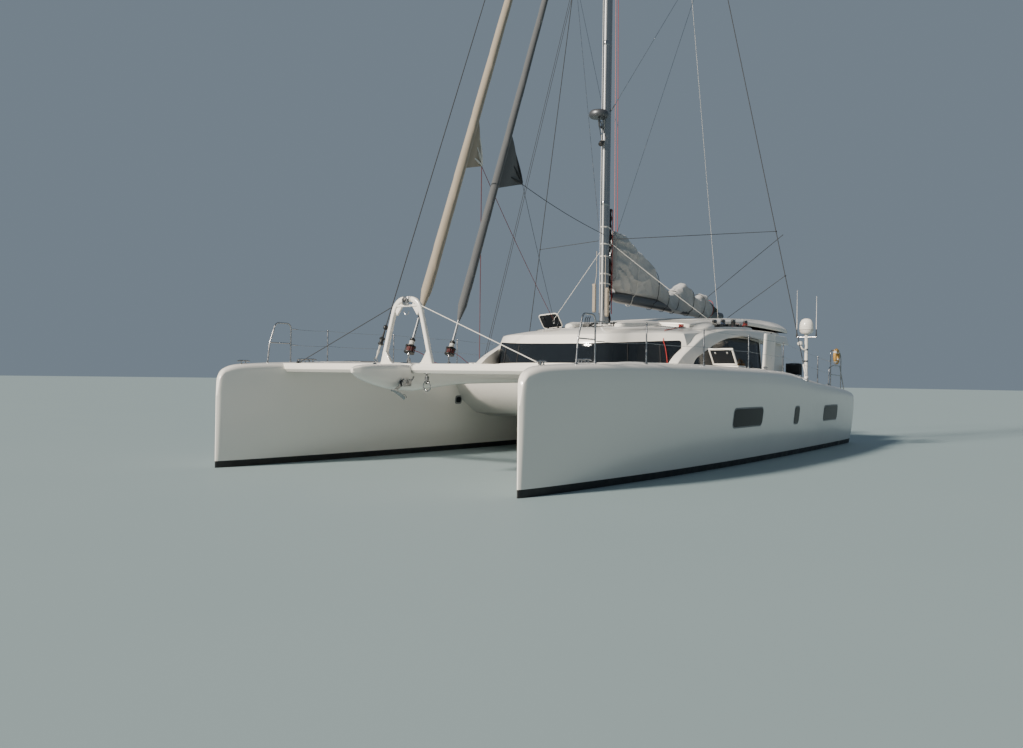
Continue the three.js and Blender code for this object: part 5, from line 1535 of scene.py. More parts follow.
def winch(form, at, size=1.0):
    x, y, z = at

    def grow(rows):
        return [(r * size, h * size) for r, h in rows]

    form.use(BLACK).lathe(grow([(0.064, 0.0), (0.066, 0.012), (0.058, 0.022), (0.052, 0.030), (0.047, 0.045),
                                (0.046, 0.095), (0.050, 0.112),
                                (0.058, 0.118), (0.058, 0.122)]), at, sides=36)
    for _, c, s in turns(24):
        form.sweep([(x + 0.0475 * size * c, y + 0.0475 * size * s, z + h * size) for h in (0.038, 0.102)],
                   0.0028 * size, 5)
    form.use(SHADED_STEEL).lathe(grow([(0.050, 0.122), (0.062, 0.125), (0.062, 0.130), (0.046, 0.135),
                                (0.046, 0.139), (0.062, 0.144), (0.062, 0.149),
                                (0.048, 0.154)]), at, sides=36)
    form.use(BLACK).lathe(grow([(0.048, 0.154), (0.047, 0.164), (0.030, 0.170), (0.014, 0.170),
                                (0.013, 0.150)]), at, sides=28)
    form.sweep([(x + 0.045 * size, y, z + 0.150 * size), (x + 0.066 * size, y, z + 0.145 * size),
                (x + 0.072 * size, y, z + 0.118 * size)],
               [0.007, 0.008, 0.006], 8, flat=1.4)


for side, sign in SIDES:
    y = sign * 1.99
    row = Form(GELCOAT)
    rings = []
    xs = [-1.55, *np.linspace(-1.60, -3.86, 20), -3.90]
    for i, x in enumerate(xs):
        base = roof_place(x, y)
        inset = 0.6 if i in (0, len(xs) - 1) else 1
        outer = [(-0.098, -0.05), (-0.095, 0.018 * inset), (-0.080, 0.036 * inset), (0, 0.040 * inset),
                 (0.080, 0.036 * inset), (0.095, 0.018 * inset),
                 (0.098, -0.05), (0, -0.05)]
        rings.append([(x, y + v, base + h) for v, h in outer])
    row.skin(rings)
    for x in WINCHES:
        winch(row, (x, y, roof_place(x, y) + 0.038), 0.98)
    for i, x in enumerate((-1.93, -2.05, -2.44, -2.58, -3.12, -3.26)):
        base = roof_place(x, y) + 0.038
        row.use(BLACK)
        for j, dy in enumerate((-0.045, 0, 0.045)):
            row.block((x - 0.05, y + dy - 0.017, base), (x + 0.05, y + dy + 0.017, base + 0.045), 0.008)
            row.sweep([(x - 0.03, y + dy, base + 0.045), (x + 0.015, y + dy, base + 0.058),
                       (x + 0.055, y + dy, base + 0.054)],
                      [0.008, 0.009, 0.005], 8, flat=1.3)
    row.done("winch_row_" + side, "platform", ("winches_" + side,), "black_fitting", sharp=40)

    tails = Form(ROPE_WHITE)
    tones = (ROPE_WHITE, ROPE_BLUE, ROPE_DARK, ROPE_RED)
    for i, (x, tone) in enumerate(zip(WINCHES, tones)):
        base = roof_place(x, y) + 0.038
        tails.use(tone)
        wound = [(x + 0.0545 * math.cos(t), y + sign * 0.0545 * math.sin(t), base + 0.046 + 0.0045 * t)
                 for t in np.linspace(0, 4 * math.pi, 49)]
        lead = [(-1.50, y + sign * (0.03 * i - 0.10), roof_place(-1.51, y) + 0.05),
                (x + 0.35, y + sign * (0.015 * i - 0.03), roof_place(x + 0.3, y) + 0.062),
                (x + 0.12, y - sign * 0.02, base + 0.045)]
        tails.sweep(along(lead + wound[::6], 0.02) if x < -1.9 else along(wound[::6], 0.015), 0.0052, 8)
    tails.done("winch_ropes_" + side, slot="rolled_sail")

# Rigging


def taut(form, start, end, radius, sides=6, sag=0.0, parts=2):
    return form.sweep(sagged(start, end, sag, max(parts, 8 if sag else parts)), radius, sides)


def on_shroud(sign, share):
    """A point of a shroud between its foot and the spreader's tip."""
    return Vector((-2.85, sign * 3.70, 1.59)).lerp(Vector((-1.976, sign * 1.806, 11.392)), share)


for side, sign in SIDES:
    wire = Form(ROPE_DARK)
    foot = on_shroud(sign, 0)
    tip = Vector((SPREADER["tip"][0] - 0.026, sign * (SPREADER["tip"][1] + 0.026), SPREADER["z"] + 0.092))
    hounds = Vector((MAST["x"] - 0.06, sign * 0.085, MAST["hounds"]))
    up = (tip - foot).normalized()
    wire.sweep([foot + up * 0.50, tip - up * 0.05, tip, tip + (hounds - tip).normalized() * 0.05, hounds],
               0.0095, 10)
    wire.use(SHADED_STEEL).lathe([(0.0155, 0.40), (0.0155, 0.43), (0.011, 0.47), (0.0085, 0.52)], foot, up, 14)
    wire.lathe([(0.009, 0.10), (0.009, 0.14), (0.017, 0.15), (0.0185, 0.17), (0.0185, 0.33), (0.017, 0.35),
                (0.009, 0.36), (0.009, 0.41)],
               foot, up, 14)
    deck = deck_z(-2.85, 0.70)
    for dx in (-0.018, 0.018):
        wire.block((foot.x + dx - 0.004, foot.y - 0.022, deck - 0.02),
                   (foot.x + dx + 0.004, foot.y + 0.022, deck + 0.085), 0.004)
    wire.sweep([(foot.x - 0.028, foot.y, deck + 0.062), (foot.x + 0.028, foot.y, deck + 0.062)], 0.009, 10)
    wire.sweep([Vector((foot.x, foot.y, deck + 0.062)), foot + up * 0.12], 0.009, 10)
    wire.block((foot.x - 0.06, foot.y - 0.035, deck - 0.012), (foot.x + 0.06, foot.y + 0.030, deck + 0.006),
               0.004)
    wire.use(SAIL_WHITE).lathe([(0.0205, 0.14), (0.0205, 0.37)], foot, up, 14)
    wire.done("shroud_wire_" + side, "platform", ("shroud_" + side,), "stainless")

stays = Form(SHADED_STEEL)
for sign in (1, -1):
    tip = Vector((SPREADER["tip"][0] + 0.02, sign * (SPREADER["tip"][1] - 0.02), SPREADER["z"] + 0.06))
    for z, out in ((7.42, 0.088), (4.20, 0.088)):
        end = Vector((MAST["x"] - 0.02, sign * out, z))
        taut(stays, tip, end, 0.0055, 8)
        t = (tip - end).normalized()
        stays.lathe([(0.011, 0.0), (0.013, 0.02), (0.013, 0.16), (0.007, 0.19)], end, t, 10)
    top = Vector((MAST["x"] - 0.04, sign * 0.058, 19.9))
    taut(stays, tip, top, 0.0055, 8)
stays.done("mast_stays", slot="stainless")

halyards = Form(ROPE_PINK)
for dy, tone in ((-0.035, ROPE_PINK), (0.035, ROPE_RED)):
    halyards.use(tone)
    taut(halyards, (-0.86, dy, 4.86), (-0.56, dy * 0.6, 20.23), 0.0062, 6)
halyards.use(ROPE_WHITE)
taut(halyards, (MAST["x"] + 0.155, 0.03, 3.1), (MAST["x"] + 0.19, 0.03, 17.75), 0.0058, 6)
taut(halyards, (MAST["x"] + 0.155, -0.035, 3.0), (MAST["x"] + 0.175, -0.035, 15.0), 0.0058, 6)
halyards.use(ROPE_BLUE)
taut(halyards, (MAST["x"] + 0.06, -0.115, 3.0), (MAST["x"] + 0.04, -0.085, 15.2), 0.0055, 6)
halyards.use(ROPE_WHITE)
taut(halyards, (MAST["x"] - 0.10, 0.085, 4.55), (-2.00, 1.98, 2.76), 0.0068, 6, sag=0.02)
red_run = [Vector((x, y, roof_place(x, y) + 0.012)) for x, y in
           ((-1.30, 1.40), (-0.9, 1.50), (-0.4, 1.62), (0.0, 1.70), (0.25, 1.76), (0.42, 1.80))]
for y, z in ((1.88, 2.36), (1.93, 2.20), (1.96, 2.05), (1.98, 1.92), (1.99, 1.80)):
    place, normal = shell_at("front", y, z)
    red_run.append(place + normal * 0.012)
halyards.use(ROPE_RED).sweep(along(red_run, 0.05), 0.0075, 8)
halyards.sweep([Vector((-1.30 + 0.05 * math.cos(t) * (1 + 0.3 * math.sin(2.3 * t)),
                        1.40 + 0.05 * math.sin(t),
                        roof_place(-1.3, 1.4) + 0.035 + 0.02 * math.sin(1.7 * t)))
                for t in np.linspace(0, 22, 90)], 0.008, 6)
halyards.use(ROPE_DARK)
for sign in (1, -1):
    high = on_shroud(sign, 0.335)
    taut(halyards, high, (MAST["x"] - 0.11, sign * 0.075, 4.63), 0.0075, 6)
    ends = [high]
    if sign > 0:
        ends.append(on_shroud(sign, 0.235))
        taut(halyards, ends[1], (-2.46, 2.02, 2.99), 0.0075, 6)
    for p in ends:
        halyards.sweep([p + Vector((0.016 * math.cos(t), 0.016 * math.sin(t), 0.012 * math.sin(2 * t)))
                        for t in around(12)],
                       0.006, 6, closed=True)
halyards.done("halyards", slot="rolled_sail")

guy = Form(ROPE_DARK)
guy_ends = Vector((-3.01, 3.08, 4.86)), Vector((-5.80, 0.20, 3.80))
taut(guy, *guy_ends, 0.0075, 6, parts=24)
guy = guy.done("boom_guy", None, slot="rolled_sail")
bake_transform(guy)

CLEWS = {"genoa": Vector((4.30, 0, 5.30)), "staysail": Vector((2.99, 0, 5.22))}
sheets = Form(ROPE_WHITE)
taut(sheets, (MAST["x"] + 0.05, -0.09, 4.35), (0.22, -0.95, 2.84), 0.0055, 6)
taut(sheets, (-1.57, 1.30, 11.36), (-2.45, 1.80, 2.95), 0.0042, 6)
sheets.use(ROPE_WINE)
taut(sheets, CLEWS["genoa"], (0.75, -2.55, 1.85), 0.0075, 8, sag=0.10, parts=16)
taut(sheets, CLEWS["genoa"] + Vector((0, 0.01, -0.02)), (0.24, -0.93, 2.84), 0.0065, 6, sag=0.06, parts=12)
sheets.use(ROPE_DARK)
taut(sheets, CLEWS["staysail"], (MAST["x"] + 0.13, 0.02, 4.72), 0.0065, 8, sag=0.05)
taut(sheets, CLEWS["staysail"] + Vector((0, 0.015, -0.02)), (0.26, -0.91, 2.84), 0.0045, 6, sag=0.04)
for dx in (0.0, 0.07):
    taut(sheets, (-1.95 + dx, -1.74, 11.36), (0.45 + dx, -2.62, 1.86), 0.0065, 6)
taut(sheets, (CROSSBEAM_X, -0.03, 2.80), (CROSSBEAM_X, -2.46, 1.765), 0.0075, 8)
sheets.use(ROPE_WHITE)
taut(sheets, (CROSSBEAM_X, 0.20, 2.71), (CROSSBEAM_X, 2.50, 1.77), 0.0075, 8)
sheets.done("sheets_and_guys", slot="rolled_sail")

gear = Form(BLACK)
for at in ((0.75, -2.55, 1.85), (0.23, -0.93, 2.82), (CROSSBEAM_X, -2.46, 1.77), (CROSSBEAM_X, 2.50, 1.775)):
    x, y, z = at
    gear.use(BLACK).lathe([(0.012, -0.016), (0.036, -0.015), (0.036, -0.005), (0.024, 0.0), (0.036, 0.005),
                           (0.036, 0.015), (0.012, 0.016)],
                          (x, y, z), (0, 1, 0), 20)
    gear.use(SHADED_STEEL).block((x - 0.012, y - 0.020, z - 0.060), (x + 0.012, y + 0.020, z + 0.045), 0.005)
gear.done("deck_blocks", slot="stainless")

# Mast fittings

fittings = Form(ALLOY_DARK)
front = MAST["x"] + 0.13
fittings.sweep(bent([(front - 0.01, 0, 7.02), (front + 0.20, 0, 7.02), (front + 0.24, 0, 7.20)], 0.04),
               0.022, 12)
for sign in (1, -1):
    fittings.sweep([(front - 0.01, sign * 0.06, 6.80), (front + 0.22, sign * 0.02, 7.16)], 0.010, 8)
fittings.lathe([(0.06, 7.19), (0.18, 7.20), (0.205, 7.225), (0.212, 7.26), (0.205, 7.31), (0.175, 7.345),
                (0.08, 7.362), (0.02, 7.365)],
               (front + 0.235, 0, 0), sides=40)
fittings.use(BLACK).lathe([(0.035, 0.0), (0.052, 0.03), (0.055, 0.09), (0.05, 0.10)],
                          (front + 0.08, 0.0, 6.72), (0.6, 0, -0.8), 20)
fittings.use(BLACK).block((front - 0.01, -0.03, 6.70), (front + 0.09, 0.03, 6.76), 0.01)


def mast_band(z, size, steps, ends):
    """A band round the mast at a height, through steps of height and growth."""
    ring = [Vector(p) for p in mast_ring(z, size, 40)]
    fittings.skin([[(MAST["x"] + (p.x - MAST["x"]) * grow, p.y * grow, z + dz) for p in ring]
                   for dz, grow in steps], ends=ends)


STRAP = ((-0.014, 1.0), (-0.014, 1.045), (0.014, 1.045), (0.014, 1.0), (-0.014, 1.0))
COLLAR = ((-0.05, 1.002), (-0.045, 1.03), (0.045, 1.03), (0.05, 1.002))
for z in (4.88, 4.51, 4.24, 3.86, 3.65):
    fittings.use(SAIL_WHITE)
    mast_band(z, 1.03, STRAP, False)
    fittings.block((MAST["x"] - 0.175, 0.0, z - 0.016), (MAST["x"] - 0.125, 0.055, z + 0.016), 0.008)
fittings.use(SHADED_STEEL)
for z in (5.4, 8.9, 11.3, 14.9, 17.65):
    mast_band(z, 1.0, COLLAR, True)
for z, out in ((3.35, 1), (3.55, -1), (3.10, 1), (3.02, -1)):
    y = 0.088 * out
    fittings.use(SHADED_STEEL).block((MAST["x"] - 0.06, min(y, y + 0.016 * out), z - 0.06),
                              (MAST["x"] + 0.03, max(y, y + 0.016 * out), z + 0.06), 0.005)
    fittings.sweep(bent([(MAST["x"] - 0.02, y + 0.012 * out, z - 0.09),
                         (MAST["x"] - 0.02, y + 0.05 * out, z - 0.03),
                         (MAST["x"] - 0.02, y + 0.05 * out, z + 0.03),
                         (MAST["x"] - 0.02, y + 0.012 * out, z + 0.09)], 0.02), 0.009, 10)
for turn, c, s in turns(8, 0.5):
    at = Vector((MAST["x"] + 0.30 * c, 0.26 * s, 0))
    at.z = roof_place(at.x, at.y)
    fittings.use(SHADED_STEEL).block(at + Vector((-0.018, -0.018, -0.004)), at + Vector((0.018, 0.018, 0.045)),
                              0.006)
    fittings.use(BLACK).lathe([(0.012, -0.012), (0.030, -0.011), (0.030, -0.004), (0.020, 0), (0.030, 0.004),
                               (0.030, 0.011), (0.012, 0.012)],
                              at + Vector((0.0, 0, 0.062)),
                              (math.cos(turn + 1.57), math.sin(turn + 1.57), 0), 18)
fittings.use(BLACK).block((MAST["x"] - 0.185, -0.028, 2.80), (MAST["x"] - 0.135, 0.028, 3.28), 0.012)
for dx in (-0.20, 0.12):
    fittings.use(SHADED_STEEL).lathe([(0.05, -0.03), (0.05, 0.03)], (MAST["x"] + dx, 0, 20.245), (0, 1, 0), 20)
fittings.done("mast_fittings", slot="alloy", sharp=40)

# Furling drums and the light-air stay

for name, sail in HEADSAILS.items():
    foot = Vector((sail["foot"][0], 0, sail["foot"][1]))
    top = Vector((sail["top"][0], 0, sail["top"][1]))
    axis = (top - foot).normalized()
    drum = Form(BLACK)
    drum.lathe([(0.030, -0.064), (0.086, -0.060), (0.088, -0.054), (0.086, -0.047), (0.046, -0.040),
                (0.046, 0.040), (0.086, 0.047), (0.088, 0.054),
                (0.086, 0.061), (0.040, 0.068), (0.034, 0.080), (0.034, 0.150), (0.046, 0.160),
                (0.046, 0.178), (0.030, 0.19), (0.024, 0.20)],
               foot, axis, 36)
    across, ahead = Vector((0, 1, 0)), Vector((0, 1, 0)).cross(axis)
    for _, c, s in turns(10):
        way = across * c + ahead * s
        drum.sweep([foot + way * 0.080 + axis * -0.05, foot + way * 0.080 + axis * 0.05], 0.0045, 6)
    drum.use(ROPE_WINE)
    drum.sweep([foot + (across * math.cos(t) + ahead * math.sin(t)) * (0.053 + 0.004 * math.sin(t * 0.31))
                + axis * (-0.034 + 0.068 * (t / (22 * math.pi)))
                for t in np.linspace(0, 22 * math.pi, 242)], 0.0042, 6)
    drum.use(ROPE_WHITE)
    for k in range(7):
        h = 0.085 + 0.009 * k
        drum.sweep([foot + (across * math.cos(t) + ahead * math.sin(t)) * 0.038 + axis * h
                    for t in around(16)], 0.0045, 6,
                   closed=True)
    base = 1.7605 if name == "genoa" else 1.728
    drum.use(SHADED_STEEL).block((foot.x - 0.03, -0.028, base), (foot.x + 0.062, 0.028, base + 0.014), 0.004)
    for dy in (-0.018, 0.018):
        drum.plate([(foot.x - 0.005, base + 0.005), (foot.x + 0.055, base + 0.005),
                    (foot.x + 0.045, base + 0.085), (foot.x + 0.012, base + 0.085)],
                   dy - 0.004, dy + 0.004, matrix=FACING_Y, edge=0.002)
    drum.sweep([(foot.x + 0.028, -0.032, base + 0.065), (foot.x + 0.028, 0.032, base + 0.065)], 0.0085, 12)
    drum.sweep([(foot.x + 0.028, 0, base + 0.065), foot - axis * 0.10], 0.012, 12)
    drum.sweep([foot - axis * 0.10, foot - axis * 0.05], [0.020, 0.024], 12)
    drum.use(ROPE_RED)
    start = foot + across * 0.052 - axis * 0.01
    lead = [start, start + Vector((-0.20, 0.03, -0.05)), (foot.x - 0.55, 0.13, 1.775),
            (foot.x - 1.1, 0.145, 1.752), (2.3, 0.145, 1.747)]
    if name == "staysail":
        lead = [start, start + Vector((-0.20, 0.01, -0.07)), (foot.x - 0.50, 0.115, 1.757),
                (foot.x - 1.0, 0.12, 1.752), (2.3, 0.12, 1.747)]
    drum.sweep(along(lead, 0.06), 0.0045, 8)
    drum.done(name + "_drum_unit", "platform", (name + "_drum",), "black_fitting", sharp=40)

foot, top = Vector((7.0, 0, 1.755)), Vector((-0.19, 0, 18.9))
axis = (top - foot).normalized()
across, ahead = Vector((0, 1, 0)), Vector((0, 1, 0)).cross(axis)
light_stay = Form(ROPE_DARK)
light_stay.sweep([foot + axis * 0.52, top], 0.008, 10)
light_stay.use(BLACK)
light_stay.lathe([(0.012, 0.30), (0.040, 0.31), (0.046, 0.325), (0.030, 0.345), (0.030, 0.385),
                  (0.046, 0.405), (0.040, 0.42), (0.016, 0.44),
                  (0.014, 0.52), (0.010, 0.55)], foot, axis, 28)
light_stay.lathe([(0.010, -0.022), (0.034, -0.020), (0.040, -0.012), (0.040, 0.012), (0.034, 0.020),
                  (0.010, 0.022)], foot + axis * 0.60, (0, 1, 0), 24)
light_stay.use(ROPE_WHITE)
for k in range(6):
    shift = 0.010 * math.cos(k), 0.010 * math.sin(k)
    light_stay.sweep([foot + axis * 0.07 + across * shift[0] + ahead * shift[1],
                      foot + axis * 0.30 + across * shift[1] * 1.4 - ahead * shift[0] * 1.4],
                     0.0042, 6)
for k in range(5):
    light_stay.sweep([foot + axis * (0.17 + 0.009 * k) + (across * math.cos(t) + ahead * math.sin(t)) * 0.016
                      for t in around(12)],
                     0.004, 6, closed=True)
light_stay.use(SHADED_STEEL)
light_stay.sweep([foot + axis * 0.055 + across * 0.026 * math.cos(t) + Vector((0.02, 0, 0.03)) * math.sin(t)
                  for t in around(20)],
                 0.0065, 8, closed=True)
light_stay.lathe([(0.040, -0.020), (0.042, -0.006), (0.026, 0.004), (0.018, 0.016), (0.010, 0.02)],
                 (7.0, 0, 1.742), (0, 0, 1), 24)
light_stay.done("light_air_stay", "platform", ("sprit_stay",), "stainless")

# Cockpit, helms and saloon

SALOON_SOLE = 0.8605
COCKPIT_SOLE = 0.9605


def planking(form, low, high, z, planks):
    """Laid planks with a little space between them."""
    span = (high[1] - low[1]) / planks
    for i in range(planks):
        y0 = low[1] + span * i
        form.block((low[0], y0 + 0.002, z - 0.004), (high[0], y0 + span - 0.002, z + 0.006), 0.002, 1)


floors = Form(SOLE)
planking(floors, (-3.80, -2.02), (0.85, 2.02), 0.862, 30)
floors.done("saloon_floor", slot="wood_trim")
deck_floor = Form(NONSKID)
planking(deck_floor, (-5.42, -1.38), (-4.06, 1.40), 0.962, 6)
deck_floor.done("cockpit_floor_panels", slot="gelcoat")


def dial(form, profile, dy, tilt):
    """A turned shape laid on the tilted panel."""
    start = len(form.points)
    form.lathe(profile, (0, 0, 0))
    form.points[start:] = [tilt @ (p + Vector((0, dy, 0))) for p in form.points[start:]]


HELM = {"x": -4.1703, "y": 1.76, "z": 1.95, "face": -4.0503, "radius": 0.26}
for side, sign in SIDES:
    y0 = sign * HELM["y"]
    face = HELM["face"]
    reach = HELM["radius"]
    wheel = Form(SHADED_STEEL)
    at = Vector((HELM["x"], y0, HELM["z"]))
    ring = [at + Vector((0, reach * math.cos(t), reach * math.sin(t))) for t in around(72)]
    wheel.use(LEATHER).sweep(ring, 0.0155, 12, closed=True)
    for t, c, s in turns(60):
        p = at + Vector((-0.0150, reach * c, reach * s))
        q = at + Vector((-0.0150, reach * math.cos(t + 0.06), reach * math.sin(t + 0.06)))
        wheel.sweep([p, q], 0.0016, 4)
    wheel.use(SHADED_STEEL)
    for _, c, s in turns(5):
        out = Vector((0, c, s))
        wheel.sweep(along([at + Vector((-0.010, 0, 0)) + out * 0.02,
                           at + Vector((-0.014, 0, 0)) + out * 0.12, at + out * 0.25], 0.03),
                    0.0085, 10)
    wheel.lathe([(0.012, -0.024), (0.046, -0.022), (0.050, -0.008), (0.046, 0.012), (0.026, 0.022),
                 (0.0178, 0.026), (0.0178, 0.178)], at, (1, 0, 0), 32)
    wheel.use(BLACK).lathe([(0.004, -0.036), (0.022, -0.034), (0.028, -0.024), (0.028, -0.020)], at,
                           (1, 0, 0), 24)
    wheel.done("wheel_" + side, "wheel_" + side, ("helm_wheel_" + side,), "stainless")

    dash = Form(BLACK)
    slope = math.atan2(0.08, 0.09)
    tilt = Matrix.Translation((face + 0.045, y0, 2.08)) @ Matrix.Rotation(-slope, 4, "Y")
    dash.block((-0.045, -0.15, 0.0), (0.045, 0.15, 0.008), 0.003, matrix=tilt)
    for dy in (-0.09, 0.0, 0.09):
        dial(dash.use(SHADED_STEEL), [(0.036, 0.006), (0.038, 0.014), (0.033, 0.016)], dy, tilt)
        dial(dash.use(TINTED), [(0.032, 0.014), (0.030, 0.0175), (0.004, 0.018)], dy, tilt)
    dash.use(BLACK).lathe([(0.058, 0.0), (0.060, 0.012), (0.050, 0.020)], (face + 0.115, y0, 2.12),
                          (0, 0, 1), 32)
    dash.use(TINTED).lathe([(0.050, 0.015), (0.046, 0.045), (0.030, 0.066), (0.006, 0.072)],
                           (face + 0.115, y0, 2.12), (0, 0, 1), 32)
    dash.use(SHADED_STEEL).lathe([(0.028, -0.020), (0.030, -0.004), (0.0195, -0.0005), (0.0195, 0.004)],
                          (face, y0, HELM["z"]), (1, 0, 0), 28)
    inner = y0 - sign * 0.13
    dash.use(BLACK).block((face - 0.022, inner - 0.035, 1.60), (face + 0.004, inner + 0.035, 1.72), 0.010)
    dash.use(SHADED_STEEL).sweep(bent([(face - 0.015, inner, 1.66), (face - 0.055, inner, 1.68),
                                (face - 0.075, inner, 1.78)], 0.02), 0.007, 10)
    dash.use(BLACK).lathe([(0.004, -0.014), (0.014, -0.010), (0.016, 0.0), (0.014, 0.010), (0.004, 0.014)],
                          (face - 0.075, inner, 1.785), (0, 0, 1), 18)
    dash.use(SHADED_STEEL).sweep(bent([(face + 0.02, y0 - 0.17, 2.09), (face - 0.015, y0 - 0.17, 2.15),
                                (face - 0.015, y0 + 0.17, 2.15), (face + 0.02, y0 + 0.17, 2.09)], 0.04),
                          0.009, 10)
    dash.done("helm_dash_" + side, slot="black_fitting")


def tufted(name, low, high, finish):
    """A sewn cushion: crowned by pressure, with a welt round its upper and lower edge."""
    low, high = Vector(low), Vector(high)
    size = high - low
    inset = 0.010
    bm = bmesh.new()
    bmesh.ops.create_cube(bm, size=1)
    for v in bm.verts:
        v.co = (low + high) / 2 + Vector([v.co[i] * (size[i] - 2 * inset) for i in range(3)])
    bmesh.ops.bevel(bm, geom=bm.edges[:], offset=min(0.022, min(size) * 0.3), segments=2, profile=0.5,
                    affect="EDGES")
    mesh = bpy.data.meshes.new(name)
    bm.to_mesh(mesh)
    bm.free()
    pad = bpy.data.objects.new(name, mesh)
    bpy.context.scene.collection.objects.link(pad)
    remesh = pad.modifiers.new("remesh", "REMESH")
    remesh.mode = "VOXEL"
    remesh.voxel_size = max(0.012, max(size) / 95)
    applied(pad)
    before = [v.co.copy() for v in pad.data.vertices]
    cloth = pad.modifiers.new("cloth", "CLOTH")
    cloth.settings.use_pressure = True
    cloth.settings.uniform_pressure_force = 4
    cloth.settings.effector_weights.gravity = 0
    cloth.settings.quality = 4
    for step in range(1, 15):
        bpy.context.scene.frame_set(step)
    applied(pad)
    bpy.context.scene.frame_set(1)
    flat = min(range(3), key=lambda i: size[i])
    for v, start in zip(pad.data.vertices, before):
        push = v.co - start
        if push.length > 0.024:
            push = push.normalized() * 0.024
        v.co = start + push
        for i in range(3):
            v.co[i] = min(high[i] + (0.022 if i == flat else 0.002), max(low[i] - 0.001, v.co[i]))
    smooth = pad.modifiers.new("smooth", "CORRECTIVE_SMOOTH")
    smooth.iterations = 3
    smooth.use_only_smooth = True
    applied(pad)
    pad.data.materials.clear()
    pad.data.materials.append(finish)
    welt = Form(finish)
    others = [i for i in range(3) if i != flat]
    tree = tree_of(pad)
    for level in (low[flat] + 0.012, high[flat] - 0.012):
        corners = []
        for a, b in ((-1, -1), (1, -1), (1, 1), (-1, 1)):
            p = Vector((0, 0, 0))
            p[flat] = level
            p[others[0]] = (low[others[0]] + high[others[0]]) / 2 + a * size[others[0]] / 2
            p[others[1]] = (low[others[1]] + high[others[1]]) / 2 + b * size[others[1]] / 2
            corners.append(p)
        path = []
        for p in bent(corners, 0.04, 0.02, closed=True):
            near, normal, *_ = tree.find_nearest(p)
            path.append(near + normal * 0.001)
        welt.sweep(path, 0.0042, 6, closed=True)
    seams = welt.thing(name + "_welt")
    bm = bmesh.new()
    bm.from_mesh(pad.data)
    bm.from_mesh(seams.data)
    bm.to_mesh(pad.data)
    bm.free()
    bpy.data.objects.remove(seams)
    settle(pad, sharp=60)


for side, sign in SIDES:
    y0 = sign * 2.42
    base = Form(GELCOAT)
    base.block((-6.145, y0 - 0.205, 1.4805), (-5.835, y0 + 0.205, 1.655), 0.02)
    base.use(SHADED_STEEL)
    for y in (y0 - 0.20, y0 + 0.20):
        base.sweep(bent([(-6.13, y, 1.60), (-6.13, y, 2.02), (-6.13, y0, 2.04)], 0.06), 0.012, 10)
    base.done("seat_base_" + side, "platform", ("helm_seat_" + side,), "gelcoat")
    tufted("seat_cushion_" + side, (-6.07, y0 - 0.205, 1.656), (-5.832, y0 + 0.205, 1.742), HELM_COVER)
    tufted("seat_back_" + side, (-6.148, y0 - 0.228, 1.72), (-6.078, y0 + 0.228, 2.058), HELM_COVER)

bench_base = Form(MOULDED)
bench_base.block((-6.0495, -1.695, COCKPIT_SOLE), (-5.50, 1.695, 1.30), 0.02)
bench_base.block((-5.495, 1.455, COCKPIT_SOLE), (-4.755, 2.055, 1.30), 0.02)
bench_base.done("cockpit_bench_base", "platform", ("cockpit_bench",), "gelcoat")
for i, (y0, y1) in enumerate(((-1.69, -0.575), (-0.565, 0.565), (0.575, 1.69))):
    tufted("cockpit_cushion_%d" % i, (-6.04, y0, 1.302), (-5.485, y1, 1.388), UPHOLSTERY)
tufted("cockpit_cushion_3", (-5.49, 1.46, 1.302), (-4.76, 2.05, 1.388), UPHOLSTERY)


def table_top(name, low, high, top, leg, foot, node):
    piece = Form(WOOD)
    piece.block((low[0], low[1], top - 0.034), (high[0], high[1], top), 0.012)
    for y in (low[1] + 0.03, high[1] - 0.03):
        piece.block((low[0] + 0.02, y - 0.022, top - 0.002), (high[0] - 0.02, y + 0.022, top + 0.010), 0.006)
    piece.use(SHADED_STEEL).lathe([(0.13, 0.0), (0.13, 0.008), (0.055, 0.016), (0.046, 0.03),
                            (0.046, top - foot - 0.10), (0.060, top - foot - 0.05),
                            (0.10, top - foot - 0.034)], (leg[0], leg[1], foot), sides=32)
    piece.done(name, "platform", (node,), "wood_trim")


table_top("cockpit_table_top", (-5.30, 0.48), (-4.45, 1.25), 1.6785, (-4.875, 0.86), COCKPIT_SOLE,
          "cockpit_table")
table_top("saloon_table_top", (-1.50, 0.72), (-0.50, 1.40), 1.5585, (-1.0, 1.06), SALOON_SOLE,
          "saloon_table")

settee = Form(WOOD)
for low, high in (((-2.295, 1.51, SALOON_SOLE), (0.295, 2.075, 1.18)),
                  ((-2.295, 0.705, SALOON_SOLE), (-1.71, 1.51, 1.18)),
                  ((-0.295, 0.705, SALOON_SOLE), (0.295, 1.51, 1.18))):
    settee.block(low, high, 0.012)
settee.done("settee_base", "platform", ("saloon_settee",), "wood_trim")
for i, (low, high) in enumerate((
    ((-2.29, 1.52, 1.182), (-1.01, 1.90, 1.278)), ((-0.99, 1.52, 1.182), (0.29, 1.90, 1.278)),
    ((-2.29, 0.71, 1.182), (-1.715, 1.505, 1.278)), ((-0.29, 0.71, 1.182), (0.29, 1.505, 1.278)),
)):
    tufted("settee_cushion_%d" % i, low, high, UPHOLSTERY)
for i, (x0, x1) in enumerate(((-2.29, -1.44), (-1.42, -0.58), (-0.56, 0.29))):
    tufted("settee_back_%d" % i, (x0, 1.915, 1.20), (x1, 2.07, 1.66), UPHOLSTERY)

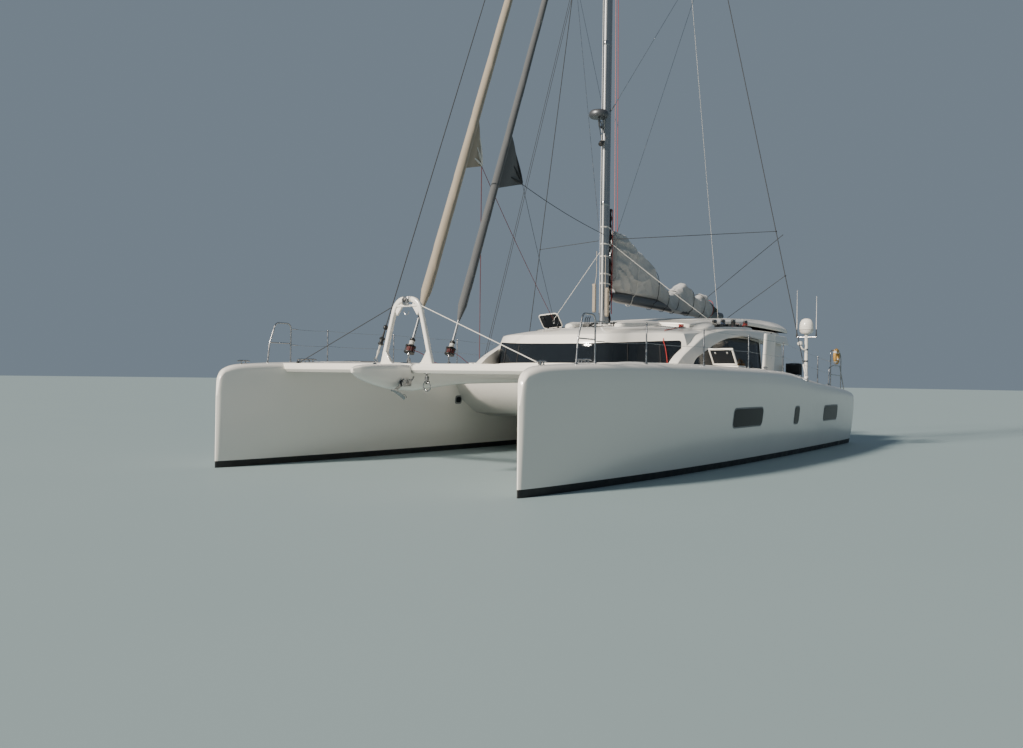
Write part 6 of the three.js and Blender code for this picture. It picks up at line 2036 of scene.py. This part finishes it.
galley = Form(WOOD)
galley.block((-2.595, -2.075, SALOON_SOLE), (0.195, -1.47, 1.725), 0.010)
galley.block((-0.395, -1.52, SALOON_SOLE), (0.195, -0.505, 1.725), 0.010)
for x in np.arange(-2.50, -0.5, 0.50):
    galley.block((x, -1.472, 0.95), (x + 0.46, -1.458, 1.32), 0.006)
    galley.block((x, -1.472, 1.35), (x + 0.46, -1.458, 1.68), 0.006)
    galley.use(SHADED_STEEL).sweep(bent([(x + 0.16, -1.458, 1.29), (x + 0.16, -1.440, 1.29),
                                  (x + 0.30, -1.440, 1.29), (x + 0.30, -1.458, 1.29)], 0.01), 0.005,
                            8).use(WOOD)
galley.use(MOULDED).block((-2.60, -2.08, 1.722), (0.20, -1.45, 1.7605),
                          0.008).block((-0.40, -1.53, 1.722), (0.20, -0.50, 1.7605), 0.008)
galley.use(SHADED_STEEL).block((-1.9, -1.95, 1.755), (-1.3, -1.58, 1.765), 0.004)
for x in (-1.75, -1.45):
    galley.lathe([(0.07, 0.0), (0.075, 0.006), (0.05, 0.012), (0.045, 0.004)], (x, -1.77, 1.765), sides=24)
galley.sweep(bent([(-2.25, -1.98, 1.76), (-2.25, -1.98, 1.96), (-2.25, -1.84, 1.96), (-2.25, -1.84, 1.90)],
                  0.05), 0.011, 10)
galley.done("galley", "platform", ("galley_unit",), "wood_trim")

# Painted light: the partition panels take their own lit liner tone for the light falling on them.
liner = Form(PAINTED_LIGHT_LINER)
liner.block((-2.42, 0.30, 1.93), (-1.36, 0.33, 2.38), 0.01)
liner.block((-2.42, 0.30, SALOON_SOLE), (-1.36, 0.33, 1.40), 0.01)
liner.use(MOULDED)
for y in (-1.7, 1.7):
    liner.block((-3.70, y - 0.03, 2.50), (0.3, y + 0.03, 2.53), 0.01)
liner.use(WOOD).block((-3.20, -0.2, SALOON_SOLE), (-2.95, 0.5, 1.75), 0.012)
liner.done("saloon_joinery", slot="wood_trim")

# Bulkhead and door

door = Form(ALLOY_DARK)
door_x, half = -3.891, 0.512
for low, high in (((door_x - 0.0148, -half, 0.9725), (door_x + 0.0148, -half + 0.088, 2.5712)),
                  ((door_x - 0.0148, half - 0.088, 0.9725), (door_x + 0.0148, half, 2.5712)),
                  ((door_x - 0.0146, -half + 0.08, 0.9725), (door_x + 0.0146, half - 0.08, 1.252)),
                  ((door_x - 0.0146, -half + 0.08, 2.468), (door_x + 0.0146, half - 0.08, 2.5712))):
    door.block(low, high, 0.004)
door.use(GLASS).block((door_x - 0.004, -half + 0.082, 1.245), (door_x + 0.004, half - 0.082, 2.474), 0.001)
door.use(SHADED_STEEL).sweep(bent([(door_x - 0.013, half - 0.045, 1.55),
                            (door_x - 0.013 - 0.035, half - 0.045, 1.55),
                            (door_x - 0.048, half - 0.045, 1.85),
                            (door_x - 0.013, half - 0.045, 1.85)], 0.02), 0.008, 10)
door.done("sliding_door", "saloon_door", ("saloon_door",), "alloy")

lights = Form(GLASS)
bulkhead = Matrix.Translation((-3.85, 0, 0)) @ FACING_X
for sign in (1, -1):
    outline = [(0.62, 1.90), (1.65, 1.90), (1.56, 2.48), (0.62, 2.48)]
    ring = rounded(mirrored(outline, sign), 0.03)
    grown = [(y + (0.004 if y > sign * 1.1 else -0.004), z + (0.004 if z > 2.2 else -0.004))
             for y, z in ring]
    lights.plate(grown, -0.004, 0.004, matrix=bulkhead)
lights.done("bulkhead_lights", slot="glass")

# Boards, rudders and drives

RUDDER_X = -6.85
DRIVE_X = -5.15


def foil_ring(front, back, thick, z, parts=32):
    """One section of a foil with a round nose and a fine after edge."""
    ring = []
    middle, half = (front + back) / 2, (front - back) / 2
    for _, c, s in turns(parts):
        ring.append((middle + c * half, thick * s * (1 + 0.28 * c), z))
    return ring


for side, sign in SIDES:
    y0 = sign * HULL_Y
    board = Form(FOIL)
    board.skin([[(x, y + y0, z) for x, y, z in board_ring(z, grow)]
                for z, grow in ((-1.361, -0.018), (-1.35, -0.006), (-1.32, 0), (-0.4, 0), (0.6, 0), (1.6, 0),
                                (2.57, 0), (2.592, -0.005), (2.60, -0.014))])
    top_x = BOARD["x"] - (BOARD["top"] - DECK_TOP) * 0.1405
    board.use(BLACK).lathe([(0.022, 0), (0.022, 0.006), (0.012, 0.008)], (top_x + 0.12, y0, 2.598), sides=20)
    board.use(ROPE_DARK).sweep([(top_x - 0.05 + 0.045 * math.cos(t), y0, 2.606 + 0.028 * math.sin(t))
                                for t in around(24)], 0.006, 8, closed=True)
    board.done("board_" + side, "daggerboard_" + side, ("daggerboard_" + side,), "foil_paint")

    case = Form(RUBBER)
    rings = []
    for grow, z in ((0.010, 1.66), (0.010, 1.782), (0.034, 1.786), (0.040, 1.776), (0.042, 1.70)):
        rings.append([(x, y + y0, z) for x, y, _ in board_ring(DECK_TOP, grow)])
    case.skin(rings, ends=False)
    case.done("board_collar_" + side, slot="black_fitting")

    rudder = Form(FOIL)
    rows = through([[-0.30, 0.150, -0.300, 0.034], [-0.70, 0.150, -0.290, 0.032],
                    [-1.05, 0.120, -0.240, 0.026], [-1.26, 0.060, -0.170, 0.016]])
    rings = []
    for z in (-0.297, *np.linspace(-0.31, -1.24, 16), -1.257):
        front, back, thick = (float(v) for v in rows(z))
        shrink = 0.9 if z in (-0.297, -1.257) else 1
        section = foil_ring(front * shrink, back * shrink, thick * shrink, z)
        rings.append([(RUDDER_X + x, y0 + y, z) for x, y, z in section])
    rudder.skin(rings)
    rudder.use(SHADED_STEEL).lathe([(0.0355, -0.5), (0.0355, 0.1495)], (RUDDER_X, y0, 0), sides=32)
    rudder.done("rudder_blade_" + side, "rudder_" + side, ("rudder_" + side,), "foil_paint")

    drive = Form(ALLOY)
    rows = through([[-0.15, 0.210, -0.150, 0.046], [-0.62, 0.150, -0.120, 0.034],
                    [-0.86, 0.170, -0.120, 0.040]])
    keel = float(hull_at(DRIVE_X)[2])
    rings = []
    for z in np.linspace(keel + 0.06, -0.86, 14):
        front, back, thick = (float(v) for v in rows(z))
        rings.append([(DRIVE_X + x, y0 + y, z) for x, y, z in foil_ring(front, back, thick, z, parts=28)])
    drive.skin(rings)
    drive.lathe([(0.030, -0.250), (0.060, -0.249), (0.066, -0.20), (0.073, -0.12), (0.0745, 0.06),
                 (0.069, 0.13), (0.056, 0.19), (0.036, 0.235), (0.016, 0.252),
                 (0.003, 0.255)], (DRIVE_X, y0, -0.86), (1, 0, 0), 36)
    drive.plate([(-5.19, -0.90), (-5.09, -0.90), (-5.12, -0.98), (-5.145, -1.047), (-5.155, -1.05),
                 (-5.205, -1.05), (-5.21, -1.04)], y0 - 0.009, y0 + 0.009,
                matrix=FACING_Y, edge=0.003)
    drive.use(BRONZE).lathe([(0.030, 0.0), (0.034, 0.004), (0.034, 0.045), (0.020, 0.05)],
                            (-5.06, y0, -0.945), (0, 0, -1), 20)
    drive.use(RUBBER).lathe([(0.15, 0.0), (0.16, 0.01), (0.15, 0.02)], (-5.14, y0, keel - 0.004), sides=36)
    drive.done("drive_leg_" + side, "platform", ("saildrive_" + side,), "alloy", sharp=45)

    prop = Form(BRONZE)
    hub = Vector((-5.4006, y0, -0.86))
    prop.lathe([(0.030, 0.0), (0.0535, -0.001), (0.0555, -0.02), (0.055, -0.060), (0.047, -0.095),
                (0.034, -0.119), (0.018, -0.127), (0.003, -0.128)],
               hub, (1, 0, 0), 36)
    blade = through([[0.036, 0.034, 0.010, 0.56 + 0.5], [0.110, 0.066, 0.007, 0.56 + 0.38],
                     [0.180, 0.070, 0.005, 0.56 + 0.26], [0.215, 0.050, 0.0038, 0.56 + 0.18],
                     [0.228, 0.022, 0.0030, 0.56 + 0.14]])
    for n in range(3):
        turn = Matrix.Translation(hub) @ Matrix.Rotation(2 * math.pi * n / 3, 4, "X")
        rings = []
        for r in np.linspace(0.036, 0.2275, 14):
            chord, thick, pitch = (float(v) for v in blade(r))
            ring = []
            for _, c, s in turns(20):
                a, b = chord * c, thick * s
                ring.append(turn @ Vector((-0.060 + a * math.sin(pitch) + b * math.cos(pitch),
                                           a * math.cos(pitch) - b * math.sin(pitch), r)))
            rings.append(ring)
        prop.skin(rings)
    prop.done("propeller_blades_" + side, "propeller_" + side, ("propeller_" + side,), "bronze", sharp=50)

# Anchor

anchor = Form(SHADED_STEEL)
cheek = 0.186
for y in (cheek - 0.004, cheek + 0.052):
    anchor.plate([(6.42, 1.405), (6.60, 1.40), (6.638, 1.42), (6.638, 1.47), (6.59, 1.518), (6.42, 1.518)],
                 y - 0.005, y + 0.005,
                 matrix=FACING_Y, edge=0.003)
anchor.block((6.42, cheek - 0.01, 1.505), (6.55, cheek + 0.058, 1.518), 0.004)
anchor.use(BLACK).lathe([(0.030, -0.024), (0.034, -0.020), (0.020, -0.006), (0.020, 0.006), (0.034, 0.020),
                         (0.030, 0.024)], (6.60, cheek + 0.024, 1.455), (0, 1, 0), 28)
anchor.use(SHADED_STEEL).lathe([(0.008, -0.036), (0.010, -0.034), (0.010, 0.034), (0.008, 0.036)],
                        (6.60, cheek + 0.024, 1.455), (0, 1, 0), 16)
shank = [(6.44, 1.465), (6.50, 1.475), (6.66, 1.44), (6.775, 1.365), (6.775, 1.325), (6.74, 1.325),
         (6.64, 1.395), (6.50, 1.435), (6.44, 1.435)]
anchor.plate(shank, cheek + 0.018, cheek + 0.034, matrix=FACING_Y, edge=0.003)
for s in (-1, 1):
    rings = []
    for x, z, half in ((6.862, 1.328, 0.006), (6.82, 1.325, 0.030), (6.74, 1.290, 0.048),
                       (6.65, 1.245, 0.055), (6.585, 1.205, 0.050), (6.562, 1.188, 0.030)):
        a, b = cheek + 0.026, cheek + 0.026 + s * half
        rings.append([(x, a, z), (x, b, z + 0.016 + half * 0.25), (x, b, z + 0.026 + half * 0.25),
                      (x, a, z + 0.010)])
    anchor.skin(rings)
anchor.sweep([(6.56, cheek + 0.026 + 0.052 * math.cos(t), 1.225 + 0.052 * math.sin(t))
              for t in np.linspace(0, math.pi, 13)], 0.006, 8)
links = [Vector((6.455, cheek + 0.026, 1.452)), Vector((6.36, 0.19, 1.49)), Vector((6.30, 0.192, 1.56))]
path = along(links, 0.028)
for i, (a, b) in enumerate(zip(path, path[1:])):
    t = (b - a).normalized()
    side_way = Vector((0, 1, 0)) if i % 2 else t.cross(Vector((0, 1, 0))).normalized()
    middle = (a + b) / 2
    anchor.sweep([middle + t * 0.020 * math.cos(u) + side_way * 0.011 * math.sin(u) for u in around(12)],
                 0.0042, 6, closed=True)
anchor.done("anchor_and_roller", "platform", ("anchor",), "stainless", sharp=40)

# Mooring ring under the crossbeam, beside the nose.
ring_at = Vector((6.27, 0.43, 0))
place, *_ = tree_of(bpy.data.objects["soft_forward_crossbeam"]).ray_cast(ring_at, Vector((0, 0, 1)))
ring_gear = Form(SHADED_STEEL)
ring_gear.block(place + Vector((-0.045, -0.035, -0.010)), place + Vector((0.045, 0.035, 0.006)), 0.004)
ring_gear.block(place + Vector((-0.030, -0.006, -0.075)), place + Vector((0.030, 0.006, -0.006)), 0.005)
for x in (-0.024, 0.024):
    ring_gear.block(place + Vector((x - 0.003, -0.022, -0.105)), place + Vector((x + 0.003, 0.022, -0.045)),
                    0.002)
ring_gear.sweep([place + Vector((-0.034, 0, -0.058)), place + Vector((0.034, 0, -0.058))], 0.008, 12)
ring_gear.sweep([place + Vector((0.030 * math.cos(t), 0, -0.105 + 0.045 * math.sin(t))) for t in around(24)],
                0.007, 10,
                closed=True)
ring_gear.sweep([place + Vector((0.012 * math.sin(t), 0.070 * math.cos(t), -0.205 + 0.070 * math.sin(t)))
                 for t in around(32)],
                0.010, 12, closed=True)
ring_gear.use(ROPE_DARK).sweep([place + Vector((0.022 * math.cos(t), 0.004 * t - 0.03,
                                                -0.140 + 0.022 * math.sin(t)))
                                for t in np.linspace(0, 16, 80)], 0.006, 6)
ring_gear.done("mooring_ring", slot="stainless")

# Stern gear

pole = Form(GELCOAT)
px, py = -4.15, 3.30
foot_z = deck_z(px, py - HULL_Y)
pole.lathe([(0.075, foot_z - 0.02 - 2), (0.075, foot_z - 2 + 0.010), (0.046, foot_z - 2 + 0.022),
            (0.038, foot_z - 2 + 0.06), (0.038, 0.70 - 0.06), (0.055, 0.70 - 0.02),
            (0.09, 0.69)], (px, py, 2.0), sides=36)
pole.lathe([(0.10, 0.690), (0.112, 0.692), (0.150, 0.735), (0.158, 0.775), (0.159, 0.830), (0.156, 0.900),
            (0.140, 0.960), (0.110, 1.010), (0.070, 1.035), (0.03, 1.045),
            (0.004, 1.046)], (px, py, 2.0), sides=48)
pole.use(BLACK).lathe([(0.1590, 0.770), (0.1602, 0.772), (0.1602, 0.777), (0.1590, 0.779)], (px, py, 2.0),
                      sides=48)
pole.use(SHADED_STEEL).sweep([(px, py - 0.240, 2.61), (px, py + 0.240, 2.61)], 0.0155, 14)
pole.use(GELCOAT)
for dy, top in ((-0.225, 3.72), (0.225, 3.56)):
    pole.sweep([(px, py + dy, z) for z in np.linspace(2.78, top, 8)],
               [0.0075 - 0.0045 * i / 7 for i in range(8)], 10)
    pole.use(BLACK).lathe([(0.012, 2.60), (0.017, 2.605), (0.017, 2.66), (0.012, 2.70), (0.010, 2.79)],
                          (px, py + dy, 0), sides=18).use(GELCOAT)
for z in (2.05, 2.32):
    pole.use(SHADED_STEEL).lathe([(0.0385, z - 0.02), (0.046, z - 0.018), (0.046, z + 0.018), (0.0385, z + 0.02)],
                          (px, py, 0), sides=28)
    pole.use(BLACK).block((px - 0.015, py - 0.055, z - 0.012), (px + 0.015, py - 0.030, z + 0.012), 0.004)
pole.use(GELCOAT).sweep(bent([(px + 0.03, py, 2.30), (px + 0.10, py - 0.06, 2.33),
                              (px + 0.12, py - 0.10, 2.42)], 0.03), 0.018, 12)
pole.lathe([(0.020, 0.0), (0.055, 0.02), (0.062, 0.05), (0.058, 0.08), (0.02, 0.10)],
           (px + 0.12, py - 0.10, 2.41), (0.1, -0.2, 1), 28)
pole.done("instrument_mast", "platform", ("instrument_pole",), "gelcoat")

low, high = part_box("rescue_buoy")
middle = (low + high) / 2
buoy = Form(ORANGE)
rings = []
for t in around(60):
    out = Vector((math.cos(t), 0, math.sin(t)))
    rings.append([middle + out * (0.150 + 0.049 * math.cos(u) * (1 + 0.03 * math.sin(9 * t)))
                  + Vector((0, 0.045 * math.sin(u), 0)) for u in around(20)])
buoy.skin(rings + rings[:1], ends=False)
buoy.use(SAIL_WHITE)
for t in (0.6, 2.2, 3.8, 5.4):
    band = []
    for dt in (-0.16, -0.155, 0.155, 0.16):
        out = Vector((math.cos(t + dt), 0, math.sin(t + dt)))
        grow = 1.0 if abs(dt) > 0.157 else 1.06
        band.append([middle + out * (0.150 + 0.0495 * grow * math.cos(u))
                     + Vector((0, 0.0455 * grow * math.sin(u), 0)) for u in around(20)])
    buoy.skin(band, ends=False)
buoy.use(ROPE_DARK).sweep(along([middle + Vector((0.204 * math.cos(t), 0.0, 0.204 * math.sin(t)))
                                 for t in np.linspace(0.6, 2.2, 7)], 0.02), 0.004, 6)
for dx in (-0.06, 0.06):
    buoy.use(BLACK).sweep([middle + Vector((dx, -0.052, 0.14)), middle + Vector((dx, 0.0, 0.195)),
                           middle + Vector((dx, 0.050, 0.13))], 0.011, 6, flat=0.3)
buoy.done("rescue_ring", "platform", ("rescue_buoy",), "buoy_orange", sharp=60)

# Gear at the mast foot

gear = Form(BLACK)
rings = []
for z in np.linspace(2.79, 5.32, 90):
    fold = 0.010 * math.sin(z * 31) + 0.014 * noise.noise(Vector((0, 3, z * 6)))
    half = 0.040 + fold * 0.6
    rings.append([(MAST["x"] - 0.186, -half, z), (MAST["x"] - 0.186, half, z),
                  (MAST["x"] - 0.238 - fold, half * 0.8, z),
                  (MAST["x"] - 0.238 - fold, -half * 0.8, z)])
gear.skin(rings)
gear.use(ROPE_RED)
gear.sweep(sagged((MAST["x"] - 0.245, 0.05, 3.0), (MAST["x"] - 0.225, 0.06, 5.3), 0.02, 14), 0.009, 8)
gear.use(BLACK)
gear.block((0.06, -0.22, roof_place(0.13, -0.14) - 0.01), (0.20, -0.06, roof_place(0.13, -0.14) + 0.055),
           0.012)
for k in range(3):
    y = -0.19 + 0.05 * k
    base = roof_place(0.13, y)
    gear.sweep(bent([(0.16, y, base + 0.05), (0.15, y, base + 0.16), (0.10, y, base + 0.22)], 0.04), 0.013,
               8, flat=0.6)
gear.done("mast_foot_gear", slot="black_fitting")

inner = Form(SAIL_WHITE)
path = [shell_at("front", y, z) for y in (1.50, 1.98) for z in (1.90, 2.26)]
low_in, high_in, low_out, high_out = [place - normal * 0.07 for place, normal in path]
steps = np.linspace(0, 1, 9)
sheet = []
for t in steps:
    a, b = low_in.lerp(low_out, t), high_in.lerp(high_out, t)
    wave = Vector((0.012 * math.sin(t * 18), 0, 0))
    sheet.append([a + wave, b + wave, b + wave - Vector((0.006, 0, 0)), a + wave - Vector((0.006, 0, 0))])
inner.skin(sheet)
blind = inner.done("window_blind", slot="canvas", sharp=70)

# A halyard's tail hangs in a hank on each side of the mast.
HANKS = {"port": (-0.13, 0.165, 2.95, 3.50), "starboard": (-0.30, -0.205, 3.06, 3.62)}
HANK_ROPE = 0.010
HANK_TURNS = 5
for side, (x, y, low_z, high_z) in HANKS.items():
    out = math.copysign(1, y)
    bend_at = 0.032
    start = Vector((x, y - 0.030 * out, high_z + 0.75))
    path = [start, start - Vector((0, 0, 0.25)), start - Vector((0, 0, 0.50))]
    for i in range(HANK_TURNS * 24 + 1):
        n, part = divmod(i, 24)
        across = out * 0.0125 * (i / 24) - 0.012 * out
        if part < 6:
            spot = (bend_at, high_z - (high_z - low_z) * part / 6)
        elif part < 12:
            turn = math.pi * (part - 6) / 6
            spot = (bend_at * math.cos(turn), low_z - bend_at * math.sin(turn))
        elif part < 18:
            spot = (-bend_at, low_z + (high_z - low_z) * (part - 12) / 6)
        else:
            turn = math.pi * (part - 18) / 6
            spot = (-bend_at * math.cos(turn), high_z + bend_at * math.sin(turn))
        path.append(Vector((x + spot[0], y + across, spot[1])))
    path = along(path, 0.012)
    hank = Form(ROPE_TAN).sweep(path, HANK_ROPE / 2, 8).done("halyard_tail_" + side, slot="rolled_sail")

# The one CAD node that shows as it is

bracket = frame["nodes"]["gooseneck_bracket"]
bracket.data.materials.clear()
bracket.data.materials.append(ALLOY)

# Floor, light and camera

floor = Form(material("floor", (0.27, 0.35, 0.365), 0.6, vary=0.01, patch=0.3, wear=0.02))
floor.add([(-300, -300, 0), (300, -300, 0), (300, 300, 0), (-300, 300, 0)], [[0, 1, 2, 3]])
floor.thing("floor")
world = bpy.data.worlds.new("world")
world.use_nodes = True
world.node_tree.nodes["Background"].inputs["Color"].default_value = (0.62, 0.78, 0.95, 1)
world.node_tree.nodes["Background"].inputs["Strength"].default_value = 0.28
bpy.context.scene.world = world
sun("key", (38, -13, 24), (0, 0, 3), 6, 7.6, (1.0, 0.91, 0.79))
place_camera()
